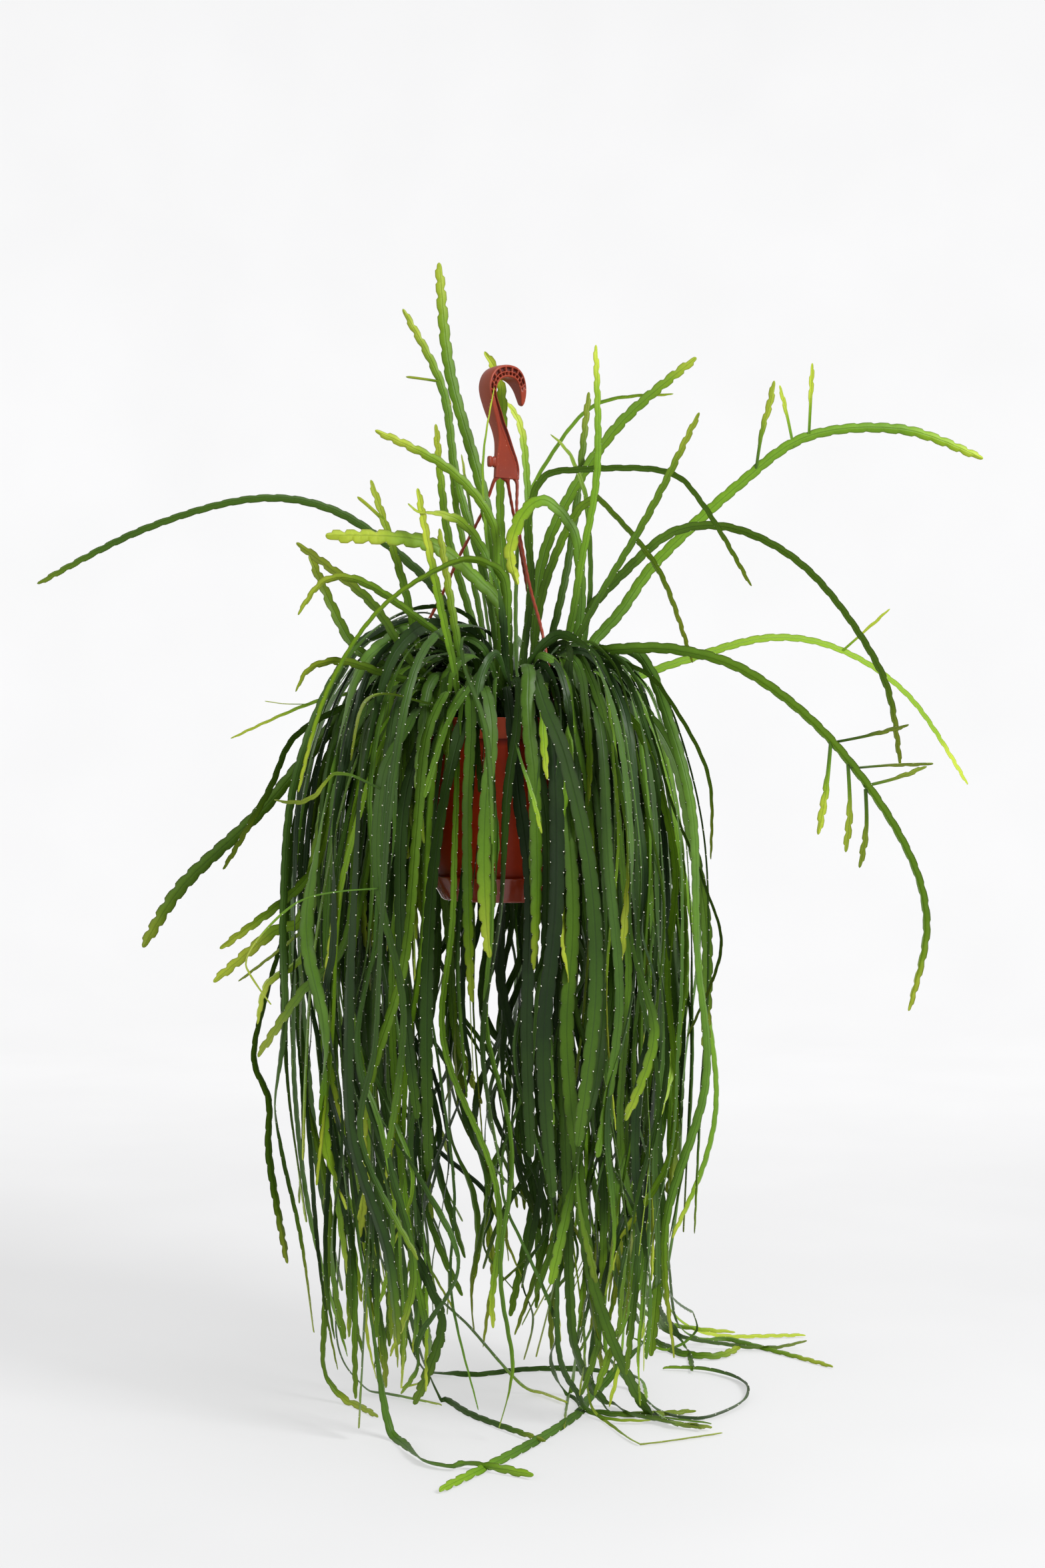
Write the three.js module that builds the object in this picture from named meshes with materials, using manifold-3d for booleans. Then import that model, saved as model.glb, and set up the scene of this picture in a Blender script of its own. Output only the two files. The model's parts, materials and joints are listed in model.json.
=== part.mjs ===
import * as THREE from 'three';
import { mergeVertices } from 'three/addons/utils/BufferGeometryUtils.js';
import Module from 'manifold-3d';

// A hanging pot of strap-stemmed cactus: the pot, its clip-on saucer, its one-piece hanger, the soil
// and the plant, whose stems grow in clumps, one mesh a clump.
// Millimetres. The origin is where the hook bears, +X is to the right, +Y to the back and +Z up.

// Pot, saucer and soil
const rimTop = -330;
const rimRadius = 90;
const bandHeight = 20;
const bandStep = 3.2;
const potWall = 1.8;
const potBottom = -502.7;
const footRadius = 57;
const beadRadius = 64.4;
const beadHeight = -495.8;
const neckRadius = 67.6;
const neckHeight = -484;
const saucerBottom = -506;
const saucerHeight = 24;
const saucerRadius = 73.8;
const saucerFoot = 60.5;
const saucerWall = 1.8;
const soilTop = -342;
const roundSides = 28;
const touchGap = 0.3;

// Hanger
const hangerTurn = 40;
const hookDepth = 18;
const bodyDepth = 4.4;
const bodyBottom = -97;
const strandRadius = 1.7;
const clipWidth = 14;
const clipThickness = 2;

// Plant
const floorLevel = -1007;
const crownRadius = 6.5;
const crownBottom = -356;
const crownTop = -338.5;
const crownSides = 5;
const startRadius = 2.9;
const startHeight = -341.5;
const baseHalf = 2.2;
const tipHalf = 1.5;
const curtainStems = 80;
const frontWindow = 62;
const seed = 41;

// How stems are drawn and settled
const lineStep = 6;
const growLength = 110;
const tipLength = 34;
const tipTaper = 0.35;
const slimStart = 250;
const slimLength = 600;
const slimShare = 0.35;
const ribLeast = 1.3;
const ribShare = 0.09;
const notchShare = 0.68;
const stemGap = 1.6;
const stemGapLeast = 0.35;
const potGap = 1.2;
const potGapLeast = 0.7;
const saucerFlare = 13;
const nearMargin = 9;
const settleRounds = 90;
const settleStep = 0.8;
const rootHold = 0.5;
const potPush = 0.8;
const rimPush = 1;
const potTests = [0, 0.2, 0.4, 0.6, 0.8];
const lyingHeight = 30;
const lyingStretch = 2.6;
const lyingRoom = 2.2;
const leastHalf = 0.9;
const curtainClumps = 21;
const placeReach = 75;
const goldenAngle = 137.508;
const curtainRing = 66;
const curtainLayers = [128, 205, 166];
const leftReach = 0.08;
const shoulder = 0.84;
const thinShare = 0.3;
const dropRange = 330;
const gather = 0.2;
const hangStep = 105;
const startFan = 4.7;
const riseHeight = 22;
const riseLean = 1.5;
const shootStep = 60;
const shootHalf = 1.6;
const holeRoom = 0.4;
const ringStep = 150;
const ringBend = 1.08;
const archLength = 190;
const archShare = 0.6;

const colours = {
  terracotta: new THREE.MeshStandardMaterial({ color: 0x9a3018, roughness: 0.42, metalness: 0 }),
  brick: new THREE.MeshStandardMaterial({ color: 0xa83c20, roughness: 0.45, metalness: 0 }),
  peat: new THREE.MeshStandardMaterial({ color: 0x2e2118, roughness: 0.95, metalness: 0 }),
  mature: new THREE.MeshStandardMaterial({ color: 0x2f5a34, roughness: 0.5, metalness: 0 }),
  middle: new THREE.MeshStandardMaterial({ color: 0x4a7a38, roughness: 0.5, metalness: 0 }),
  young: new THREE.MeshStandardMaterial({ color: 0x86a83c, roughness: 0.5, metalness: 0 }),
};

const wasm = await Module();
wasm.setup();

// A closed three.js geometry as a solid that can be joined and cut.
function solidOf(geometry) {
  const bare = new THREE.BufferGeometry();
  bare.setAttribute('position', geometry.getAttribute('position').clone());
  if (geometry.index) bare.setIndex(geometry.index.clone());
  const merged = mergeVertices(bare, 1e-4);
  const vertProperties = new Float32Array(merged.attributes.position.array);
  const triVerts = new Uint32Array(merged.index.array);
  return new wasm.Manifold(new wasm.Mesh({ numProp: 3, vertProperties, triVerts }));
}

// A solid back as a geometry, with flat faces.
function geometryOf(solid) {
  const mesh = solid.getMesh();
  const geometry = new THREE.BufferGeometry();
  geometry.setAttribute('position', new THREE.BufferAttribute(new Float32Array(mesh.vertProperties), 3));
  geometry.setIndex(new THREE.BufferAttribute(new Uint32Array(mesh.triVerts), 1));
  const faceted = geometry.toNonIndexed();
  faceted.computeVertexNormals();
  return faceted;
}

// A turned body about the Z axis from a profile of [radius, height] pairs.
function turned(profile, sides = roundSides) {
  const points = profile.map(([radius, height]) => new THREE.Vector2(radius, height));
  return new THREE.LatheGeometry(points, sides).rotateX(Math.PI / 2);
}

const potted = new THREE.Group();
function add(name, geometry, material) {
  const mesh = new THREE.Mesh(geometry, material);
  mesh.name = name;
  potted.add(mesh);
  return mesh;
}

// Small vector helpers on [x, y, z].
const plus = (a, b, times = 1) => [a[0] + b[0] * times, a[1] + b[1] * times, a[2] + b[2] * times];
const minus = (a, b) => plus(a, b, -1);
const dot = (a, b) => a[0] * b[0] + a[1] * b[1] + a[2] * b[2];
const cross = (a, b) => [a[1] * b[2] - a[2] * b[1], a[2] * b[0] - a[0] * b[2], a[0] * b[1] - a[1] * b[0]];
const length = (a) => Math.sqrt(dot(a, a));
const unit = (a) => plus([0, 0, 0], a, 1 / Math.max(length(a), 1e-9));
const clamp = (value, low, high) => Math.min(Math.max(value, low), high);
const ease = (t) => clamp(t, 0, 1) ** 2 * (3 - 2 * clamp(t, 0, 1));

// The pot: thin walled, with a band round its rim and a bead round its foot that the saucer clips over.
const bandInside = rimRadius - potWall;
const underBand = rimRadius - bandStep;
const potProfile = [
  [0, potBottom], [footRadius, potBottom], [beadRadius - 2.2, beadHeight - 2.8],
  [beadRadius - 0.1, beadHeight - 0.6], [beadRadius, beadHeight + 0.6], [beadRadius - 1, beadHeight + 2.8],
  [neckRadius, neckHeight], [underBand - 0.4, rimTop - bandHeight], [rimRadius - 0.8, rimTop - bandHeight],
  [rimRadius, rimTop - 1.2], [rimRadius - 0.5, rimTop], [bandInside, rimTop],
  [bandInside - 0.8, rimTop - bandHeight + 1.4], [underBand - potWall - 0.6, rimTop - bandHeight - 1],
  [neckRadius - potWall, neckHeight], [beadRadius - 2.6, beadHeight + 3.4],
  [footRadius - 1, potBottom + potWall], [0, potBottom + potWall],
];
add('pot', turned(potProfile), colours.terracotta);

// The saucer: a flared tray whose inner bead snaps over the pot's foot.
const saucerTop = saucerBottom + saucerHeight;
const saucerProfile = [
  [0, saucerBottom], [saucerFoot, saucerBottom], [saucerFoot + 1.4, saucerBottom + 1.2],
  [saucerRadius, saucerTop - 0.6], [saucerRadius - 0.6, saucerTop], [saucerRadius - saucerWall, saucerTop],
  [saucerRadius - 3.4, saucerTop - 4], [beadRadius - 0.3, beadHeight + 3.4],
  [beadRadius + 0.6, beadHeight + 1.4], [beadRadius + 0.3, beadHeight - 0.6],
  [beadRadius - 1.3, beadHeight - 3.6], [saucerFoot + 0.5, potBottom - touchGap], [0, potBottom - touchGap],
];
add('saucer', turned(saucerProfile), colours.terracotta);

// The hanger is one moulding: a hook that runs down an S bend into a flat body, and three twisted
// strands that end in clips round the pot's band. The hook's outline is drawn in its own plane.
const outerLine = [
  [-13.1, bodyBottom], [-12.5, -87], [-12.2, -78], [-11.2, -70], [-10.9, -61], [-12.5, -52], [-15.5, -43.6],
  [-19.2, -35], [-22.5, -26], [-25.2, -17], [-25.8, -8.5], [-23.2, 0], [-17.5, 6.8], [-9.5, 10.8], [0, 12],
  [9.5, 10.4], [16.8, 5.6], [21.8, -1.6], [24.3, -10], [24.4, -17.5], [23.4, -22.4],
];
const innerLine = [
  [21.4, -25], [18.9, -23.4], [17.2, -17.5], [14.6, -9.8], [10.6, -4], [5.6, -0.9], [0, 0], [-6, -0.6],
  [-11.4, -3.2], [-15.2, -7.8], [-16.8, -13.6], [-16.2, -19.6], [-13, -26.6], [-8.6, -35], [-4.4, -43.6],
  [0.9, -52], [5.9, -61], [10.6, -70], [14.7, -78], [17.3, -87], [17, bodyBottom],
];

// The hook is deep where it bears and thins down to the flat body.
function hangerDepth(height) {
  return bodyDepth + (hookDepth - bodyDepth) * ease((height - bodyBottom - 8) / (-bodyBottom - 18));
}

function hangerBody() {
  const outline = new THREE.Shape(outerLine.concat(innerLine).map(([u, z]) => new THREE.Vector2(u, z)));
  const plate = new THREE.ExtrudeGeometry(outline, { depth: 1, bevelEnabled: false, curveSegments: 1 });
  plate.translate(0, 0, -0.5).rotateX(Math.PI / 2);
  const place = plate.getAttribute('position');
  for (let i = 0; i < place.count; i += 1) place.setY(i, place.getY(i) * hangerDepth(place.getZ(i)));
  return plate.rotateZ(THREE.MathUtils.degToRad(hangerTurn));
}

// A round rod along a smooth line.
function rod(points, radius, corners, steps) {
  const ring = new THREE.Shape(Array.from({ length: corners }, (_, i) => {
    const angle = (i / corners) * Math.PI * 2;
    return new THREE.Vector2(Math.cos(angle) * radius, Math.sin(angle) * radius);
  }));
  const path = new THREE.CatmullRomCurve3(points.map((point) => new THREE.Vector3(...point)));
  return new THREE.ExtrudeGeometry(ring, { steps, extrudePath: path, bevelEnabled: false });
}

// A clip: a plate outside the band with a lip under it, at an angle round the pot.
function clip(angle) {
  const near = rimRadius + touchGap;
  const lip = rimTop - bandHeight - touchGap;
  const section = new THREE.Shape([
    [near, rimTop + 5], [near, lip], [underBand + 0.6, lip], [underBand + 0.6, lip - clipThickness],
    [near + clipThickness, lip - clipThickness], [near + clipThickness, rimTop + 5],
  ].map(([radius, height]) => new THREE.Vector2(radius, height)));
  const block = new THREE.ExtrudeGeometry(section, { depth: clipWidth, bevelEnabled: false });
  block.translate(0, 0, -clipWidth / 2).rotateX(Math.PI / 2);
  return block.rotateZ(THREE.MathUtils.degToRad(angle));
}

const clipAngles = [180, -60, 60];
const clipTop = (angle) => {
  const turn = THREE.MathUtils.degToRad(angle);
  const reach = rimRadius + touchGap + clipThickness / 2;
  return [Math.cos(turn) * reach, Math.sin(turn) * reach, rimTop + 3];
};
const strandRoutes = [
  [[-9, -7.6, -93], [-11.5, -7, -103], [-20, -5, -126], [-31, -2, -148], [-44, -1, -172], [-58, 0, -203],
    [-75, 0, -237], [-88, 0, -268], [-92, 0, -300], clipTop(180)],
  [[11.6, 9.7, -93], [12, 7, -104], [12, -5, -135], [18, -24, -173], [25, -40, -208], [35, -60, -246],
    [42, -73, -284], [46, -79, -308], clipTop(-60)],
  [[2.3, 1.9, -93], [3.5, 6, -104], [8, 16, -128], [13, 28, -152], [20, 42, -190], [27, 56, -230],
    [36, 70, -270], [44, 79, -304], clipTop(60)],
];

function hanger() {
  const pieces = [solidOf(hangerBody())];
  for (const route of strandRoutes) pieces.push(solidOf(rod(route, strandRadius, 5, 16)));
  for (const angle of clipAngles) pieces.push(solidOf(clip(angle)));
  return geometryOf(wasm.Manifold.union(pieces));
}
add('hanger', hanger(), colours.brick);

let state = seed;
function draw(low = 0, high = 1) {
  state = (Math.imul(state, 1664525) + 1013904223) >>> 0;
  return low + (high - low) * (state / 4294967296);
}

// A smooth line through the given points, with a step every few millimetres.
function smoothLine(points) {
  const line = [];
  for (let i = 0; i + 1 < points.length; i += 1) {
    const before = points[Math.max(i - 1, 0)];
    const from = points[i];
    const to = points[i + 1];
    const after = points[Math.min(i + 2, points.length - 1)];
    const steps = Math.max(4, Math.round(length(minus(to, from)) / lineStep));
    for (let k = 0; k < steps; k += 1) {
      const t = k / steps;
      line.push(from.map((value, axis) => {
        const slopeFrom = (to[axis] - before[axis]) / 2;
        const slopeTo = (after[axis] - value) / 2;
        const rise = to[axis] - value;
        return value + t * (slopeFrom + t * (3 * rise - 2 * slopeFrom - slopeTo
          + t * (slopeFrom + slopeTo - 2 * rise)));
      }));
    }
  }
  line.push(points[points.length - 1]);
  return line;
}

// The points at the given shares of a line's length.
function pointsAlong(line, shares) {
  const reach = [0];
  for (let i = 1; i < line.length; i += 1) reach.push(reach[i - 1] + length(minus(line[i], line[i - 1])));
  const total = reach[reach.length - 1];
  let i = 1;
  return {
    total,
    points: shares.map((share) => {
      const goal = share * total;
      while (i < line.length - 1 && reach[i] < goal) i += 1;
      const part = (goal - reach[i - 1]) / Math.max(reach[i] - reach[i - 1], 1e-9);
      return plus(line[i - 1], minus(line[i], line[i - 1]), part);
    }),
  };
}

// A stem's half width at a distance from its base: slim in the soil, a little slimmer far down, and
// blunt at its tip.
function halfWidth(width, along, total, base) {
  const grown = base + (width / 2 - base) * ease(along / growLength);
  const far = 1 - slimShare * clamp((along - slimStart) / slimLength, 0, 1);
  const tip = 1 - tipTaper * ease((along - total + tipLength) / tipLength);
  return Math.max(tipHalf, grown * far * tip);
}

// The shares of a line's length at which its rings stand, closer together where it bends.
function ringShares(line, step) {
  const reach = [0];
  const weight = [0];
  for (let i = 1; i < line.length; i += 1) {
    const ahead = minus(line[i], line[i - 1]);
    const before = i > 1 ? minus(line[i - 1], line[i - 2]) : ahead;
    reach.push(reach[i - 1] + length(ahead));
    const bend = length(minus(unit(ahead), unit(before)));
    const stretch = step * (reach[i] < archLength ? archShare : 1);
    weight.push(weight[i - 1] + length(ahead) / stretch + bend / ringBend);
  }
  const all = weight.at(-1);
  const count = Math.max(4, Math.round(all));
  let i = 1;
  return Array.from({ length: count + 1 }, (_, k) => {
    const goal = (k / count) * all;
    while (i < line.length - 1 && weight[i] < goal) i += 1;
    const part = (goal - weight[i - 1]) / (weight[i] - weight[i - 1]);
    return Math.min((reach[i - 1] + (reach[i] - reach[i - 1]) * part) / reach.at(-1), 1);
  });
}

// A stem: rings of points along its route.
function makeStem(clump, width, turn, route, step, base = baseHalf) {
  const line = smoothLine(route);
  const shares = ringShares(line, step);
  const { points, total } = pointsAlong(line, shares);
  const half = shares.map((share) => halfWidth(width, share * total, total, base));
  return { clump, width, turn, points, half, parent: null, at: 0 };
}

// The place on a stem at a number of rings from its base.
function onStem({ points }, at) {
  const ring = Math.min(Math.floor(at), points.length - 2);
  return plus(points[ring], minus(points[ring + 1], points[ring]), at - ring);
}

// The place on a stem that is nearest to a point, as a number of rings from its base.
function nearestOn({ points }, point) {
  let least = Infinity;
  let nearest = 0;
  for (let k = 0; k + 1 < points.length; k += 1) {
    const ahead = minus(points[k + 1], points[k]);
    const part = clamp(dot(minus(point, points[k]), ahead) / dot(ahead, ahead), 0, 1);
    const away = length(minus(plus(points[k], ahead, part), point));
    if (away < least) [least, nearest] = [away, k + part];
  }
  return nearest;
}

// Where two straight stretches come closest: the shares along each, and the way from one to the other.
function closest(a0, a1, b0, b1) {
  const u = minus(a1, a0);
  const v = minus(b1, b0);
  const w = minus(a0, b0);
  const a = dot(u, u);
  const b = dot(u, v);
  const c = dot(v, v);
  const d = dot(u, w);
  const e = dot(v, w);
  const scale = Math.max(a * c - b * b, 1e-9);
  let s = clamp((b * e - c * d) / scale, 0, 1);
  const t = clamp((b * s + e) / Math.max(c, 1e-9), 0, 1);
  s = clamp((b * t - d) / Math.max(a, 1e-9), 0, 1);
  return { s, t, way: minus(plus(a0, u, s), plus(b0, v, t)) };
}

// How far a point has to move to stay off the pot, the saucer and the soil.
function offThePot(point, need) {
  const radius = Math.max(Math.hypot(point[0], point[1]), 1e-6);
  const out = [point[0] / radius, point[1] / radius, 0];
  if (point[2] > soilTop - 6) {
    const fromRim = [radius - rimRadius, point[2] - rimTop];
    const away = Math.hypot(fromRim[0], fromRim[1]);
    if (away < need && away > 1e-6) {
      const push = (need - away) / away;
      return [out[0] * fromRim[0] * push, out[1] * fromRim[0] * push, Math.abs(fromRim[1]) * push];
    }
    if (radius < rimRadius && point[2] < soilTop + need) return [0, 0, soilTop + need - point[2]];
    return null;
  }
  if (point[2] < saucerBottom - need) return null;
  const fall = (rimTop - bandHeight - point[2]) / (rimTop - bandHeight - potBottom);
  const wall = point[2] > rimTop - bandHeight ? rimRadius : Math.max(
    rimRadius + (saucerFoot + saucerFlare - rimRadius) * clamp(fall, 0, 1),
    point[2] < saucerBottom + saucerHeight + need ? saucerRadius : 0,
  );
  if (radius >= wall + need) return null;
  return plus([0, 0, 0], out, wall + need - radius);
}

// How far a stretch that passes over the rim has to rise to clear it.
function overTheRim(from, to, need) {
  const start = Math.hypot(from[0], from[1]);
  const end = Math.hypot(to[0], to[1]);
  if ((start < rimRadius) === (end < rimRadius) || Math.min(from[2], to[2]) < saucerBottom) return 0;
  const part = (rimRadius - start) / (end - start);
  return Math.max(rimTop + need - from[2] - (to[2] - from[2]) * part, 0);
}

// Stems that would cross are bent clear of one another, of the hanger and of the pot.
function bendClear(stems, fixed) {
  const all = stems.concat(fixed);
  const stretches = [];
  all.forEach((stem, index) => {
    for (let k = 0; k + 1 < stem.points.length; k += 1) stretches.push({ stem, index, k });
  });
  const middle = ({ stem, k }) => plus(plus([0, 0, 0], stem.points[k], 0.5), stem.points[k + 1], 0.5);
  const reachOf = ({ stem, k }) => length(minus(stem.points[k + 1], stem.points[k])) / 2
    + Math.max(stem.half[k], stem.half[k + 1]);
  const trunk = (stem) => stem.parent || stem;

  function nearPairs() {
    const middles = stretches.map(middle);
    const reaches = stretches.map(reachOf);
    const pairs = [];
    for (let i = 0; i < stretches.length; i += 1) {
      for (let j = i + 1; j < stretches.length; j += 1) {
        const limit = reaches[i] + reaches[j] + nearMargin;
        if (Math.abs(middles[i][2] - middles[j][2]) > limit) continue;
        if (stretches[i].stem.still && stretches[j].stem.still) continue;
        if (trunk(stretches[i].stem) === trunk(stretches[j].stem)) continue;
        if (length(minus(middles[i], middles[j])) < limit) pairs.push([stretches[i], stretches[j]]);
      }
    }
    return pairs;
  }

  // The closest places of a pair, the room between them and the room that they need.
  function meeting([one, other]) {
    const top = Math.max(one.stem.points[one.k][2], other.stem.points[other.k][2]);
    const tall = top < floorLevel + lyingHeight ? lyingStretch : 1;
    const ends = ({ stem, k }) => [stem.points[k], stem.points[k + 1]].map(([x, y, z]) => [x, y, z * tall]);
    const { s, t, way } = closest(...ends(one), ...ends(other));
    const halfAt = ({ stem, k }, part) => stem.half[k] * (1 - part) + stem.half[k + 1] * part;
    return { s, t, tall, way, away: length(way), need: halfAt(one, s) + halfAt(other, t) + stemGap };
  }

  let pairs = [];
  for (let round = 0; round < settleRounds; round += 1) {
    if (round % 8 === 0) pairs = nearPairs();
    const moves = all.map((stem) => stem.points.map(() => [0, 0, 0]));
    for (const pair of pairs) {
      const { s, t, tall, way, away, need } = meeting(pair);
      if (away >= need) continue;
      const [one, other] = pair;
      const direction = away > 1e-3 ? plus([0, 0, 0], way, 1 / away) : [0, 0, 1];
      const push = [direction[0], direction[1], direction[2] / tall];
      const share = other.stem.still || one.stem.still ? need - away : (need - away) / 2;
      const mine = moves[one.index];
      const theirs = moves[other.index];
      mine[one.k] = plus(mine[one.k], push, share * (1 - s));
      mine[one.k + 1] = plus(mine[one.k + 1], push, share * s);
      theirs[other.k] = plus(theirs[other.k], push, -share * (1 - t));
      theirs[other.k + 1] = plus(theirs[other.k + 1], push, -share * t);
    }
    stems.forEach((stem, index) => {
      const move = moves[index];
      for (let k = 0; k < stem.points.length - 1; k += 1) {
        const lift = overTheRim(stem.points[k], stem.points[k + 1], stem.half[k] + potGap);
        move[k][2] += lift * rimPush;
        move[k + 1][2] += lift * rimPush;
        for (const part of potTests) {
          const at = plus(stem.points[k], minus(stem.points[k + 1], stem.points[k]), part);
          const off = k > 1 || part > 0 ? offThePot(at, stem.half[k] + potGap) : null;
          if (!off) continue;
          move[k] = plus(move[k], off, (1 - part) * potPush);
          move[k + 1] = plus(move[k + 1], off, part * potPush);
        }
      }
      const last = stem.points.length - 1;
      const smooth = move.map((own, k) => {
        const sides = plus(move[Math.max(k - 1, 0)], move[Math.min(k + 1, last)]);
        return plus(plus([0, 0, 0], own, 0.6), sides, 0.2);
      });
      const stiff = stem.parent ? 0 : rootHold;
      for (let k = 1; k <= last; k += 1) {
        const free = k === 1 ? 1 - stiff : 1;
        stem.points[k] = plus(stem.points[k], smooth[k], settleStep * free);
        stem.points[k][2] = Math.max(stem.points[k][2], floorLevel + lyingRoom);
      }
      if (stem.parent) {
        const shift = minus(onStem(stem.parent, stem.at), stem.points[0]);
        for (let k = 0; k <= last; k += 1) stem.points[k] = plus(stem.points[k], shift);
      }
    });
  }

  // What still stands too close is a little narrower there.
  for (const { points, half } of stems) {
    for (let k = 1; k + 1 < points.length; k += 1) {
      for (const part of potTests) {
        const at = plus(points[k], minus(points[k + 1], points[k]), part);
        const off = offThePot(at, half[k] * (1 - part) + half[k + 1] * part + potGapLeast);
        if (!off) continue;
        half[k] = Math.max(half[k] - length(off), leastHalf);
        half[k + 1] = Math.max(half[k + 1] - length(off), leastHalf);
      }
    }
  }
  for (let round = 0; round < 3; round += 1) {
    for (const pair of nearPairs()) {
      const { away, need } = meeting(pair);
      if (away >= need - stemGap + stemGapLeast) continue;
      const [one, other] = pair;
      const still = other.stem.still ? strandRadius : 0;
      const scale = clamp((away - stemGapLeast - still) / (need - stemGap - still), 0.05, 1);
      for (const { stem, k } of pair) {
        if (stem.still) continue;
        for (const ring of [k, k + 1]) stem.half[ring] = Math.max(stem.half[ring] * scale, leastHalf);
      }
    }
  }
}

// The side direction of each ring: carried along the stem, then turned by the stem's own twist, and
// brought level where the stem lies on the floor.
function sideDirections({ points, turn, face }) {
  const last = points.length - 1;
  let carried = face;
  return points.map((point, k) => {
    const ahead = unit(minus(points[Math.min(k + 1, last)], points[Math.max(k - 1, 0)]));
    carried = unit(plus(carried, ahead, -dot(carried, ahead)));
    const angle = (turn[0] + (turn[1] - turn[0]) * (k / last)) * Math.PI / 180;
    const across = cross(ahead, carried);
    const twisted = plus(plus([0, 0, 0], carried, Math.cos(angle)), across, Math.sin(angle));
    const level = unit(cross([0, 0, 1], ahead));
    const sign = dot(level, twisted) < 0 ? -1 : 1;
    const lying = ease((floorLevel + lyingHeight * 2 - point[2]) / lyingHeight);
    const mixed = plus(plus([0, 0, 0], twisted, 1 - lying), level, sign * lying);
    const side = unit(plus(mixed, ahead, -dot(mixed, ahead)));
    return { side, rib: cross(ahead, side) };
  });
}

// A strap with a rib: its two edges are notched in turn, ring by ring, and its ends are closed.
function strap(stem) {
  const { points, half, width } = stem;
  const corners = [];
  const faces = [];
  const last = points.length - 1;
  sideDirections(stem).forEach(({ side, rib }, k) => {
    const ribHeight = Math.min(ribLeast + width * ribShare, half[k] * 1.1);
    const notched = k > 1 && k < last ? notchShare : 1;
    const left = half[k] * (k % 2 ? 1 : notched);
    const right = half[k] * (k % 2 ? notched : 1);
    const back = plus(points[k], rib, -ribHeight * 0.35);
    corners.push(plus(back, side, left), plus(back, side, -right), plus(points[k], rib, ribHeight * 0.65));
    if (k === 0) return;
    const here = k * 3;
    for (let edge = 0; edge < 3; edge += 1) {
      const next = (edge + 1) % 3;
      faces.push(here - 3 + edge, here + next, here - 3 + next);
      faces.push(here - 3 + edge, here + edge, here + next);
    }
  });
  faces.push(0, 1, 2, last * 3 + 2, last * 3 + 1, last * 3);
  const geometry = new THREE.BufferGeometry();
  geometry.setAttribute('position', new THREE.BufferAttribute(new Float32Array(corners.flat()), 3));
  geometry.setIndex(faces);
  return solidOf(geometry);
}

// A clump's crown, the woody base in the soil that its stems grow from.
function crown(place, radius, bottom, top) {
  const block = new THREE.CylinderGeometry(radius, radius, top - bottom, crownSides);
  block.rotateX(Math.PI / 2).translate(place[0], place[1], (top + bottom) / 2);
  return solidOf(block);
}

// The hook and body as thick lines, which the stems are bent clear of.
const hangerGuards = [[
  [-16, -13, -22], [-20, -17, -9], [-13, -11, 4], [0, 0, 7], [13, 11, 3], [18, 15, -10], [17, 14, -20],
], [[-14, -12, -24], [-8, -7, -40], [-3, -2.5, -56], [0, 0, -72], [1.5, 1.2, -92]]].map((points, body) => ({
  points, half: points.map(() => (body ? 13 : 11)), still: true,
}));
for (const angle of clipAngles) {
  const top = clipTop(angle);
  hangerGuards.push({
    points: [plus(top, [0, 0, 3]), plus(top, [0, 0, -28])],
    half: [clipWidth * 0.55, clipWidth * 0.55],
    still: true,
  });
}

// Where each hand-set clump should stand in the soil.
const crowns = {
  tall_left: [-4, -8],
  back_left: [-10, 16],
  behind_hook: [8, 20],
  arch_left: [-18, -22],
  long_left: [-30, 12],
  lime_sweep: [0, -42],
  left_fan: [-36, -18],
  left_low: [-26, -44],
  lime_fork: [-14, -60],
  tall_right: [30, -40],
  lean_right: [26, 8],
  arch_right: [16, -14],
  long_right: [46, 14],
  sweep_right: [52, -10],
  pale_right: [50, 34],
  low_right: [54, -34],
  outer_left: [-56, 4],
  front_a: [-44, -46],
  front_b: [-22, -58],
  front_c: [0, -68],
  front_d: [16, -62],
  front_e: [34, -54],
  front_f: [58, -50],
  floor_a: [-54, -30],
  floor_b: [62, 8],
  floor_c: [-34, 50],
  floor_d: [-66, 6],
  floor_e: [36, 44],
  floor_f: [48, -30],
  tips_left: [-40, -36],
  bend_left: [-62, -16],
  lime_left: [-50, -38],
  lime_front: [-34, -56],
  bulge_right: [64, -8],
  arc_right: [46, -44],
};

// Each clump takes the free place in the soil nearest to where it should stand. The places spread
// evenly over the soil, each a golden angle on from the last.
const placeCount = Object.keys(crowns).length + curtainClumps;
const freePlaces = Array.from({ length: placeCount }, (_, k) => {
  const radius = placeReach * Math.sqrt((k + 0.5) / placeCount);
  const angle = (k * goldenAngle * Math.PI) / 180;
  return [radius * Math.cos(angle), radius * Math.sin(angle)];
});
function takePlace([x, y]) {
  let best = 0;
  let bestAway = Infinity;
  freePlaces.forEach((place, k) => {
    const away = Math.hypot(place[0] - x, place[1] - y);
    if (away < bestAway) [best, bestAway] = [k, away];
  });
  return freePlaces.splice(best, 1)[0];
}

const clumps = new Map();
for (const [name, spot] of Object.entries(crowns)) clumps.set(name, { place: takePlace(spot), stems: [] });

// A stem of a clump, which leaves the crown upright and then follows its route.
function grow(name, width, turn, route, face = [-1, 0, 0]) {
  clumps.get(name).stems.push({ width, turn, route, face, shoots: [] });
}

// A side shoot on the stem that was grown last, from the place on it nearest to where the shoot starts.
function shoot(name, width, route) {
  clumps.get(name).stems.at(-1).shoots.push({ width, route });
}

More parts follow.
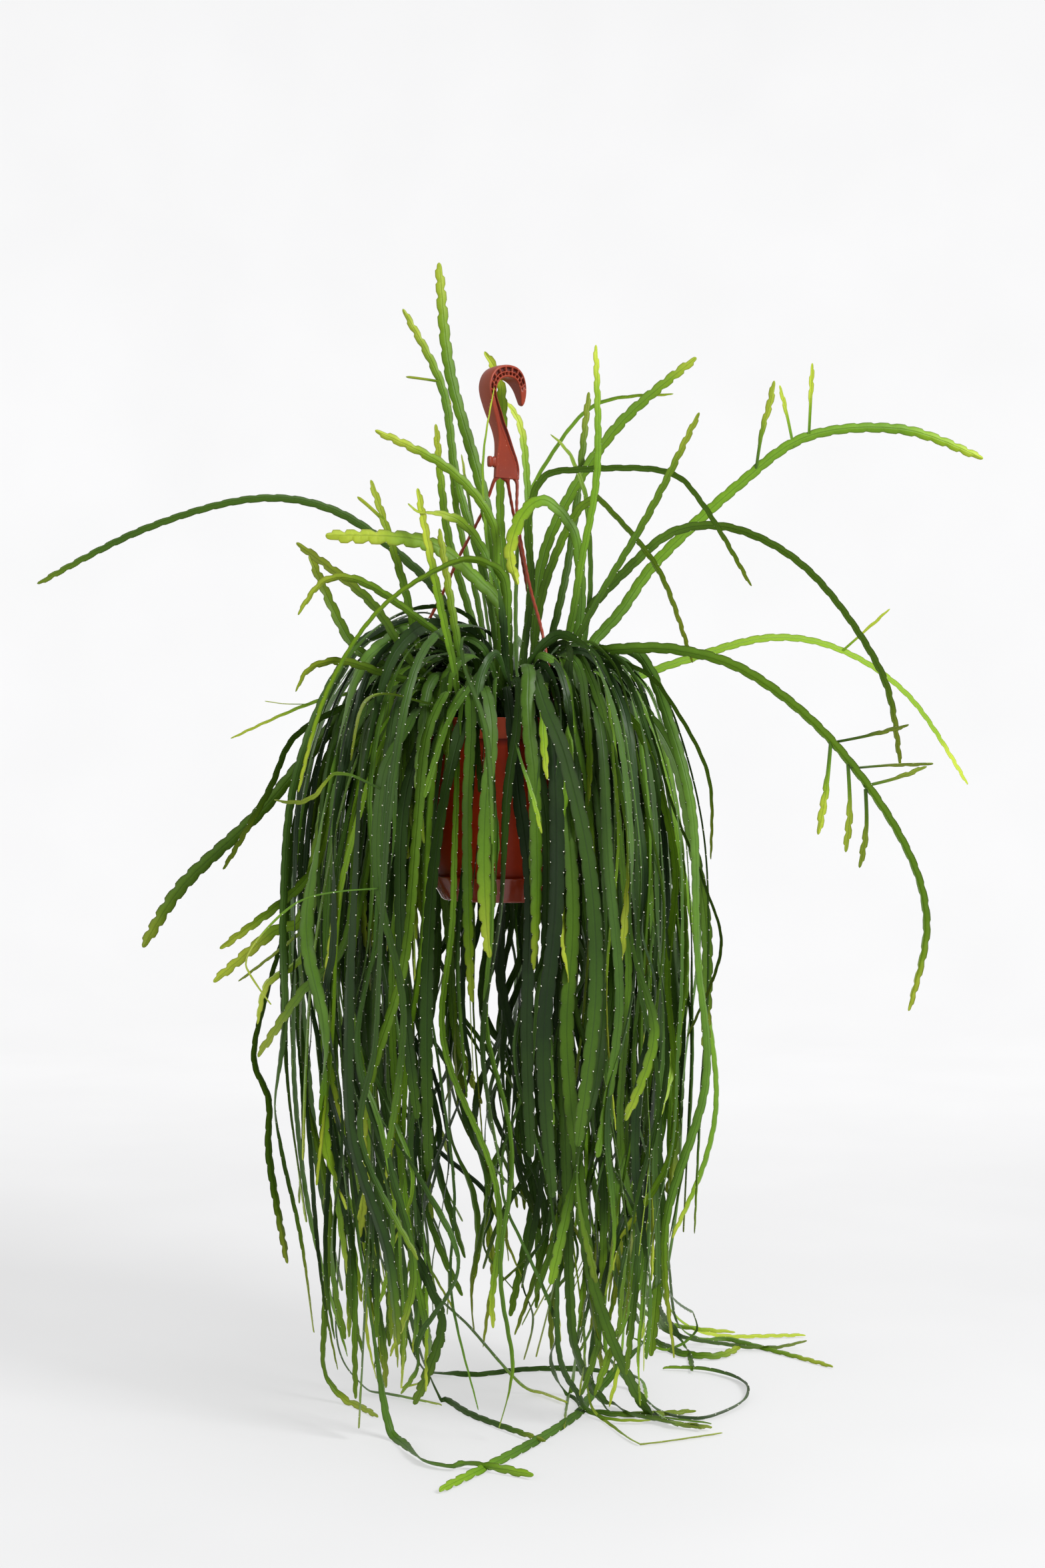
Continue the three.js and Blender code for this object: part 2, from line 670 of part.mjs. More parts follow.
grow('tall_left', 10.5, [0, 25], [
  [-4, -12, -215], [-11, -14, -151], [-23, -16, -105], [-30, -18, -71], [-39, -19, -36],
  [-51, -20, -1], [-61, -21, 33], [-63, -22, 67], [-63, -23, 107],
]);
grow('tall_left', 7, [20, 0], [
  [-29, -22, -216], [-46, -30, -124], [-51, -33, -55], [-57, -34, -30], [-63, -35, -1],
  [-80, -36, 27], [-97, -37, 60],
]);
shoot('tall_left', 4, [
  [-63, -35, -9], [-75, -37, -7], [-94, -40, -5],
]);
grow('tall_left', 4.5, [0, 60], [
  [-17, -26, -191], [-21, -30, -114], [-21, -31, -78], [-17, -32, -57], [-14, -33, -35],
  [-10, -34, -14],
]);
grow('back_left', 7, [0, 20], [
  [-44, 16, -213], [-59, 18, -143], [-68, 20, -92], [-69, 20, -74], [-68, 22, -41],
]);
grow('back_left', 5.5, [30, 0], [
  [-35, 26, -187], [-48, 32, -117], [-53, 34, -72], [-57, 36, -36], [-55, 38, -14],
]);
grow('back_left', 4, [60, 30], [
  [-28, 34, -186], [-35, 38, -145], [-44, 42, -68],
]);
grow('behind_hook', 7.5, [0, 0], [
  [-4, 26, -187], [-5, 30, -107], [-3, 30, -54], [-3, 28, -22], [-4, 26, 0], [-9, 24, 16],
  [-20, 22, 30],
]);
grow('behind_hook', 6, [0, 30], [
  [21, 34, -186], [18, 38, -119], [17, 40, -64], [15, 40, -43], [8, 40, -25], [-1, 39, -15],
]);
grow('behind_hook', 4.5, [20, 40], [
  [13, 46, -165], [25, 54, -106], [37, 58, -83], [53, 62, -53], [73, 66, -28], [92, 68, -14],
  [112, 70, -8], [142, 72, -6], [169, 74, -3],
]);
grow('arch_left', 9, [0, 10], [
  [-11, -34, -217], [-7, -42, -163], [-20, -50, -126], [-40, -56, -104], [-65, -62, -87],
  [-98, -70, -66], [-121, -76, -61],
]);
grow('arch_left', 11, [0, -10], [
  [-3, -44, -236], [-25, -60, -199], [-45, -70, -181], [-70, -80, -167], [-97, -90, -162],
  [-124, -97, -162], [-151, -102, -162], [-165, -104, -162],
]);
grow('long_left', 8.5, [10, 20], [
  [-59, 20, -226], [-89, 28, -184], [-114, 34, -157], [-137, 38, -140], [-173, 42, -122],
  [-203, 45, -113], [-236, 45, -111], [-269, 44, -114], [-300, 42, -123], [-337, 40, -135],
  [-375, 38, -149], [-425, 34, -173], [-462, 30, -197],
]);
grow('lime_sweep', 9, [0, 15], [
  [2, -58, -250], [1, -70, -206], [-13, -80, -188], [-33, -90, -184], [-60, -100, -191],
  [-87, -108, -206], [-109, -114, -226], [-126, -118, -244], [-140, -122, -270],
  [-155, -126, -295], [-168, -129, -319], [-176, -131, -336], [-184, -133, -365],
  [-188, -134, -399],
]);
grow('left_fan', 6.5, [0, 20], [
  [-65, -40, -287], [-79, -46, -262], [-90, -50, -239], [-97, -54, -211], [-103, -57, -183],
  [-112, -60, -155], [-117, -62, -136], [-126, -64, -106],
]);
shoot('left_fan', 5, [
  [-115, -62, -144], [-129, -66, -131], [-139, -70, -123],
]);
grow('left_fan', 8.5, [0, 0], [
  [-71, -50, -300], [-89, -62, -282], [-104, -70, -255], [-118, -76, -231], [-133, -80, -209],
  [-153, -84, -193], [-174, -87, -179], [-193, -90, -167],
]);
grow('left_fan', 8, [0, 20], [
  [-81, -30, -293], [-113, -36, -281], [-138, -42, -268], [-154, -46, -246], [-165, -50, -227],
  [-177, -54, -198], [-185, -56, -176],
]);
grow('left_low', 6.5, [0, 0], [
  [-48, -62, -282], [-61, -72, -260], [-80, -82, -239], [-107, -92, -217], [-132, -99, -204],
  [-153, -104, -201], [-167, -108, -205], [-179, -111, -215], [-190, -112, -236],
]);
grow('left_low', 7.5, [0, 0], [
  [-53, -72, -310], [-79, -88, -304], [-102, -100, -293], [-131, -110, -282], [-150, -116, -277],
  [-164, -120, -279], [-184, -124, -290], [-191, -126, -307],
]);
grow('left_low', 8.5, [0, 0], [
  [-42, -80, -313], [-66, -100, -317], [-87, -112, -313], [-105, -120, -312], [-117, -124, -316],
  [-128, -127, -330], [-131, -128, -348], [-134, -128, -372],
]);
grow('lime_fork', 6.5, [0, 20], [
  [-46, -70, -294], [-53, -76, -257], [-59, -80, -207], [-63, -84, -154],
]);
grow('lime_fork', 6.5, [0, 20], [
  [-50, -78, -307], [-63, -88, -258], [-69, -94, -208], [-77, -98, -159], [-81, -100, -118],
]);
grow('tall_right', 7, [0, 40], [
  [51, -56, -269], [58, -62, -238], [66, -66, -201], [73, -68, -174], [80, -70, -146],
  [86, -72, -119], [88, -73, -84], [90, -74, -27], [86, -75, 19],
]);
grow('tall_right', 6, [0, 0], [
  [65, -60, -269], [90, -72, -219], [106, -76, -192], [120, -79, -167], [133, -81, -143],
  [148, -83, -118], [164, -85, -91], [182, -87, -46],
]);
grow('lean_right', 9.5, [0, 0], [
  [35, 10, -188], [53, 16, -132], [72, 22, -102], [91, 28, -70], [110, 34, -43], [130, 39, -21],
  [150, 43, -1], [169, 47, 16], [190, 50, 29],
]);
grow('lean_right', 7, [0, 20], [
  [59, 20, -200], [66, 26, -156], [70, 30, -117], [73, 33, -78], [77, 36, -44], [83, 38, -7],
]);
grow('arch_right', 6.5, [0, 0], [
  [21, -18, -203], [17, -24, -152], [24, -30, -117], [38, -36, -99], [57, -42, -94],
  [79, -48, -94], [103, -54, -94], [125, -60, -93], [143, -64, -96], [161, -68, -102],
  [176, -71, -117], [188, -74, -131], [205, -76, -152], [219, -78, -178], [232, -80, -207],
]);
grow('arch_right', 7.5, [0, 0], [
  [37, -24, -216], [54, -30, -165], [71, -34, -130], [89, -38, -122], [107, -42, -139],
  [120, -45, -157], [137, -48, -178], [152, -50, -198], [162, -52, -222], [179, -54, -278],
]);
grow('long_right', 12, [0, 20], [
  [80, 30, -269], [99, 36, -248], [115, 42, -224], [131, 46, -205], [150, 52, -175],
  [170, 56, -153], [190, 60, -133], [221, 65, -107], [252, 70, -79], [286, 76, -53],
  [318, 80, -42], [362, 86, -35], [397, 90, -36], [435, 94, -42], [464, 97, -52], [486, 99, -65],
]);
shoot('long_right', 8, [
  [249, 70, -80], [257, 66, -43], [264, 64, -18], [269, 62, 8],
]);
shoot('long_right', 7, [
  [288, 76, -53], [284, 80, -24], [277, 84, 7],
]);
shoot('long_right', 7, [
  [306, 78, -46], [307, 74, -8], [308, 70, 27],
]);
grow('sweep_right', 8.5, [0, 20], [
  [66, -24, -255], [81, -30, -225], [98, -34, -206], [117, -38, -188], [135, -42, -169],
  [156, -46, -155], [178, -50, -149], [212, -56, -150], [246, -60, -162], [278, -64, -183],
  [306, -68, -212], [329, -71, -244], [348, -74, -276], [363, -76, -307], [370, -78, -339],
  [372, -80, -376],
]);
grow('pale_right', 8.5, [0, 0], [
  [95, 54, -298], [128, 66, -287], [163, 80, -277], [191, 92, -266], [221, 102, -256],
  [259, 112, -248], [298, 122, -246], [337, 130, -255], [373, 137, -271], [396, 141, -287],
  [422, 145, -309], [445, 149, -338], [483, 154, -398],
]);
shoot('pale_right', 5, [
  [349, 132, -258], [373, 128, -237], [396, 124, -216],
]);
grow('low_right', 11, [0, 20], [
  [81, -50, -272], [111, -62, -266], [153, -72, -266], [181, -78, -270], [204, -83, -276],
  [232, -88, -291], [257, -93, -309], [287, -99, -334], [307, -103, -356], [326, -107, -380],
  [341, -110, -402], [357, -113, -426], [371, -116, -451], [382, -118, -480], [388, -120, -506],
  [389, -121, -535], [384, -122, -568], [373, -122, -601],
]);
shoot('low_right', 7.5, [
  [305, -103, -353], [336, -108, -347], [374, -112, -337],
]);
shoot('low_right', 8, [
  [323, -107, -376], [360, -112, -374], [396, -116, -373],
]);
shoot('low_right', 7, [
  [335, -109, -393], [364, -104, -387], [393, -100, -376],
]);
shoot('low_right', 7, [
  [303, -103, -352], [299, -106, -394], [291, -108, -439],
]);
shoot('low_right', 7, [
  [320, -106, -373], [320, -110, -416], [316, -112, -455],
]);
shoot('low_right', 7, [
  [337, -109, -395], [336, -106, -434], [330, -104, -470],
]);
grow('outer_left', 11, [0, 0], [
  [-83, 4, -309], [-116, 4, -305], [-148, 2, -320], [-176, 0, -352], [-203, -2, -383],
  [-222, -3, -403], [-240, -4, -424], [-258, -5, -444], [-282, -6, -465], [-302, -7, -484],
  [-327, -8, -504], [-343, -9, -529], [-352, -10, -553],
]);
grow('outer_left', 4, [0, 0], [
  [-91, 24, -298], [-131, 38, -305], [-172, 50, -311], [-203, 58, -318], [-238, 64, -334],
  [-276, 70, -350],
]);
shoot('outer_left', 4, [
  [-194, 56, -316], [-220, 64, -316], [-241, 70, -313],
]);
grow('outer_left', 9, [0, 0], [
  [-87, -18, -319], [-120, -30, -313], [-154, -40, -322], [-188, -48, -340], [-206, -52, -355],
  [-220, -55, -382], [-226, -57, -406], [-236, -58, -432], [-251, -59, -454], [-267, -60, -474],
]);
grow('front_a', 16, [0, 0], [
  [-67, -78, -313], [-81, -100, -311], [-93, -120, -328], [-105, -134, -352], [-113, -145, -388],
  [-115, -151, -430], [-113, -154, -478], [-106, -155, -523], [-100, -154, -586],
  [-101, -150, -659], [-106, -146, -732],
]);
shoot('front_a', 7.5, [
  [-113, -147, -396], [-132, -152, -386], [-147, -155, -381], [-159, -157, -384],
  [-169, -158, -398], [-185, -158, -407], [-209, -158, -405],
]);
shoot('front_a', 7, [
  [-116, -152, -486], [-151, -158, -488], [-170, -160, -492], [-188, -160, -499],
  [-211, -160, -519], [-230, -160, -542], [-234, -158, -556], [-226, -158, -575],
  [-216, -158, -590],
]);
grow('front_a', 16, [0, 10], [
  [-53, -70, -304], [-66, -96, -326], [-80, -110, -356], [-90, -118, -398], [-94, -121, -439],
  [-91, -123, -489], [-88, -124, -541], [-83, -124, -614], [-88, -124, -700],
]);
grow('front_b', 10.5, [0, 0], [
  [-25, -90, -295], [-34, -116, -309], [-50, -136, -335], [-61, -145, -362], [-68, -149, -385],
  [-72, -151, -404],
]);
grow('front_b', 19, [0, 0], [
  [-30, -84, -307], [-35, -100, -321], [-43, -113, -349], [-50, -121, -388], [-59, -127, -423],
  [-62, -130, -455], [-66, -131, -488], [-71, -131, -558], [-65, -129, -650], [-59, -125, -749],
]);
grow('front_b', 8, [10, 50], [
  [-25, -82, -311], [-26, -98, -336], [-25, -105, -363], [-25, -108, -390], [-33, -111, -432],
  [-39, -113, -473], [-42, -114, -514], [-44, -112, -591], [-37, -108, -684],
]);
grow('front_c', 10, [0, 0], [
  [-19, -84, -282], [-35, -98, -257], [-40, -120, -274], [-27, -140, -309], [-18, -150, -337],
  [-14, -156, -365], [-10, -160, -397], [-10, -163, -445],
]);
grow('front_c', 3.5, [0, 60], [
  [-12, -82, -307], [-18, -96, -320], [-21, -104, -351], [-24, -108, -394], [-24, -110, -432],
  [-29, -112, -473], [-31, -113, -514], [-32, -112, -591], [-26, -108, -678],
]);
grow('front_d', 18, [0, 75], [
  [17, -84, -295], [17, -104, -320], [10, -117, -349], [6, -123, -382], [1, -127, -423],
  [0, -129, -464], [-4, -130, -513], [-7, -129, -589], [-2, -126, -675], [-6, -123, -761],
]);
shoot('front_d', 6, [
  [10, -122, -352], [16, -134, -375], [25, -141, -401], [34, -145, -438],
]);
grow('front_d', 15, [0, 0], [
  [25, -76, -305], [23, -93, -335], [29, -102, -369], [34, -106, -399], [38, -110, -443],
  [39, -112, -530], [34, -112, -628], [39, -110, -715],
]);
grow('front_d', 17, [0, 0], [
  [8, -80, -307], [9, -97, -345], [13, -106, -395], [20, -112, -432], [27, -116, -465],
  [27, -118, -504], [23, -118, -566], [18, -116, -652], [22, -114, -738],
]);
grow('front_e', 20, [0, 0], [
  [43, -78, -305], [43, -106, -336], [47, -120, -376], [48, -127, -424], [46, -131, -473],
  [45, -132, -528], [42, -131, -601], [45, -128, -687], [50, -124, -773],
]);
grow('front_e', 19, [0, 0], [
  [22, -86, -294], [29, -112, -308], [42, -132, -331], [54, -146, -362], [64, -154, -394],
  [72, -160, -430], [77, -163, -462], [80, -165, -510], [83, -164, -573], [75, -161, -645],
  [68, -157, -718],
]);
grow('front_f', 4, [30, 60], [
  [80, -66, -285], [87, -96, -332], [95, -112, -374], [101, -120, -415], [102, -123, -464],
  [100, -124, -528], [97, -122, -627], [104, -118, -713],
]);
grow('front_f', 17, [0, 0], [
  [70, -70, -301], [74, -90, -329], [80, -104, -358], [84, -113, -389], [90, -120, -431],
  [96, -124, -486], [99, -126, -559], [97, -126, -651], [91, -124, -737],
]);
grow('floor_a', 12, [0, 0], [
  [-93, -52, -300], [-124, -70, -320], [-147, -86, -363], [-156, -92, -432], [-156, -92, -531],
  [-147, -88, -656], [-135, -82, -782], [-123, -78, -883], [-117, -80, -941], [-112, -88, -981],
  [-99, -107, -1007], [-75, -163, -1007], [-50, -184, -1007], [-30, -180, -1007],
  [-2, -193, -1007], [27, -208, -1007],
]);
grow('floor_a', 9, [0, 0], [
  [-97, -36, -303], [-125, -48, -338], [-138, -52, -408], [-138, -50, -535], [-128, -44, -676],
  [-113, -34, -792], [-101, -20, -879], [-92, -8, -934], [-78, 6, -980], [-57, 16, -1007],
  [-25, -41, -1007], [8, -80, -1007], [39, -117, -1007],
]);
grow('floor_b', 12.5, [0, 0], [
  [80, 14, -305], [120, 24, -312], [160, 36, -351], [180, 44, -431], [187, 47, -544],
  [181, 50, -677], [171, 54, -798], [161, 58, -878], [148, 60, -942], [123, 54, -971],
  [102, 42, -991], [84, 24, -1007], [66, -43, -1007], [39, -94, -1007], [18, -132, -1007],
  [-6, -175, -1007], [-30, -210, -1007], [-55, -243, -1007],
]);
grow('floor_c', 9, [0, 0], [
  [-66, 66, -297], [-94, 96, -310], [-116, 116, -365], [-123, 124, -482], [-120, 126, -620],
  [-115, 124, -757], [-109, 120, -880], [-105, 116, -947], [-98, 114, -985], [-75, 114, -1007],
  [-39, 100, -1007], [-5, 114, -1007], [41, 123, -1007], [99, 116, -1007], [128, 98, -1007],
  [143, 57, -1007], [138, 11, -1007],
]);
grow('floor_c', 8.5, [0, 0], [
  [-76, 56, -301], [-106, 70, -331], [-114, 78, -425], [-105, 76, -580], [-93, 70, -714],
  [-84, 62, -813], [-73, 54, -881], [-49, 48, -920], [-25, 44, -947], [1, 40, -980],
  [30, 46, -1007], [62, 9, -1007],
]);
grow('floor_d', 9, [0, 0], [
  [-109, 6, -305], [-161, 4, -344], [-190, 2, -429], [-197, 6, -573], [-188, 10, -704],
  [-178, 14, -822], [-178, 18, -894], [-184, 22, -932], [-180, 22, -968], [-166, 14, -995],
  [-147, 3, -1007], [-122, -35, -1007],
]);
grow('floor_d', 9, [0, 0], [
  [-110, 26, -308], [-151, 44, -344], [-172, 54, -438], [-170, 58, -611], [-166, 58, -778],
  [-167, 58, -878], [-168, 58, -935], [-162, 56, -971], [-142, 48, -1000], [-116, 37, -1007],
  [-92, 16, -1007], [-62, 3, -1007],
]);
grow('floor_e', 10, [0, 0], [
  [48, 60, -284], [66, 84, -331], [71, 94, -446], [69, 94, -616], [70, 90, -785], [77, 82, -884],
  [90, 74, -943], [112, 64, -984], [132, 57, -1007], [150, -16, -1007], [177, -39, -1007],
  [205, -30, -1007], [232, 7, -1007], [245, 48, -1007], [239, 86, -1007], [218, 111, -1007],
  [189, 128, -1007], [163, 128, -1007],
]);
grow('floor_e', 8.5, [0, 0], [
  [68, 74, -290], [117, 108, -331], [146, 134, -427], [155, 150, -588], [158, 164, -764],
  [162, 180, -894], [172, 194, -957], [194, 208, -990], [229, 237, -1007], [253, 224, -1007],
  [286, 191, -1007], [313, 164, -1007], [341, 133, -1007],
]);
grow('floor_e', 7.5, [0, 0], [
  [62, 84, -294], [97, 118, -334], [117, 146, -427], [123, 166, -589], [129, 186, -768],
  [144, 208, -900], [173, 226, -966], [217, 240, -998], [275, 244, -1005], [328, 253, -1007],
]);
grow('floor_f', 8, [0, 0], [
  [82, -38, -300], [111, -50, -351], [120, -56, -471], [114, -52, -662], [98, -38, -823],
  [87, -24, -929], [89, -16, -983], [108, -24, -1007], [138, -30, -1007], [198, -55, -1007],
]);
grow('floor_f', 4, [0, 0], [
  [70, -56, -307], [77, -76, -364], [77, -82, -501], [70, -78, -689], [68, -66, -836],
  [73, -52, -941], [91, -35, -1007], [118, -103, -1007], [144, -111, -1007], [172, -100, -1007],
  [206, -82, -1007],
]);
grow('tips_left', 9, [0, 20], [
  [-75, -40, -313], [-106, -55, -313], [-136, -66, -338], [-158, -72, -382], [-167, -74, -439],
  [-180, -76, -473], [-191, -78, -487], [-225, -80, -512], [-250, -82, -530], [-267, -84, -547],
]);
grow('tips_left', 9, [0, 0], [
  [-75, -30, -316], [-107, -36, -320], [-141, -42, -351], [-163, -46, -408], [-176, -50, -472],
  [-187, -54, -513], [-199, -56, -526], [-224, -58, -536], [-248, -60, -558], [-276, -62, -581],
]);
grow('tips_left', 7, [10, 0], [
  [-76, -20, -319], [-114, -24, -325], [-152, -28, -370], [-171, -32, -434], [-180, -34, -498],
  [-191, -36, -530], [-204, -38, -539], [-230, -40, -560], [-255, -42, -582],
]);
grow('bend_left', 9, [0, 30], [
  [-79, -10, -315], [-118, -10, -319], [-157, -10, -357], [-178, -10, -429], [-186, -12, -506],
  [-191, -14, -551], [-203, -16, -566], [-222, -20, -580], [-235, -22, -596], [-239, -24, -626],
]);
grow('bend_left', 10, [0, 60], [
  [-82, 10, -312], [-126, 20, -315], [-169, 24, -358], [-195, 26, -437], [-209, 26, -515],
  [-222, 24, -574], [-240, 20, -613], [-247, 18, -636], [-247, 16, -663], [-239, 14, -686],
  [-232, 12, -703], [-234, 12, -726], [-234, 14, -753], [-226, 16, -785], [-219, 18, -816],
  [-215, 20, -869],
]);
grow('lime_left', 12, [0, -20], [
  [-74, -60, -307], [-98, -80, -310], [-122, -96, -345], [-134, -104, -407], [-136, -108, -481],
  [-145, -112, -536], [-163, -114, -562], [-186, -116, -585], [-208, -116, -607],
  [-221, -114, -627], [-228, -112, -645],
]);
grow('lime_left', 7.5, [0, 0], [
  [-67, -70, -307], [-90, -92, -314], [-111, -112, -345], [-129, -124, -394], [-139, -130, -436],
  [-146, -132, -467], [-152, -132, -492], [-162, -130, -531], [-164, -128, -554],
  [-169, -126, -594],
]);
grow('lime_left', 9.5, [0, 15], [
  [-74, -56, -312], [-104, -76, -320], [-135, -90, -357], [-156, -98, -425], [-168, -100, -500],
  [-179, -98, -562], [-184, -96, -597], [-187, -94, -627], [-185, -92, -667], [-183, -90, -698],
  [-187, -88, -725], [-189, -86, -746],
]);
grow('lime_front', 10.5, [0, 10], [
  [-70, -64, -310], [-98, -86, -317], [-124, -104, -357], [-142, -114, -425], [-152, -118, -492],
  [-158, -118, -546], [-163, -116, -595], [-163, -114, -635], [-167, -112, -680],
  [-171, -110, -724], [-175, -108, -763],
]);
grow('lime_front', 10, [0, 0], [
  [-54, -76, -307], [-66, -104, -317], [-75, -122, -351], [-79, -132, -406], [-80, -136, -467],
  [-83, -138, -515], [-91, -138, -559], [-103, -137, -594], [-118, -135, -638], [-128, -132, -681],
  [-136, -130, -718], [-131, -128, -757],
]);
grow('lime_front', 9, [0, 20], [
  [-42, -74, -308], [-52, -98, -318], [-64, -112, -357], [-71, -118, -425], [-76, -120, -504],
  [-82, -120, -581], [-86, -119, -620], [-96, -118, -659], [-104, -117, -693], [-110, -116, -732],
  [-111, -115, -762],
]);
grow('bulge_right', 10, [0, 0], [
  [86, -10, -299], [124, -16, -310], [149, -20, -345], [164, -22, -370], [169, -24, -402],
  [178, -26, -439], [189, -28, -472], [193, -28, -516], [197, -28, -560], [197, -28, -612],
  [194, -26, -653],
]);
grow('bulge_right', 9, [0, 0], [
  [81, -26, -303], [117, -40, -313], [145, -50, -357], [160, -56, -414], [176, -58, -467],
  [194, -58, -496], [205, -58, -536], [203, -58, -568], [190, -58, -601], [174, -58, -634],
]);
grow('bulge_right', 9.5, [0, 20], [
  [85, 4, -298], [122, 10, -305], [155, 14, -351], [168, 16, -430], [178, 16, -495],
  [184, 16, -542], [194, 14, -590], [200, 12, -654], [209, 10, -703], [203, 8, -736],
  [192, 6, -784], [177, 4, -821], [164, 2, -840],
]);
grow('arc_right', 9.5, [0, 0], [
  [78, -44, -303], [109, -66, -316], [137, -80, -364], [155, -86, -432], [163, -88, -497],
  [157, -88, -550], [152, -88, -586], [152, -88, -626], [163, -86, -676], [165, -84, -712],
  [149, -82, -767], [131, -80, -799], [110, -78, -823],
]);
grow('arc_right', 4.5, [0, 0], [
  [78, -40, -292], [107, -48, -283], [132, -54, -288], [154, -60, -311], [175, -64, -343],
  [193, -68, -386], [198, -70, -426], [195, -72, -464],
]);

// The curtain: stems set evenly round the pot, save in front, that rise from the soil, arch over the
// rim and hang. Those from the middle arch higher and hang further out.
function growCurtain() {
  for (let i = 0; i < curtainStems; i += 1) {
    const share = (i + 0.5 + draw(-0.3, 0.3)) / curtainStems;
    const azimuth = ((-90 + frontWindow / 2 + share * (360 - frontWindow)) * Math.PI) / 180;
    const layer = i % curtainLayers.length;
    const wide = draw() < thinShare ? draw(4, 7) : draw(9.5, 18);
    const spread = 1 - leftReach * Math.cos(azimuth);
    const reach = (curtainLayers[layer] + draw(-13, 13)) * spread;
    const top = rimTop + 20 + (reach - 120) * 0.62 + draw(-6, 8);
    const end = floorLevel + 12 + dropRange * draw() ** 1.5;
    const sway = draw(6, 20);
    const phase = draw(0, Math.PI * 2);
    const wave = draw(130, 230);
    const drift = draw(-66, 66);
    const name = `curtain_${String(Math.floor((i * curtainClumps) / curtainStems) + 1).padStart(2, '0')}`;
    const out = [Math.cos(azimuth), Math.sin(azimuth)];
    if (!clumps.has(name)) {
      clumps.set(name, { place: takePlace([out[0] * curtainRing, out[1] * curtainRing]), stems: [] });
    }
    const { place } = clumps.get(name);
    const over = (part, height) => [
      place[0] + (out[0] * reach * shoulder - place[0]) * part,
      place[1] + (out[1] * reach * shoulder - place[1]) * part,
      height,
    ];
    const route = [
      over(0.04, soilTop + 24), over(0.22, top - 20), over(0.5, top), over(0.8, top - 22),
      over(0.97, top - 66),
    ];
    for (let z = top - 150; z > end - 50; z -= hangStep) {
      const height = Math.max(z, end);
      const fall = (top - height) / (top - floorLevel);
      const bulge = reach * (shoulder + (1 - shoulder) * Math.sin(Math.min(fall * 2.2, 1) * Math.PI / 2)
        - gather * Math.max(fall - 0.5, 0) * 2);
      const swing = sway * Math.sin((height / wave) * 2 * Math.PI + phase) * Math.min(fall * 2, 1.5);
      const aside = drift * fall * fall + swing;
      route.push([out[0] * bulge - out[1] * aside, out[1] * bulge + out[0] * aside, height]);
    }
    const turn = [draw(-25, 25), draw(-190, 190)];
    grow(name, wide, turn, route, [-out[1], out[0], 0]);
  }
}
growCurtain();

// The stems of a clump start side by side on its crown, in the order of the ways they head.
const stems = [];
for (const [name, clump] of clumps) {
  const heading = ({ route }) => Math.atan2(route[1][1] - clump.place[1], route[1][0] - clump.place[0]);
  const middle = clump.stems.reduce((sum, stem) => sum + heading(stem) / clump.stems.length, 0);
  const headings = clump.stems.map(heading);
  const order = headings.map((_, k) => k).sort((a, b) => headings[a] - headings[b]);
  clump.stems.forEach((plan, k) => {
    const rank = order.indexOf(k) - (order.length - 1) / 2;
    const angle = middle + (rank * startFan) / order.length;
    const radius = order.length > 1 ? startRadius : 0;
    const way = [Math.cos(angle), Math.sin(angle), 0];
    const start = plus([clump.place[0], clump.place[1], startHeight], way, radius);
    const rise = plus(plus(start, way, riseLean), [0, 0, riseHeight]);
    const stem = makeStem(name, plan.width, plan.turn, [start, rise, ...plan.route], ringStep);
    stem.face = plan.face;
    stems.push(stem);
    for (const { width, route: side } of plan.shoots) {
      const at = nearestOn(stem, side[0]);
      const shootRoute = [onStem(stem, at), ...side.slice(1)];
      const branch = makeStem(name, width, [0, 0], shootRoute, shootStep, shootHalf);
      Object.assign(branch, { face: plan.face, parent: stem, at });
      stems.push(branch);
    }
  });
}
const still = strandRoutes.map((route) => ({
  points: route, half: route.map(() => strandRadius), still: true,
}));
still.push(...hangerGuards);
bendClear(stems, still);

// Each clump is one mesh: its crown and its stems, joined.
for (const [name, clump] of clumps) {
  const own = stems.filter((stem) => stem.clump === name);
  const joined = wasm.Manifold.union([
    crown(clump.place, crownRadius, crownBottom, crownTop), ...own.map(strap),
  ]);
  const widest = Math.max(...clump.stems.map((stem) => stem.width));
  add(`stems_${name}`, geometryOf(joined), widest > 12 ? colours.mature : colours.middle);
}

// The soil fills the pot and has a plain hole for each crown.
const soilProfile = [
  [0, potBottom + potWall + touchGap], [footRadius - 1.4, potBottom + potWall + touchGap],
  [beadRadius - 3, beadHeight + 3.8], [neckRadius - potWall - 0.4, neckHeight],
  [underBand - potWall - 1, rimTop - bandHeight - 1.2],
  [bandInside - 1.2, rimTop - bandHeight + 1.2], [bandInside - 1, soilTop], [0, soilTop],
];
const holes = [...clumps.values()].map(({ place }) => crown(
  place, crownRadius + holeRoom, crownBottom - touchGap, soilTop + 5,
));
const soil = wasm.Manifold.difference([solidOf(turned(soilProfile)), wasm.Manifold.union(holes)]);
add('soil', geometryOf(soil), colours.peat);

export default potted;
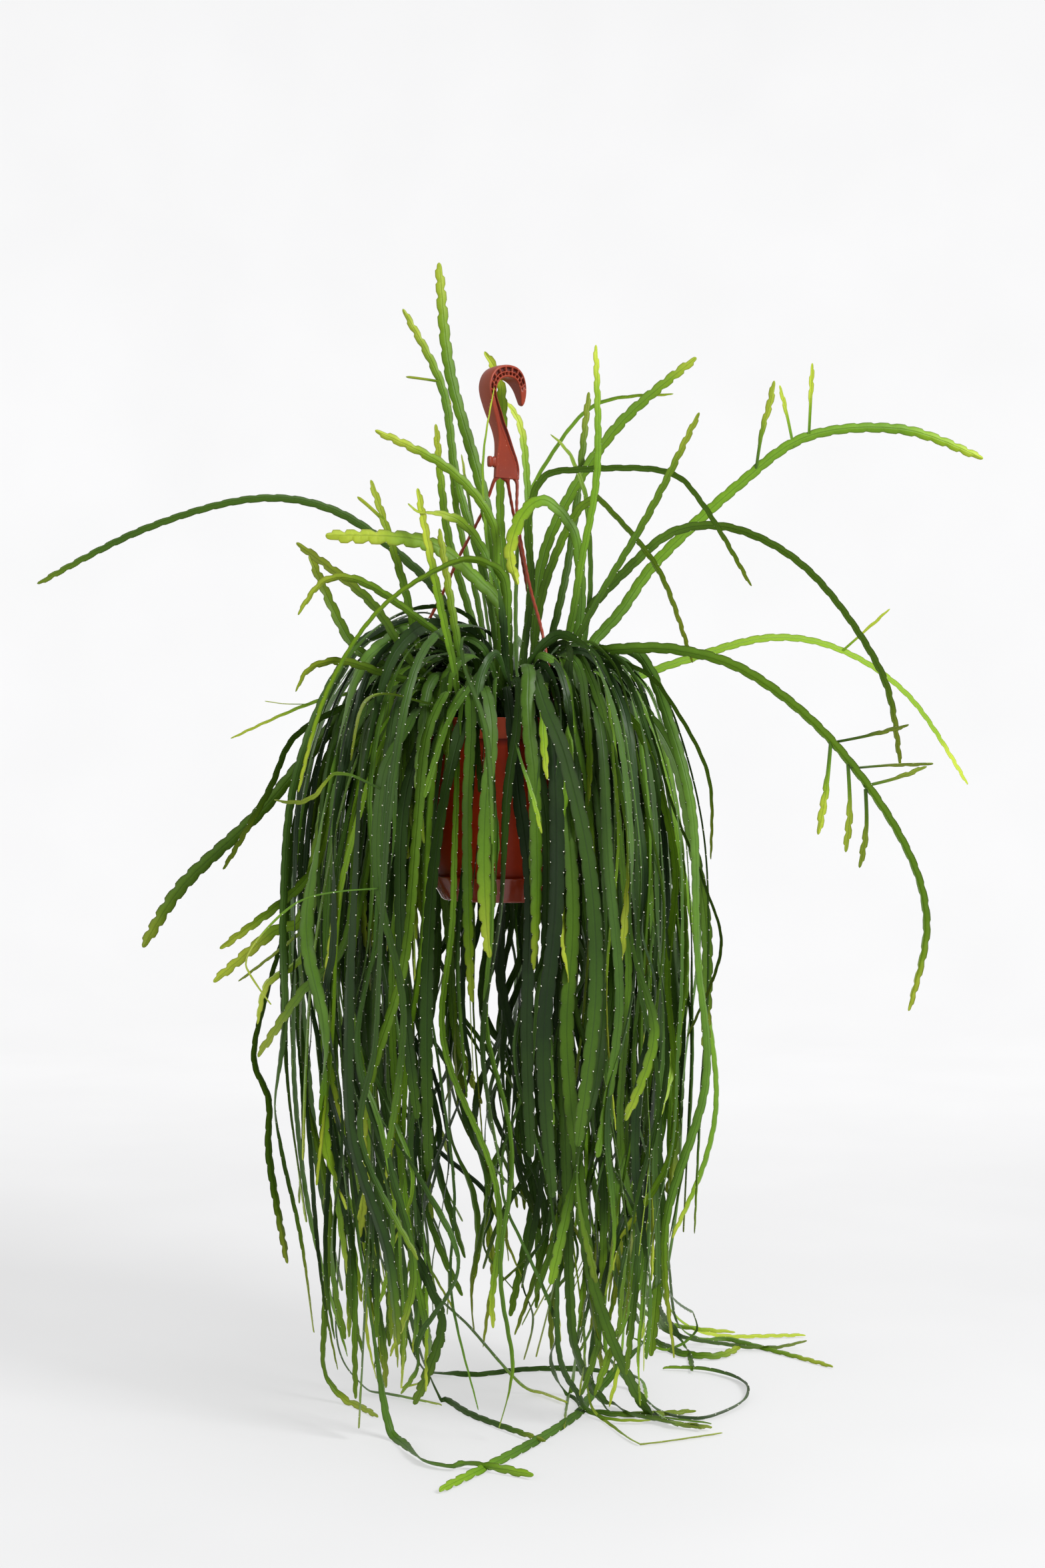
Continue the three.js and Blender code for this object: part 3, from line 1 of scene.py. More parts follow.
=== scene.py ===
# A hanging pot of strap-stemmed cactus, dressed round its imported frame.
# The plant is worked out in millimetres, as the frame was, and made into meshes in metres.
import json
import math
import bpy
import numpy as np
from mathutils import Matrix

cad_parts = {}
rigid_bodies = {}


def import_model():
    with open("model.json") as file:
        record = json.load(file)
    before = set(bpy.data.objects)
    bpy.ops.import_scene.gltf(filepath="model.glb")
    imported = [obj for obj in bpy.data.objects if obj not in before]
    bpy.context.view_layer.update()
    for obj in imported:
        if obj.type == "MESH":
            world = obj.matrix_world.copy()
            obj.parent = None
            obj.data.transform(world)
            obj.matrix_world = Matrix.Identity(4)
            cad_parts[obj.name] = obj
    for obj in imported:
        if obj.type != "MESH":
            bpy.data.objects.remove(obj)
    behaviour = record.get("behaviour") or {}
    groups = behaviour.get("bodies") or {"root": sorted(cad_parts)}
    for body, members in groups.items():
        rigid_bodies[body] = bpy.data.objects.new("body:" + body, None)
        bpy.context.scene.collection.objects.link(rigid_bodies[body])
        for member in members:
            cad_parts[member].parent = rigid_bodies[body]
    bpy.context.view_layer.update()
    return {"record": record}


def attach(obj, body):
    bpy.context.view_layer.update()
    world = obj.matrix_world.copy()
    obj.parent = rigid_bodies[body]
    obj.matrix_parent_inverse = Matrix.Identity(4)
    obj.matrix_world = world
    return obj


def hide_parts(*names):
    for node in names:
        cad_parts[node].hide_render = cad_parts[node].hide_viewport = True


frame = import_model()

view = {"place": (0.0172, -2.124, -0.351), "tilt": 1.166, "lens": 50, "sensor": 36, "farthest": 50}
cameraData = bpy.data.cameras.new("photoCamera")
cameraData.lens = view["lens"]
cameraData.sensor_width = view["sensor"]
cameraData.clip_end = view["farthest"]
camera = bpy.data.objects.new("photoCamera", cameraData)
camera.location = view["place"]
camera.rotation_euler = (math.radians(90 - view["tilt"]), 0, 0)
bpy.context.scene.collection.objects.link(camera)
bpy.context.scene.camera = camera
print("camera set")


def linear(part):
    part /= 255
    return part / 12.92 if part <= 0.04045 else ((part + 0.055) / 1.055) ** 2.4


# Red, green and blue of 255 as the shader's linear colour.
def colour(*shade):
    return (*map(linear, shade), 1)


def newMaterial(name):
    material = bpy.data.materials.new(name)
    material.use_nodes = True
    return material, material.node_tree, material.node_tree.nodes["Principled BSDF"]


# A plain value is set on the socket itself, and a node's output is linked to it.
def feed(tree, socket, value):
    if isinstance(value, (int, float, tuple)):
        socket.default_value = value
    else:
        tree.links.new(value, socket)


def setSockets(tree, node, values):
    for name, value in values.items():
        feed(tree, node.inputs[name], value)


def mathNode(tree, kind, *values, clampIt=False):
    node = tree.nodes.new("ShaderNodeMath")
    node.operation = kind
    node.use_clamp = clampIt
    for socket, value in zip(node.inputs, values):
        feed(tree, socket, value)
    return node.outputs[0]


def attributeNode(tree, name):
    node = tree.nodes.new("ShaderNodeAttribute")
    node.attribute_name = name
    return node.outputs["Fac"]


# The three parts of a vector, such as the place on the object or the way a face looks.
def partsOf(tree, kind, output):
    source = tree.nodes.new(kind)
    parts = tree.nodes.new("ShaderNodeSeparateXYZ")
    tree.links.new(source.outputs[output], parts.inputs["Vector"])
    return parts.outputs


def noiseNode(tree, scale, detail, stretch=(1, 1, 1)):
    where = tree.nodes.new("ShaderNodeTexCoord")
    mapping = tree.nodes.new("ShaderNodeMapping")
    noise = tree.nodes.new("ShaderNodeTexNoise")
    mapping.inputs["Scale"].default_value = stretch
    setSockets(tree, noise, {"Scale": scale, "Detail": detail})
    tree.links.new(where.outputs["Object"], mapping.inputs["Vector"])
    tree.links.new(mapping.outputs["Vector"], noise.inputs["Vector"])
    return noise.outputs["Fac"]


def rampNode(tree, factor, stops):
    ramp = tree.nodes.new("ShaderNodeValToRGB")
    elements = ramp.color_ramp.elements
    while len(elements) < len(stops):
        elements.new(0.5)
    for element, (position, shade) in zip(elements, stops):
        element.position = position
        element.color = shade
    tree.links.new(factor, ramp.inputs["Fac"])
    return ramp.outputs["Color"]


def mixNode(tree, kind, factor, first, second):
    mix = tree.nodes.new("ShaderNodeMix")
    mix.data_type = "RGBA"
    mix.blend_type = kind
    setSockets(tree, mix, {"Factor": factor, "A": first, "B": second})
    return mix.outputs["Result"]


def rangeNode(tree, value, low, high, start, end):
    node = tree.nodes.new("ShaderNodeMapRange")
    node.interpolation_type = "SMOOTHSTEP"
    setSockets(tree, node, {
        "Value": value, "From Min": low, "From Max": high, "To Min": start, "To Max": end})
    return node.outputs["Result"]


def bumpNode(tree, height, strength, distance):
    bump = tree.nodes.new("ShaderNodeBump")
    setSockets(tree, bump, {"Height": height, "Strength": strength, "Distance": distance})
    return bump.outputs["Normal"]


def newPiece(name, corners, faces, materials):
    mesh = bpy.data.meshes.new(name)
    mesh.from_pydata((np.asarray(corners, float) * 0.001).tolist(), [], faces)
    for material in materials:
        mesh.materials.append(material)
    mesh.polygons.foreach_set("use_smooth", np.ones(len(mesh.polygons), bool))
    mesh.update()
    piece = bpy.data.objects.new(name, mesh)
    bpy.context.scene.collection.objects.link(piece)
    return piece


def dress(piece, node):
    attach(piece, "root")
    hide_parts(node)


# Quads between rings of corners, one ring after the other.
def ringFaces(rings, size):
    grid = np.arange(rings * size).reshape(rings, size)
    here, there = grid[:-1], grid[1:]
    quads = np.stack([here, np.roll(here, -1, 1), np.roll(there, -1, 1), there], axis=2)
    return [tuple(quad) for quad in quads.reshape(-1, 4).tolist()]


# A round row of places about the Z axis.
def roundRow(radius, height, angles):
    heights = np.broadcast_to(height, angles.shape)
    return np.column_stack([np.cos(angles) * radius, np.sin(angles) * radius, heights])


def joinMeshes(parts):
    corners, faces, count = [], [], 0
    for partCorners, partFaces in parts:
        corners.append(partCorners)
        faces += [tuple(corner + count for corner in face) for face in partFaces]
        count += len(partCorners)
    return np.concatenate(corners), faces


stemFinish = {
    "shades": [(0.0, colour(32, 62, 12)), (0.3, colour(75, 114, 27)), (0.55, colour(104, 147, 25)),
               (0.8, colour(132, 168, 30)), (1.0, colour(178, 197, 60))],
    "tones": [(0.0, colour(156, 164, 128)), (0.8, colour(255, 252, 236))], "bloom": colour(112, 140, 104),
    # The midrib colour is painted shade, darkening the line of the midrib groove.
    "midribShade": colour(150, 160, 150), "midribShadeHalf": 0.09, "midribShadeShare": 0.3, "edge": colour(170, 150, 105),
    "edgePower": 7.0, "edgeMost": 0.8, "edgeBlend": 0.2, "ribRise": 6.0, "ribBlend": 0.3,
    "patches": (28, 3), "patchShare": 0.22, "fine": (420, 4), "grainShare": 0.18, "grainRelief": 0.25,
    "grainRough": 0.18,
    "grain": [(0.25, colour(90, 90, 90)), (0.75, colour(170, 170, 170))],
    "roughness": 0.46, "specular": 0.2, "bumpStrength": 0.5, "bumpDepth": 0.0006,
    "sheen": {"Sheen Weight": 0.07, "Sheen Roughness": 0.4, "Sheen Tint": (0.78, 0.9, 0.62, 1)},
}


# Dark green in an old stem and lime in a young one, with brownish edges and a painted shade along the
# midrib groove.
def makeStemMaterial(name, bloom):
    material, tree, skin = newMaterial(name)
    patches = noiseNode(tree, *stemFinish["patches"])
    aged = mathNode(tree, "MULTIPLY_ADD", patches, stemFinish["patchShare"], attributeNode(tree, "youth"))
    aged = mathNode(tree, "SUBTRACT", aged, stemFinish["patchShare"] / 2, clampIt=True)
    tone = rampNode(tree, attributeNode(tree, "tone"), stemFinish["tones"])
    shade = mixNode(tree, "MULTIPLY", 1.0, rampNode(tree, aged, stemFinish["shades"]), tone)
    side = mathNode(tree, "ABSOLUTE", attributeNode(tree, "across"))
    # Painted shade: a thin darker line down the middle of the strap, where the midrib groove lies.
    midribShade = mathNode(tree, "COMPARE", side, 0.0, stemFinish["midribShadeHalf"])
    midribShade = mathNode(tree, "MULTIPLY", midribShade, stemFinish["midribShadeShare"])
    shade = mixNode(tree, "MULTIPLY", midribShade, shade, stemFinish["midribShade"])
    edge = mathNode(tree, "POWER", side, stemFinish["edgePower"])
    edge = mathNode(tree, "SMOOTH_MIN", edge, stemFinish["edgeMost"], stemFinish["edgeBlend"])
    shade = mixNode(tree, "MULTIPLY", edge, shade, stemFinish["edge"])
    fine = noiseNode(tree, *stemFinish["fine"])
    grain = rampNode(tree, fine, stemFinish["grain"])
    shade = mixNode(tree, "OVERLAY", stemFinish["grainShare"], shade, grain)
    rib = mathNode(tree, "MULTIPLY", side, stemFinish["ribRise"])
    rib = mathNode(tree, "SMOOTH_MIN", rib, 1.0, stemFinish["ribBlend"])
    relief = mathNode(tree, "MULTIPLY_ADD", fine, stemFinish["grainRelief"], rib)
    smooth = stemFinish["roughness"] - stemFinish["grainRough"] / 2
    rough = mathNode(tree, "MULTIPLY_ADD", fine, stemFinish["grainRough"], smooth)
    setSockets(tree, skin, stemFinish["sheen"] | {
        "Base Color": mixNode(tree, "MIX", bloom, shade, stemFinish["bloom"]), "Roughness": rough,
        "Specular IOR Level": stemFinish["specular"],
        "Normal": bumpNode(tree, relief, stemFinish["bumpStrength"], stemFinish["bumpDepth"])})
    return material


# A rough finish of one noise: its scale, detail and stretch, its shades, and how rough and deep it is.
def makeRough(name, noise, stops, roughness, strength, depth):
    material, tree, skin = newMaterial(name)
    grain = noiseNode(tree, *noise)
    setSockets(tree, skin, {"Base Color": rampNode(tree, grain, stops), "Roughness": roughness,
                            "Normal": bumpNode(tree, grain, strength, depth)})
    return material


matureSkin = makeStemMaterial("matureSkin", 0.03)
middleSkin = makeStemMaterial("middleSkin", 0.015)
areoleWool = makeRough(
    "areoleWool", (900, 2), [(0.3, colour(188, 186, 160)), (0.65, colour(236, 238, 226))],
    0.9, 0.6, 0.0004)
crownBark = makeRough(
    "crownBark", (320, 5, (1, 1, 0.2)), [(0.3, colour(58, 46, 30)), (0.7, colour(118, 98, 66))],
    0.85, 0.8, 0.0008)
print("stem finishes ready")


plant = {
    "floorLevel": -1007, "startRadius": 2.9, "startHeight": -341.5, "baseHalf": 2.2, "tipHalf": 1.5,
    "lineStep": 6, "growLength": 110, "tipLength": 34, "tipTaper": 0.35, "slimStart": 250,
    "slimLength": 600, "slimShare": 0.35, "ringStep": 150, "ringBend": 1.08, "archLength": 190,
    "archShare": 0.6, "startFan": 4.7, "riseHeight": 22, "riseLean": 1.5, "shootStep": 60,
    "shootHalf": 1.6, "shootYouth": 0.25, "placeReach": 75, "goldenAngle": 137.508, "curtainClumps": 21,
}


def ease(t):
    t = np.clip(t, 0, 1)
    return t ** 2 * (3 - 2 * t)


def span(a):
    return float(np.sqrt(a @ a))


def unit(a):
    return a / max(span(a), 1e-9)


def unitRows(a):
    return a / np.maximum(np.linalg.norm(a, axis=1), 1e-9)[:, None]


# The dot product of each row of a with the same row of b.
def rowDots(a, b):
    return np.einsum("ij,ij->i", a, b)


def roundUp(value):
    return int(math.floor(value + 0.5))


drawState = [41]  # the seed of every random draw


def draw(low=0.0, high=1.0):
    drawState[0] = (drawState[0] * 1664525 + 1013904223) & 0xffffffff
    return low + (high - low) * (drawState[0] / 4294967296)


# A smooth curve from begin to end that heads on from before and towards after, at the shares t.
def curveBetween(before, begin, end, after, t):
    slopeBegin, slopeEnd, rise = (end - before) / 2, (after - begin) / 2, end - begin
    return begin + t * (slopeBegin + t * (3 * rise - 2 * slopeBegin - slopeEnd
                                          + t * (slopeBegin + slopeEnd - 2 * rise)))


# A smooth line through the given points, with a step every few millimetres.
def smoothLine(points):
    points = np.array(points, float)
    last, line = len(points) - 1, []
    for i in range(last):
        steps = max(4, roundUp(span(points[i + 1] - points[i]) / plant["lineStep"]))
        t = (np.arange(steps) / steps)[:, None]
        before, after = points[max(i - 1, 0)], points[min(i + 2, last)]
        line.append(curveBetween(before, points[i], points[i + 1], after, t))
    return np.concatenate(line + [points[-1:]])


# The places on a curve through the given rows, at any share of the way from row to row.
def curveAt(rows, where):
    last = len(rows) - 1
    i = np.minimum(where.astype(int), last - 1)
    t = where - i
    if rows.ndim > 1:
        t = t[:, None]
    return curveBetween(rows[np.maximum(i - 1, 0)], rows[i], rows[i + 1], rows[np.minimum(i + 2, last)], t)


def reachAlong(line):
    return np.concatenate([[0], np.cumsum(np.linalg.norm(np.diff(line, axis=0), axis=1))])


def pointsAt(line, shares):
    reach = reachAlong(line)
    goals = shares * reach[-1]
    return np.stack([np.interp(goals, reach, line[:, axis]) for axis in range(3)], axis=1)


# The shares of a line's length at which its rings stand, closer together where it bends.
def ringShares(line, step):
    ahead = np.diff(line, axis=0)
    stretch = np.linalg.norm(ahead, axis=1)
    turning = np.concatenate([[0], np.linalg.norm(np.diff(unitRows(ahead), axis=0), axis=1)])
    reach = reachAlong(line)
    room = step * np.where(reach[1:] < plant["archLength"], plant["archShare"], 1)
    weight = np.concatenate([[0], np.cumsum(stretch / room + turning / plant["ringBend"])])
    count = max(4, roundUp(weight[-1]))
    return np.minimum(np.interp(np.arange(count + 1) / count * weight[-1], weight, reach) / reach[-1], 1)


# A stem: rings of points along its route, each with half its width.
def makeStem(clump, width, turn, route, step, base=plant["baseHalf"]):
    line = smoothLine(route)
    total = reachAlong(line)[-1]
    shares = ringShares(line, step)
    along = shares * total
    grown = base + (width / 2 - base) * ease(along / plant["growLength"])
    far = 1 - plant["slimShare"] * np.clip((along - plant["slimStart"]) / plant["slimLength"], 0, 1)
    tip = 1 - plant["tipTaper"] * ease((along - total + plant["tipLength"]) / plant["tipLength"])
    half = np.maximum(plant["tipHalf"], grown * far * tip)
    return {"clump": clump, "width": width, "turn": turn, "points": pointsAt(line, shares), "half": half,
            "parent": None, "at": 0, "still": False}


pot = {
    "rimTop": -330, "rimRadius": 90, "bandHeight": 20, "bottom": -502.7, "soilTop": -342, "touchGap": 0.3,
    "saucerBottom": -506, "saucerHeight": 24, "saucerRadius": 73.8, "saucerFoot": 60.5, "saucerFlare": 13,
}


# How far points have to move to stay off the pot, the saucer and the soil, and which of them.
def offThePot(points, need):
    radius = np.maximum(np.hypot(points[:, 0], points[:, 1]), 1e-6)
    out = points[:, :2] / radius[:, None]
    z = points[:, 2]
    move = np.zeros_like(points)
    high = z > pot["soilTop"] - 6
    fromRim, overRim = radius - pot["rimRadius"], z - pot["rimTop"]
    away = np.hypot(fromRim, overRim)
    atRim = high & (away < need) & (away > 1e-6)
    push = (need - away) / np.maximum(away, 1e-6)
    move[atRim, :2] = (out * (fromRim * push)[:, None])[atRim]
    move[atRim, 2] = (np.abs(overRim) * push)[atRim]
    onSoil = high & ~atRim & (radius < pot["rimRadius"]) & (z < pot["soilTop"] + need)
    move[onSoil, 2] = (pot["soilTop"] + need - z)[onSoil]
    bandBottom = pot["rimTop"] - pot["bandHeight"]
    fall = np.clip((bandBottom - z) / (bandBottom - pot["bottom"]), 0, 1)
    slope = pot["rimRadius"] + (pot["saucerFoot"] + pot["saucerFlare"] - pot["rimRadius"]) * fall
    saucer = np.where(z < pot["saucerBottom"] + pot["saucerHeight"] + need, pot["saucerRadius"], 0)
    wall = np.where(z > bandBottom, pot["rimRadius"], np.maximum(slope, saucer))
    onWall = ~high & (z >= pot["saucerBottom"] - need) & (radius < wall + need)
    move[onWall, :2] = (out * (wall + need - radius)[:, None])[onWall]
    return move, atRim | onSoil | onWall


settle = {
    "rounds": 90, "step": 0.8, "pairEvery": 8, "rootHold": 0.5, "stemGap": 1.6, "stemGapLeast": 0.35,
    "potGap": 1.2, "potGapLeast": 0.7, "potPush": 0.8, "rimPush": 1, "potTests": (0, 0.2, 0.4, 0.6, 0.8),
    "ownShare": 0.6, "besideShare": 0.2, "thinRounds": 3, "nearMargin": 9, "lyingHeight": 30,
    "lyingStretch": 2.6, "lyingRoom": 2.2, "leastHalf": 0.9,
}


# The place on a stem at a number of rings from its base.
def onStem(points, at):
    ring = min(int(at), len(points) - 2)
    return points[ring] + (points[ring + 1] - points[ring]) * (at - ring)


# The place on a stem that is nearest to a point, as a number of rings from its base.
def nearestOn(points, point):
    ahead = np.diff(points, axis=0)
    part = rowDots(point - points[:-1], ahead) / rowDots(ahead, ahead)
    part = np.clip(part, 0, 1)
    away = np.linalg.norm(points[:-1] + ahead * part[:, None] - point, axis=1)
    ring = int(away.argmin())
    return ring + float(part[ring])


# Where two rows of straight stretches come closest: the shares along each, and the way between.
def closest(a0, a1, b0, b1):
    u, v, w = a1 - a0, b1 - b0, a0 - b0
    a, b, c, d, e = (rowDots(p, q) for p, q in ((u, u), (u, v), (v, v), (u, w), (v, w)))
    s = np.clip((b * e - c * d) / np.maximum(a * c - b * b, 1e-9), 0, 1)
    t = np.clip((b * s + e) / np.maximum(c, 1e-9), 0, 1)
    s = np.clip((b * t - d) / np.maximum(a, 1e-9), 0, 1)
    return s, t, a0 + u * s[:, None] - (b0 + v * t[:, None])


# Stems that would cross are bent clear of one another, of the hanger and of the pot, as in the frame.
def bendClear(stems, fixed):
    everyStem = stems + fixed
    counts = [len(stem["points"]) for stem in everyStem]
    firsts = np.concatenate([[0], np.cumsum(counts)[:-1]]).astype(int)
    place = np.concatenate([stem["points"] for stem in everyStem])
    half = np.concatenate([stem["half"] for stem in everyStem])
    owner = np.repeat(np.arange(len(everyStem)), counts)
    order = np.concatenate([np.arange(count) for count in counts])
    lastOf = np.repeat(counts, counts) - 1
    start = np.flatnonzero(order < lastOf)
    line = owner[start]
    number = {id(stem): k for k, stem in enumerate(everyStem)}
    parent = np.array([number[id(stem["parent"])] if stem["parent"] else -1 for stem in everyStem])
    trunk = np.where(parent >= 0, parent, np.arange(len(everyStem)))
    fixedLine = np.array([stem["still"] for stem in everyStem])[line]
    movable = np.flatnonzero(~np.array([stem["still"] for stem in everyStem])[owner])
    stretches = start[~fixedLine]

    def nearPairs():
        middle = (place[start] + place[start + 1]) / 2
        reach = np.linalg.norm(place[start + 1] - place[start], axis=1) / 2
        reach += np.maximum(half[start], half[start + 1])
        found = []
        for i in range(len(start) - 1):
            limit = reach[i] + reach[i + 1:] + settle["nearMargin"]
            apart = middle[i + 1:] - middle[i]
            close = rowDots(apart, apart) < limit * limit
            j = np.flatnonzero(close) + i + 1
            a, b = line[i], line[j]
            keep = (trunk[a] != trunk[b]) & ~(fixedLine[i] & fixedLine[j])
            found.append(np.stack([np.full(keep.sum(), i), j[keep]]))
        return np.concatenate(found, axis=1)

    def meeting(pairs):
        a, b = start[pairs[0]], start[pairs[1]]
        low = np.maximum(place[a, 2], place[b, 2]) < plant["floorLevel"] + settle["lyingHeight"]
        tall = np.where(low, settle["lyingStretch"], 1.0)
        raised = np.stack([np.ones_like(tall), np.ones_like(tall), tall], axis=1)
        s, t, way = closest(*(place[ring] * raised for ring in (a, a + 1, b, b + 1)))
        return a, b, s, t, tall, way, np.sqrt(rowDots(way, way))

    def widthsAt(a, b, s, t):
        return half[a] * (1 - s) + half[a + 1] * s + half[b] * (1 - t) + half[b + 1] * t

    before = np.arange(len(place)) - (order > 0)
    after = np.arange(len(place)) + (order < lastOf)
    rootFree = np.where((order == 1) & (parent[owner] < 0), 1 - settle["rootHold"], 1.0)
    rootFree[order == 0] = 0
    for turnNumber in range(settle["rounds"]):
        if turnNumber % settle["pairEvery"] == 0:
            pairs = nearPairs()
        a, b, s, t, tall, way, away = meeting(pairs)
        need = widthsAt(a, b, s, t) + settle["stemGap"]
        tight = away < need
        a, b, s, t, tall, way, away, need = (v[tight] for v in (a, b, s, t, tall, way, away, need))
        push = np.where((away > 1e-3)[:, None], way / np.maximum(away, 1e-9)[:, None], [[0, 0, 1]])
        push[:, 2] /= tall
        held = fixedLine[pairs[0][tight]] | fixedLine[pairs[1][tight]]
        push *= np.where(held, need - away, (need - away) / 2)[:, None]
        moves = np.zeros_like(place)
        for index, share in ((a, 1 - s), (a + 1, s), (b, t - 1), (b + 1, -t)):
            np.add.at(moves, index, push * share[:, None])
        begin, end = place[stretches], place[stretches + 1]
        needed = half[stretches] + settle["potGap"]
        inner, outer = np.hypot(begin[:, 0], begin[:, 1]), np.hypot(end[:, 0], end[:, 1])
        across = ((inner < pot["rimRadius"]) != (outer < pot["rimRadius"]))
        across &= np.minimum(begin[:, 2], end[:, 2]) >= pot["saucerBottom"]
        part = (pot["rimRadius"] - inner) / np.where(across, outer - inner, 1)
        lift = pot["rimTop"] + needed - begin[:, 2] - (end[:, 2] - begin[:, 2]) * part
        lift = np.maximum(lift, 0) * across
        np.add.at(moves[:, 2], stretches, lift * settle["rimPush"])
        np.add.at(moves[:, 2], stretches + 1, lift * settle["rimPush"])
        for part in settle["potTests"]:
            off, touched = offThePot(begin + (end - begin) * part, needed)
            off[~touched | ((order[stretches] <= 1) & (part == 0))] = 0
            np.add.at(moves, stretches, off * ((1 - part) * settle["potPush"]))
            np.add.at(moves, stretches + 1, off * (part * settle["potPush"]))
        smooth = moves * settle["ownShare"] + (moves[before] + moves[after]) * settle["besideShare"]
        place[movable] += (smooth * (settle["step"] * rootFree)[:, None])[movable]
        lifted = movable[order[movable] > 0]
        place[lifted, 2] = np.maximum(place[lifted, 2], plant["floorLevel"] + settle["lyingRoom"])
        for k, stem in enumerate(stems):
            if stem["parent"]:
                trunkPoints = place[firsts[parent[k]]:firsts[parent[k]] + counts[parent[k]]]
                place[firsts[k]:firsts[k] + counts[k]] += onStem(trunkPoints, stem["at"]) - place[firsts[k]]

    for k in stretches[order[stretches] >= 1]:
        for part in settle["potTests"]:
            at = place[k] + (place[k + 1] - place[k]) * part
            need = half[k:k + 1] * (1 - part) + half[k + 1] * part + settle["potGapLeast"]
            off, touched = offThePot(at[None], need)
            if touched[0]:
                half[k:k + 2] = np.maximum(half[k:k + 2] - span(off[0]), settle["leastHalf"])
    for _ in range(settle["thinRounds"]):
        pairs = nearPairs()
        a, b, s, t, tall, way, away = meeting(pairs)
        for k in range(len(a)):
            need = widthsAt(a[k], b[k], s[k], t[k])
            if away[k] >= need + settle["stemGapLeast"]:
                continue
            isStill = hangerShape["strandRadius"] if fixedLine[pairs[1][k]] else 0
            scale = min(max((away[k] - settle["stemGapLeast"] - isStill) / (need - isStill), 0.05), 1)
            for ring, stuck in ((a[k], fixedLine[pairs[0][k]]), (b[k], fixedLine[pairs[1][k]])):
                if not stuck:
                    half[ring:ring + 2] = np.maximum(half[ring:ring + 2] * scale, settle["leastHalf"])
    for k, stem in enumerate(stems):
        stem["points"] = place[firsts[k]:firsts[k] + counts[k]]
        stem["half"] = half[firsts[k]:firsts[k] + counts[k]]
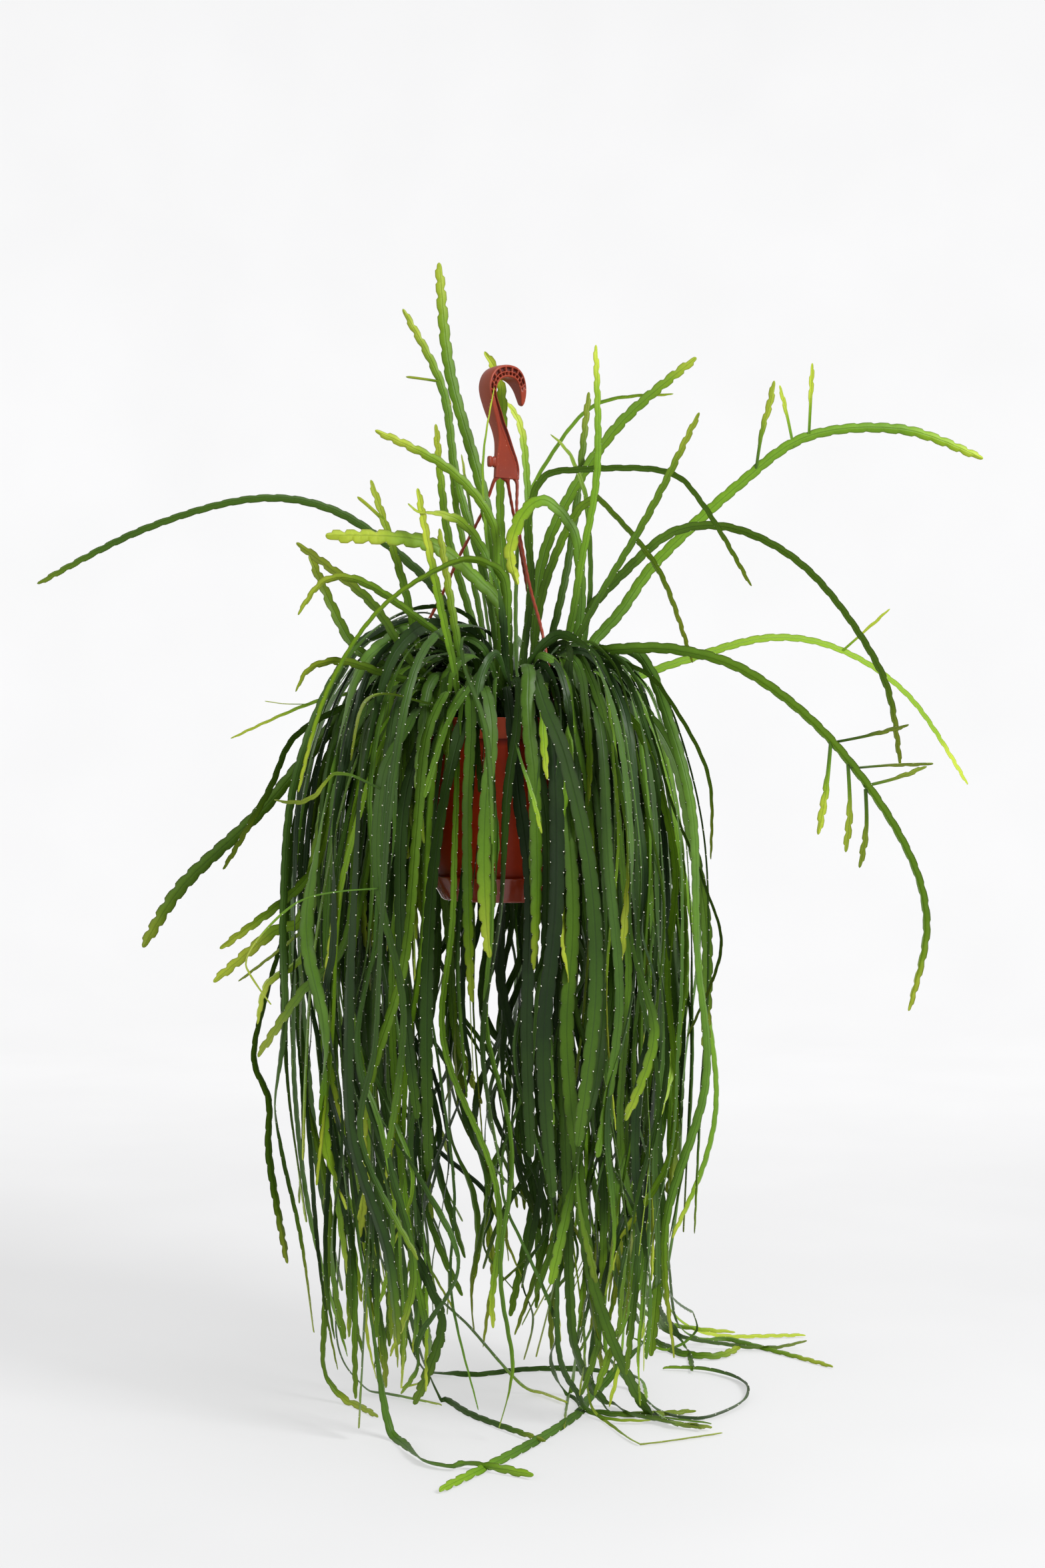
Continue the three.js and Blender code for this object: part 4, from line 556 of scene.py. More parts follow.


# Each listed clump: where it should stand in the soil, and its stems. A stem has its width, how it is
# turned from base to tip, how young it is, the places that it passes, and shoots with their own places.
handSet = {
    "tall_left": ((-4, -8), [
        (10.5, (0, 25), 0.55, [(-4, -12, -215), (-11, -14, -151), (-23, -16, -105), (-30, -18, -71),
         (-39, -19, -36), (-51, -20, -1), (-61, -21, 33), (-63, -22, 67), (-63, -23, 107)]),
        (7, (20, 0), 0.5, [(-29, -22, -216), (-46, -30, -124), (-51, -33, -55), (-57, -34, -30),
         (-63, -35, -1), (-80, -36, 27), (-97, -37, 60)], (4, [(-63, -35, -9), (-75, -37, -7),
         (-94, -40, -5)])),
        (4.5, (0, 60), 0.8, [(-17, -26, -191), (-21, -30, -114), (-21, -31, -78), (-17, -32, -57),
         (-14, -33, -35), (-10, -34, -14)]),
    ]),
    "back_left": ((-10, 16), [
        (7, (0, 20), 0.6, [(-44, 16, -213), (-59, 18, -143), (-68, 20, -92), (-69, 20, -74),
         (-68, 22, -41)]),
        (5.5, (30, 0), 0.6, [(-35, 26, -187), (-48, 32, -117), (-53, 34, -72), (-57, 36, -36),
         (-55, 38, -14)]),
        (4, (60, 30), 0.5, [(-28, 34, -186), (-35, 38, -145), (-44, 42, -68)]),
    ]),
    "behind_hook": ((8, 20), [
        (7.5, (0, 0), 0.55, [(-4, 26, -187), (-5, 30, -107), (-3, 30, -54), (-3, 28, -22), (-4, 26, 0),
         (-9, 24, 16), (-20, 22, 30)]),
        (6, (0, 30), 0.45, [(21, 34, -186), (18, 38, -119), (17, 40, -64), (15, 40, -43), (8, 40, -25),
         (-1, 39, -15)]),
        (4.5, (20, 40), 0.5, [(13, 46, -165), (25, 54, -106), (37, 58, -83), (53, 62, -53), (73, 66, -28),
         (92, 68, -14), (112, 70, -8), (142, 72, -6), (169, 74, -3)]),
    ]),
    "arch_left": ((-18, -22), [
        (9, (0, 10), 0.8, [(-11, -34, -217), (-7, -42, -163), (-20, -50, -126), (-40, -56, -104),
         (-65, -62, -87), (-98, -70, -66), (-121, -76, -61)]),
        (11, (0, -10), 0.85, [(-3, -44, -236), (-25, -60, -199), (-45, -70, -181), (-70, -80, -167),
         (-97, -90, -162), (-124, -97, -162), (-151, -102, -162), (-165, -104, -162)]),
    ]),
    "long_left": ((-30, 12), [
        (8.5, (10, 20), 0.35, [(-59, 20, -226), (-89, 28, -184), (-114, 34, -157), (-137, 38, -140),
         (-173, 42, -122), (-203, 45, -113), (-236, 45, -111), (-269, 44, -114), (-300, 42, -123),
         (-337, 40, -135), (-375, 38, -149), (-425, 34, -173), (-462, 30, -197)]),
    ]),
    "lime_sweep": ((0, -42), [
        (9, (0, 15), 0.9, [(2, -58, -250), (1, -70, -206), (-13, -80, -188), (-33, -90, -184),
         (-60, -100, -191), (-87, -108, -206), (-109, -114, -226), (-126, -118, -244), (-140, -122, -270),
         (-155, -126, -295), (-168, -129, -319), (-176, -131, -336), (-184, -133, -365),
         (-188, -134, -399)]),
    ]),
    "left_fan": ((-36, -18), [
        (6.5, (0, 20), 0.7, [(-65, -40, -287), (-79, -46, -262), (-90, -50, -239), (-97, -54, -211),
         (-103, -57, -183), (-112, -60, -155), (-117, -62, -136), (-126, -64, -106)], (5,
         [(-115, -62, -144), (-129, -66, -131), (-139, -70, -123)])),
        (8.5, (0, 0), 0.85, [(-71, -50, -300), (-89, -62, -282), (-104, -70, -255), (-118, -76, -231),
         (-133, -80, -209), (-153, -84, -193), (-174, -87, -179), (-193, -90, -167)]),
        (8, (0, 20), 0.5, [(-81, -30, -293), (-113, -36, -281), (-138, -42, -268), (-154, -46, -246),
         (-165, -50, -227), (-177, -54, -198), (-185, -56, -176)]),
    ]),
    "left_low": ((-26, -44), [
        (6.5, (0, 0), 0.8, [(-48, -62, -282), (-61, -72, -260), (-80, -82, -239), (-107, -92, -217),
         (-132, -99, -204), (-153, -104, -201), (-167, -108, -205), (-179, -111, -215),
         (-190, -112, -236)]),
        (7.5, (0, 0), 0.7, [(-53, -72, -310), (-79, -88, -304), (-102, -100, -293), (-131, -110, -282),
         (-150, -116, -277), (-164, -120, -279), (-184, -124, -290), (-191, -126, -307)]),
        (8.5, (0, 0), 0.9, [(-42, -80, -313), (-66, -100, -317), (-87, -112, -313), (-105, -120, -312),
         (-117, -124, -316), (-128, -127, -330), (-131, -128, -348), (-134, -128, -372)]),
    ]),
    "lime_fork": ((-14, -60), [
        (6.5, (0, 20), 0.8, [(-46, -70, -294), (-53, -76, -257), (-59, -80, -207), (-63, -84, -154)]),
        (6.5, (0, 20), 0.8, [(-50, -78, -307), (-63, -88, -258), (-69, -94, -208), (-77, -98, -159),
         (-81, -100, -118)]),
    ]),
    "tall_right": ((30, -40), [
        (7, (0, 40), 0.6, [(51, -56, -269), (58, -62, -238), (66, -66, -201), (73, -68, -174),
         (80, -70, -146), (86, -72, -119), (88, -73, -84), (90, -74, -27), (86, -75, 19)]),
        (6, (0, 0), 0.75, [(65, -60, -269), (90, -72, -219), (106, -76, -192), (120, -79, -167),
         (133, -81, -143), (148, -83, -118), (164, -85, -91), (182, -87, -46)]),
    ]),
    "lean_right": ((26, 8), [
        (9.5, (0, 0), 0.6, [(35, 10, -188), (53, 16, -132), (72, 22, -102), (91, 28, -70), (110, 34, -43),
         (130, 39, -21), (150, 43, -1), (169, 47, 16), (190, 50, 29)]),
        (7, (0, 20), 0.6, [(59, 20, -200), (66, 26, -156), (70, 30, -117), (73, 33, -78), (77, 36, -44),
         (83, 38, -7)]),
    ]),
    "arch_right": ((16, -14), [
        (6.5, (0, 0), 0.5, [(21, -18, -203), (17, -24, -152), (24, -30, -117), (38, -36, -99),
         (57, -42, -94), (79, -48, -94), (103, -54, -94), (125, -60, -93), (143, -64, -96),
         (161, -68, -102), (176, -71, -117), (188, -74, -131), (205, -76, -152), (219, -78, -178),
         (232, -80, -207)]),
        (7.5, (0, 0), 0.85, [(37, -24, -216), (54, -30, -165), (71, -34, -130), (89, -38, -122),
         (107, -42, -139), (120, -45, -157), (137, -48, -178), (152, -50, -198), (162, -52, -222),
         (179, -54, -278)]),
    ]),
    "long_right": ((46, 14), [
        (12, (0, 20), 0.45, [(80, 30, -269), (99, 36, -248), (115, 42, -224), (131, 46, -205),
         (150, 52, -175), (170, 56, -153), (190, 60, -133), (221, 65, -107), (252, 70, -79),
         (286, 76, -53), (318, 80, -42), (362, 86, -35), (397, 90, -36), (435, 94, -42), (464, 97, -52),
         (486, 99, -65)], (8, [(249, 70, -80), (257, 66, -43), (264, 64, -18), (269, 62, 8)]), (7,
         [(288, 76, -53), (284, 80, -24), (277, 84, 7)]), (7, [(306, 78, -46), (307, 74, -8),
         (308, 70, 27)])),
    ]),
    "sweep_right": ((52, -10), [
        (8.5, (0, 20), 0.55, [(66, -24, -255), (81, -30, -225), (98, -34, -206), (117, -38, -188),
         (135, -42, -169), (156, -46, -155), (178, -50, -149), (212, -56, -150), (246, -60, -162),
         (278, -64, -183), (306, -68, -212), (329, -71, -244), (348, -74, -276), (363, -76, -307),
         (370, -78, -339), (372, -80, -376)]),
    ]),
    "pale_right": ((50, 34), [
        (8.5, (0, 0), 0.95, [(95, 54, -298), (128, 66, -287), (163, 80, -277), (191, 92, -266),
         (221, 102, -256), (259, 112, -248), (298, 122, -246), (337, 130, -255), (373, 137, -271),
         (396, 141, -287), (422, 145, -309), (445, 149, -338), (483, 154, -398)], (5, [(349, 132, -258),
         (373, 128, -237), (396, 124, -216)])),
    ]),
    "low_right": ((54, -34), [
        (11, (0, 20), 0.55, [(81, -50, -272), (111, -62, -266), (153, -72, -266), (181, -78, -270),
         (204, -83, -276), (232, -88, -291), (257, -93, -309), (287, -99, -334), (307, -103, -356),
         (326, -107, -380), (341, -110, -402), (357, -113, -426), (371, -116, -451), (382, -118, -480),
         (388, -120, -506), (389, -121, -535), (384, -122, -568), (373, -122, -601)], (7.5,
         [(305, -103, -353), (336, -108, -347), (374, -112, -337)]), (8, [(323, -107, -376),
         (360, -112, -374), (396, -116, -373)]), (7, [(335, -109, -393), (364, -104, -387),
         (393, -100, -376)]), (7, [(303, -103, -352), (299, -106, -394), (291, -108, -439)]), (7,
         [(320, -106, -373), (320, -110, -416), (316, -112, -455)]), (7, [(337, -109, -395),
         (336, -106, -434), (330, -104, -470)])),
    ]),
    "outer_left": ((-56, 4), [
        (11, (0, 0), 0.6, [(-83, 4, -309), (-116, 4, -305), (-148, 2, -320), (-176, 0, -352),
         (-203, -2, -383), (-222, -3, -403), (-240, -4, -424), (-258, -5, -444), (-282, -6, -465),
         (-302, -7, -484), (-327, -8, -504), (-343, -9, -529), (-352, -10, -553)]),
        (4, (0, 0), 0.8, [(-91, 24, -298), (-131, 38, -305), (-172, 50, -311), (-203, 58, -318),
         (-238, 64, -334), (-276, 70, -350)], (4, [(-194, 56, -316), (-220, 64, -316),
         (-241, 70, -313)])),
        (9, (0, 0), 0.65, [(-87, -18, -319), (-120, -30, -313), (-154, -40, -322), (-188, -48, -340),
         (-206, -52, -355), (-220, -55, -382), (-226, -57, -406), (-236, -58, -432), (-251, -59, -454),
         (-267, -60, -474)]),
    ]),
    "front_a": ((-44, -46), [
        (16, (0, 0), 0.5, [(-67, -78, -313), (-81, -100, -311), (-93, -120, -328), (-105, -134, -352),
         (-113, -145, -388), (-115, -151, -430), (-113, -154, -478), (-106, -155, -523),
         (-100, -154, -586), (-101, -150, -659), (-106, -146, -732)], (7.5, [(-113, -147, -396),
         (-132, -152, -386), (-147, -155, -381), (-159, -157, -384), (-169, -158, -398),
         (-185, -158, -407), (-209, -158, -405)]), (7, [(-116, -152, -486), (-151, -158, -488),
         (-170, -160, -492), (-188, -160, -499), (-211, -160, -519), (-230, -160, -542),
         (-234, -158, -556), (-226, -158, -575), (-216, -158, -590)])),
        (16, (0, 10), 0.25, [(-53, -70, -304), (-66, -96, -326), (-80, -110, -356), (-90, -118, -398),
         (-94, -121, -439), (-91, -123, -489), (-88, -124, -541), (-83, -124, -614), (-88, -124, -700)]),
    ]),
    "front_b": ((-22, -58), [
        (10.5, (0, 0), 1, [(-25, -90, -295), (-34, -116, -309), (-50, -136, -335), (-61, -145, -362),
         (-68, -149, -385), (-72, -151, -404)]),
        (19, (0, 0), 0.3, [(-30, -84, -307), (-35, -100, -321), (-43, -113, -349), (-50, -121, -388),
         (-59, -127, -423), (-62, -130, -455), (-66, -131, -488), (-71, -131, -558), (-65, -129, -650),
         (-59, -125, -749)]),
        (8, (10, 50), 0.25, [(-25, -82, -311), (-26, -98, -336), (-25, -105, -363), (-25, -108, -390),
         (-33, -111, -432), (-39, -113, -473), (-42, -114, -514), (-44, -112, -591), (-37, -108, -684)]),
    ]),
    "front_c": ((0, -68), [
        (10, (0, 0), 0.95, [(-19, -84, -282), (-35, -98, -257), (-40, -120, -274), (-27, -140, -309),
         (-18, -150, -337), (-14, -156, -365), (-10, -160, -397), (-10, -163, -445)]),
        (3.5, (0, 60), 0.4, [(-12, -82, -307), (-18, -96, -320), (-21, -104, -351), (-24, -108, -394),
         (-24, -110, -432), (-29, -112, -473), (-31, -113, -514), (-32, -112, -591), (-26, -108, -678)]),
    ]),
    "front_d": ((16, -62), [
        (18, (0, 75), 0.25, [(17, -84, -295), (17, -104, -320), (10, -117, -349), (6, -123, -382),
         (1, -127, -423), (0, -129, -464), (-4, -130, -513), (-7, -129, -589), (-2, -126, -675),
         (-6, -123, -761)], (6, [(10, -122, -352), (16, -134, -375), (25, -141, -401),
         (34, -145, -438)])),
        (15, (0, 0), 0.2, [(25, -76, -305), (23, -93, -335), (29, -102, -369), (34, -106, -399),
         (38, -110, -443), (39, -112, -530), (34, -112, -628), (39, -110, -715)]),
        (17, (0, 0), 0.2, [(8, -80, -307), (9, -97, -345), (13, -106, -395), (20, -112, -432),
         (27, -116, -465), (27, -118, -504), (23, -118, -566), (18, -116, -652), (22, -114, -738)]),
    ]),
    "front_e": ((34, -54), [
        (20, (0, 0), 0.25, [(43, -78, -305), (43, -106, -336), (47, -120, -376), (48, -127, -424),
         (46, -131, -473), (45, -132, -528), (42, -131, -601), (45, -128, -687), (50, -124, -773)]),
        (19, (0, 0), 0.5, [(22, -86, -294), (29, -112, -308), (42, -132, -331), (54, -146, -362),
         (64, -154, -394), (72, -160, -430), (77, -163, -462), (80, -165, -510), (83, -164, -573),
         (75, -161, -645), (68, -157, -718)]),
    ]),
    "front_f": ((58, -50), [
        (4, (30, 60), 0.4, [(80, -66, -285), (87, -96, -332), (95, -112, -374), (101, -120, -415),
         (102, -123, -464), (100, -124, -528), (97, -122, -627), (104, -118, -713)]),
        (17, (0, 0), 0.3, [(70, -70, -301), (74, -90, -329), (80, -104, -358), (84, -113, -389),
         (90, -120, -431), (96, -124, -486), (99, -126, -559), (97, -126, -651), (91, -124, -737)]),
    ]),
    "floor_a": ((-54, -30), [
        (12, (0, 0), 0.45, [(-93, -52, -300), (-124, -70, -320), (-147, -86, -363), (-156, -92, -432),
         (-156, -92, -531), (-147, -88, -656), (-135, -82, -782), (-123, -78, -883), (-117, -80, -941),
         (-112, -88, -981), (-99, -107, -1007), (-75, -163, -1007), (-50, -184, -1007),
         (-30, -180, -1007), (-2, -193, -1007), (27, -208, -1007)]),
        (9, (0, 0), 0.45, [(-97, -36, -303), (-125, -48, -338), (-138, -52, -408), (-138, -50, -535),
         (-128, -44, -676), (-113, -34, -792), (-101, -20, -879), (-92, -8, -934), (-78, 6, -980),
         (-57, 16, -1007), (-25, -41, -1007), (8, -80, -1007), (39, -117, -1007)]),
    ]),
    "floor_b": ((62, 8), [
        (12.5, (0, 0), 0.25, [(80, 14, -305), (120, 24, -312), (160, 36, -351), (180, 44, -431),
         (187, 47, -544), (181, 50, -677), (171, 54, -798), (161, 58, -878), (148, 60, -942),
         (123, 54, -971), (102, 42, -991), (84, 24, -1007), (66, -43, -1007), (39, -94, -1007),
         (18, -132, -1007), (-6, -175, -1007), (-30, -210, -1007), (-55, -243, -1007)]),
    ]),
    "floor_c": ((-34, 50), [
        (9, (0, 0), 0.35, [(-66, 66, -297), (-94, 96, -310), (-116, 116, -365), (-123, 124, -482),
         (-120, 126, -620), (-115, 124, -757), (-109, 120, -880), (-105, 116, -947), (-98, 114, -985),
         (-75, 114, -1007), (-39, 100, -1007), (-5, 114, -1007), (41, 123, -1007), (99, 116, -1007),
         (128, 98, -1007), (143, 57, -1007), (138, 11, -1007)]),
        (8.5, (0, 0), 0.3, [(-76, 56, -301), (-106, 70, -331), (-114, 78, -425), (-105, 76, -580),
         (-93, 70, -714), (-84, 62, -813), (-73, 54, -881), (-49, 48, -920), (-25, 44, -947),
         (1, 40, -980), (30, 46, -1007), (62, 9, -1007)]),
    ]),
    "floor_d": ((-66, 6), [
        (9, (0, 0), 0.4, [(-109, 6, -305), (-161, 4, -344), (-190, 2, -429), (-197, 6, -573),
         (-188, 10, -704), (-178, 14, -822), (-178, 18, -894), (-184, 22, -932), (-180, 22, -968),
         (-166, 14, -995), (-147, 3, -1007), (-122, -35, -1007)]),
        (9, (0, 0), 0.4, [(-110, 26, -308), (-151, 44, -344), (-172, 54, -438), (-170, 58, -611),
         (-166, 58, -778), (-167, 58, -878), (-168, 58, -935), (-162, 56, -971), (-142, 48, -1000),
         (-116, 37, -1007), (-92, 16, -1007), (-62, 3, -1007)]),
    ]),
    "floor_e": ((36, 44), [
        (10, (0, 0), 0.2, [(48, 60, -284), (66, 84, -331), (71, 94, -446), (69, 94, -616), (70, 90, -785),
         (77, 82, -884), (90, 74, -943), (112, 64, -984), (132, 57, -1007), (150, -16, -1007),
         (177, -39, -1007), (205, -30, -1007), (232, 7, -1007), (245, 48, -1007), (239, 86, -1007),
         (218, 111, -1007), (189, 128, -1007), (163, 128, -1007)]),
        (8.5, (0, 0), 0.6, [(68, 74, -290), (117, 108, -331), (146, 134, -427), (155, 150, -588),
         (158, 164, -764), (162, 180, -894), (172, 194, -957), (194, 208, -990), (229, 237, -1007),
         (253, 224, -1007), (286, 191, -1007), (313, 164, -1007), (341, 133, -1007)]),
        (7.5, (0, 0), 0.6, [(62, 84, -294), (97, 118, -334), (117, 146, -427), (123, 166, -589),
         (129, 186, -768), (144, 208, -900), (173, 226, -966), (217, 240, -998), (275, 244, -1005),
         (328, 253, -1007)]),
    ]),
    "floor_f": ((48, -30), [
        (8, (0, 0), 0.3, [(82, -38, -300), (111, -50, -351), (120, -56, -471), (114, -52, -662),
         (98, -38, -823), (87, -24, -929), (89, -16, -983), (108, -24, -1007), (138, -30, -1007),
         (198, -55, -1007)]),
        (4, (0, 0), 0.6, [(70, -56, -307), (77, -76, -364), (77, -82, -501), (70, -78, -689),
         (68, -66, -836), (73, -52, -941), (91, -35, -1007), (118, -103, -1007), (144, -111, -1007),
         (172, -100, -1007), (206, -82, -1007)]),
    ]),
    "tips_left": ((-40, -36), [
        (9, (0, 20), 0.7, [(-75, -40, -313), (-106, -55, -313), (-136, -66, -338), (-158, -72, -382),
         (-167, -74, -439), (-180, -76, -473), (-191, -78, -487), (-225, -80, -512), (-250, -82, -530),
         (-267, -84, -547)]),
        (9, (0, 0), 0.75, [(-75, -30, -316), (-107, -36, -320), (-141, -42, -351), (-163, -46, -408),
         (-176, -50, -472), (-187, -54, -513), (-199, -56, -526), (-224, -58, -536), (-248, -60, -558),
         (-276, -62, -581)]),
        (7, (10, 0), 0.75, [(-76, -20, -319), (-114, -24, -325), (-152, -28, -370), (-171, -32, -434),
         (-180, -34, -498), (-191, -36, -530), (-204, -38, -539), (-230, -40, -560), (-255, -42, -582)]),
    ]),
    "bend_left": ((-62, -16), [
        (9, (0, 30), 0.65, [(-79, -10, -315), (-118, -10, -319), (-157, -10, -357), (-178, -10, -429),
         (-186, -12, -506), (-191, -14, -551), (-203, -16, -566), (-222, -20, -580), (-235, -22, -596),
         (-239, -24, -626)]),
        (10, (0, 60), 0.5, [(-82, 10, -312), (-126, 20, -315), (-169, 24, -358), (-195, 26, -437),
         (-209, 26, -515), (-222, 24, -574), (-240, 20, -613), (-247, 18, -636), (-247, 16, -663),
         (-239, 14, -686), (-232, 12, -703), (-234, 12, -726), (-234, 14, -753), (-226, 16, -785),
         (-219, 18, -816), (-215, 20, -869)]),
    ]),
    "lime_left": ((-50, -38), [
        (12, (0, -20), 0.35, [(-74, -60, -307), (-98, -80, -310), (-122, -96, -345), (-134, -104, -407),
         (-136, -108, -481), (-145, -112, -536), (-163, -114, -562), (-186, -116, -585),
         (-208, -116, -607), (-221, -114, -627), (-228, -112, -645)]),
        (7.5, (0, 0), 0.8, [(-67, -70, -307), (-90, -92, -314), (-111, -112, -345), (-129, -124, -394),
         (-139, -130, -436), (-146, -132, -467), (-152, -132, -492), (-162, -130, -531),
         (-164, -128, -554), (-169, -126, -594)]),
        (9.5, (0, 15), 0.6, [(-74, -56, -312), (-104, -76, -320), (-135, -90, -357), (-156, -98, -425),
         (-168, -100, -500), (-179, -98, -562), (-184, -96, -597), (-187, -94, -627), (-185, -92, -667),
         (-183, -90, -698), (-187, -88, -725), (-189, -86, -746)]),
    ]),
    "lime_front": ((-34, -56), [
        (10.5, (0, 10), 0.7, [(-70, -64, -310), (-98, -86, -317), (-124, -104, -357), (-142, -114, -425),
         (-152, -118, -492), (-158, -118, -546), (-163, -116, -595), (-163, -114, -635),
         (-167, -112, -680), (-171, -110, -724), (-175, -108, -763)]),
        (10, (0, 0), 0.65, [(-54, -76, -307), (-66, -104, -317), (-75, -122, -351), (-79, -132, -406),
         (-80, -136, -467), (-83, -138, -515), (-91, -138, -559), (-103, -137, -594), (-118, -135, -638),
         (-128, -132, -681), (-136, -130, -718), (-131, -128, -757)]),
        (9, (0, 20), 0.55, [(-42, -74, -308), (-52, -98, -318), (-64, -112, -357), (-71, -118, -425),
         (-76, -120, -504), (-82, -120, -581), (-86, -119, -620), (-96, -118, -659), (-104, -117, -693),
         (-110, -116, -732), (-111, -115, -762)]),
    ]),
    "bulge_right": ((64, -8), [
        (10, (0, 0), 0.6, [(86, -10, -299), (124, -16, -310), (149, -20, -345), (164, -22, -370),
         (169, -24, -402), (178, -26, -439), (189, -28, -472), (193, -28, -516), (197, -28, -560),
         (197, -28, -612), (194, -26, -653)]),
        (9, (0, 0), 0.65, [(81, -26, -303), (117, -40, -313), (145, -50, -357), (160, -56, -414),
         (176, -58, -467), (194, -58, -496), (205, -58, -536), (203, -58, -568), (190, -58, -601),
         (174, -58, -634)]),
        (9.5, (0, 20), 0.45, [(85, 4, -298), (122, 10, -305), (155, 14, -351), (168, 16, -430),
         (178, 16, -495), (184, 16, -542), (194, 14, -590), (200, 12, -654), (209, 10, -703),
         (203, 8, -736), (192, 6, -784), (177, 4, -821), (164, 2, -840)]),
    ]),
    "arc_right": ((46, -44), [
        (9.5, (0, 0), 0.6, [(78, -44, -303), (109, -66, -316), (137, -80, -364), (155, -86, -432),
         (163, -88, -497), (157, -88, -550), (152, -88, -586), (152, -88, -626), (163, -86, -676),
         (165, -84, -712), (149, -82, -767), (131, -80, -799), (110, -78, -823)]),
        (4.5, (0, 0), 0.75, [(78, -40, -292), (107, -48, -283), (132, -54, -288), (154, -60, -311),
         (175, -64, -343), (193, -68, -386), (198, -70, -426), (195, -72, -464)]),
    ]),
}

placeCount = len(handSet) + plant["curtainClumps"]
freePlaces = []
for k in range(placeCount):
    placeRadius = plant["placeReach"] * math.sqrt((k + 0.5) / placeCount)
    placeAngle = k * plant["goldenAngle"] * math.pi / 180
    freePlaces.append((placeRadius * math.cos(placeAngle), placeRadius * math.sin(placeAngle)))


# The free place in the soil that is nearest to the given one.
def takePlace(spot):
    nearest = min(freePlaces, key=lambda free: math.hypot(free[0] - spot[0], free[1] - spot[1]))
    freePlaces.remove(nearest)
    return nearest


clumps = {name: {"place": takePlace(spot), "stems": []} for name, (spot, _) in handSet.items()}


def grow(name, width, turn, youth, route, face, shoots=()):
    clumps[name]["stems"].append({
        "width": width, "turn": turn, "youth": youth, "route": route, "face": face, "shoots": shoots})


for name, (_, rows) in handSet.items():
    for width, turn, youth, route, *shoots in rows:
        grow(name, width, turn, youth, route, (-1, 0, 0), shoots)


curtain = {
    "stems": 80, "frontWindow": 62, "shareSpread": (-0.3, 0.3), "layers": (128, 205, 166),
    "layerSpread": (-13, 13), "leftReach": 0.08, "thinShare": 0.3, "thin": (4, 7), "broad": (9.5, 18),
    "rise": 20, "riseShare": 0.62, "riseFrom": 120, "riseSpread": (-6, 8), "shoulder": 0.84, "fromSoil": 24,
    "arch": ((0.22, 20), (0.5, 0), (0.8, 22), (0.97, 66)), "hangFrom": 150, "hangStep": 105, "lastStep": 50,
    "gather": 0.2, "floorRoom": 12, "dropRange": 330, "dropPower": 1.5, "sway": (6, 20), "wave": (130, 230),
    "drift": (-66, 66), "turn": ((-25, 25), (-190, 190)), "youth": 0.3, "crownRing": 66,
}


# The route of a hanging stem: up from its crown, over the rim, and down with a sway and a drift.
def curtainRoute(place, out, reach, top, end, sway, phase, wave, drift):
    edge = curtain["shoulder"]
    arch = [(0.04, pot["soilTop"] + curtain["fromSoil"])]
    arch += [(part, top - down) for part, down in curtain["arch"]]
    route = [(place[0] + (out[0] * reach * edge - place[0]) * part,
              place[1] + (out[1] * reach * edge - place[1]) * part, height) for part, height in arch]
    z = top - curtain["hangFrom"]
    while z > end - curtain["lastStep"]:
        height = max(z, end)
        fall = (top - height) / (top - plant["floorLevel"])
        swell = math.sin(min(fall * 2.2, 1) * math.pi / 2)
        bulge = reach * (edge + (1 - edge) * swell - curtain["gather"] * max(fall - 0.5, 0) * 2)
        swing = sway * math.sin(height / wave * 2 * math.pi + phase)
        aside = drift * fall * fall + swing * min(fall * 2, 1.5)
        route.append((out[0] * bulge - out[1] * aside, out[1] * bulge + out[0] * aside, height))
        z -= curtain["hangStep"]
    return route


# The curtain's stems, set round the pot in three layers and left out of the window in front.
def growCurtain():
    for i in range(curtain["stems"]):
        share = (i + 0.5 + draw(*curtain["shareSpread"])) / curtain["stems"]
        window = curtain["frontWindow"]
        azimuth = (-90 + window / 2 + share * (360 - window)) * math.pi / 180
        width = draw(*curtain["thin"]) if draw() < curtain["thinShare"] else draw(*curtain["broad"])
        spread = 1 - curtain["leftReach"] * math.cos(azimuth)
        reach = (curtain["layers"][i % len(curtain["layers"])] + draw(*curtain["layerSpread"])) * spread
        top = pot["rimTop"] + curtain["rise"] + (reach - curtain["riseFrom"]) * curtain["riseShare"]
        top += draw(*curtain["riseSpread"])
        drop = curtain["dropRange"] * draw() ** curtain["dropPower"]
        end = plant["floorLevel"] + curtain["floorRoom"] + drop
        sway, phase = draw(*curtain["sway"]), draw(0, math.pi * 2)
        wave, drift = draw(*curtain["wave"]), draw(*curtain["drift"])
        name = "curtain_%02d" % (i * plant["curtainClumps"] // curtain["stems"] + 1)
        out = (math.cos(azimuth), math.sin(azimuth))
        if name not in clumps:
            ring = curtain["crownRing"]
            clumps[name] = {"place": takePlace((out[0] * ring, out[1] * ring)), "stems": []}
        route = curtainRoute(clumps[name]["place"], out, reach, top, end, sway, phase, wave, drift)
        turn = tuple(draw(*ends) for ends in curtain["turn"])
        grow(name, width, turn, curtain["youth"], route, (-out[1], out[0], 0))


hangerShape = {"strandRadius": 1.7, "clipWidth": 14, "clipThickness": 2, "clipAngles": (180, -60, 60)}


def clipTop(angle):
    turn = math.radians(angle)
    reach = pot["rimRadius"] + pot["touchGap"] + hangerShape["clipThickness"] / 2
    return (math.cos(turn) * reach, math.sin(turn) * reach, pot["rimTop"] + 3)


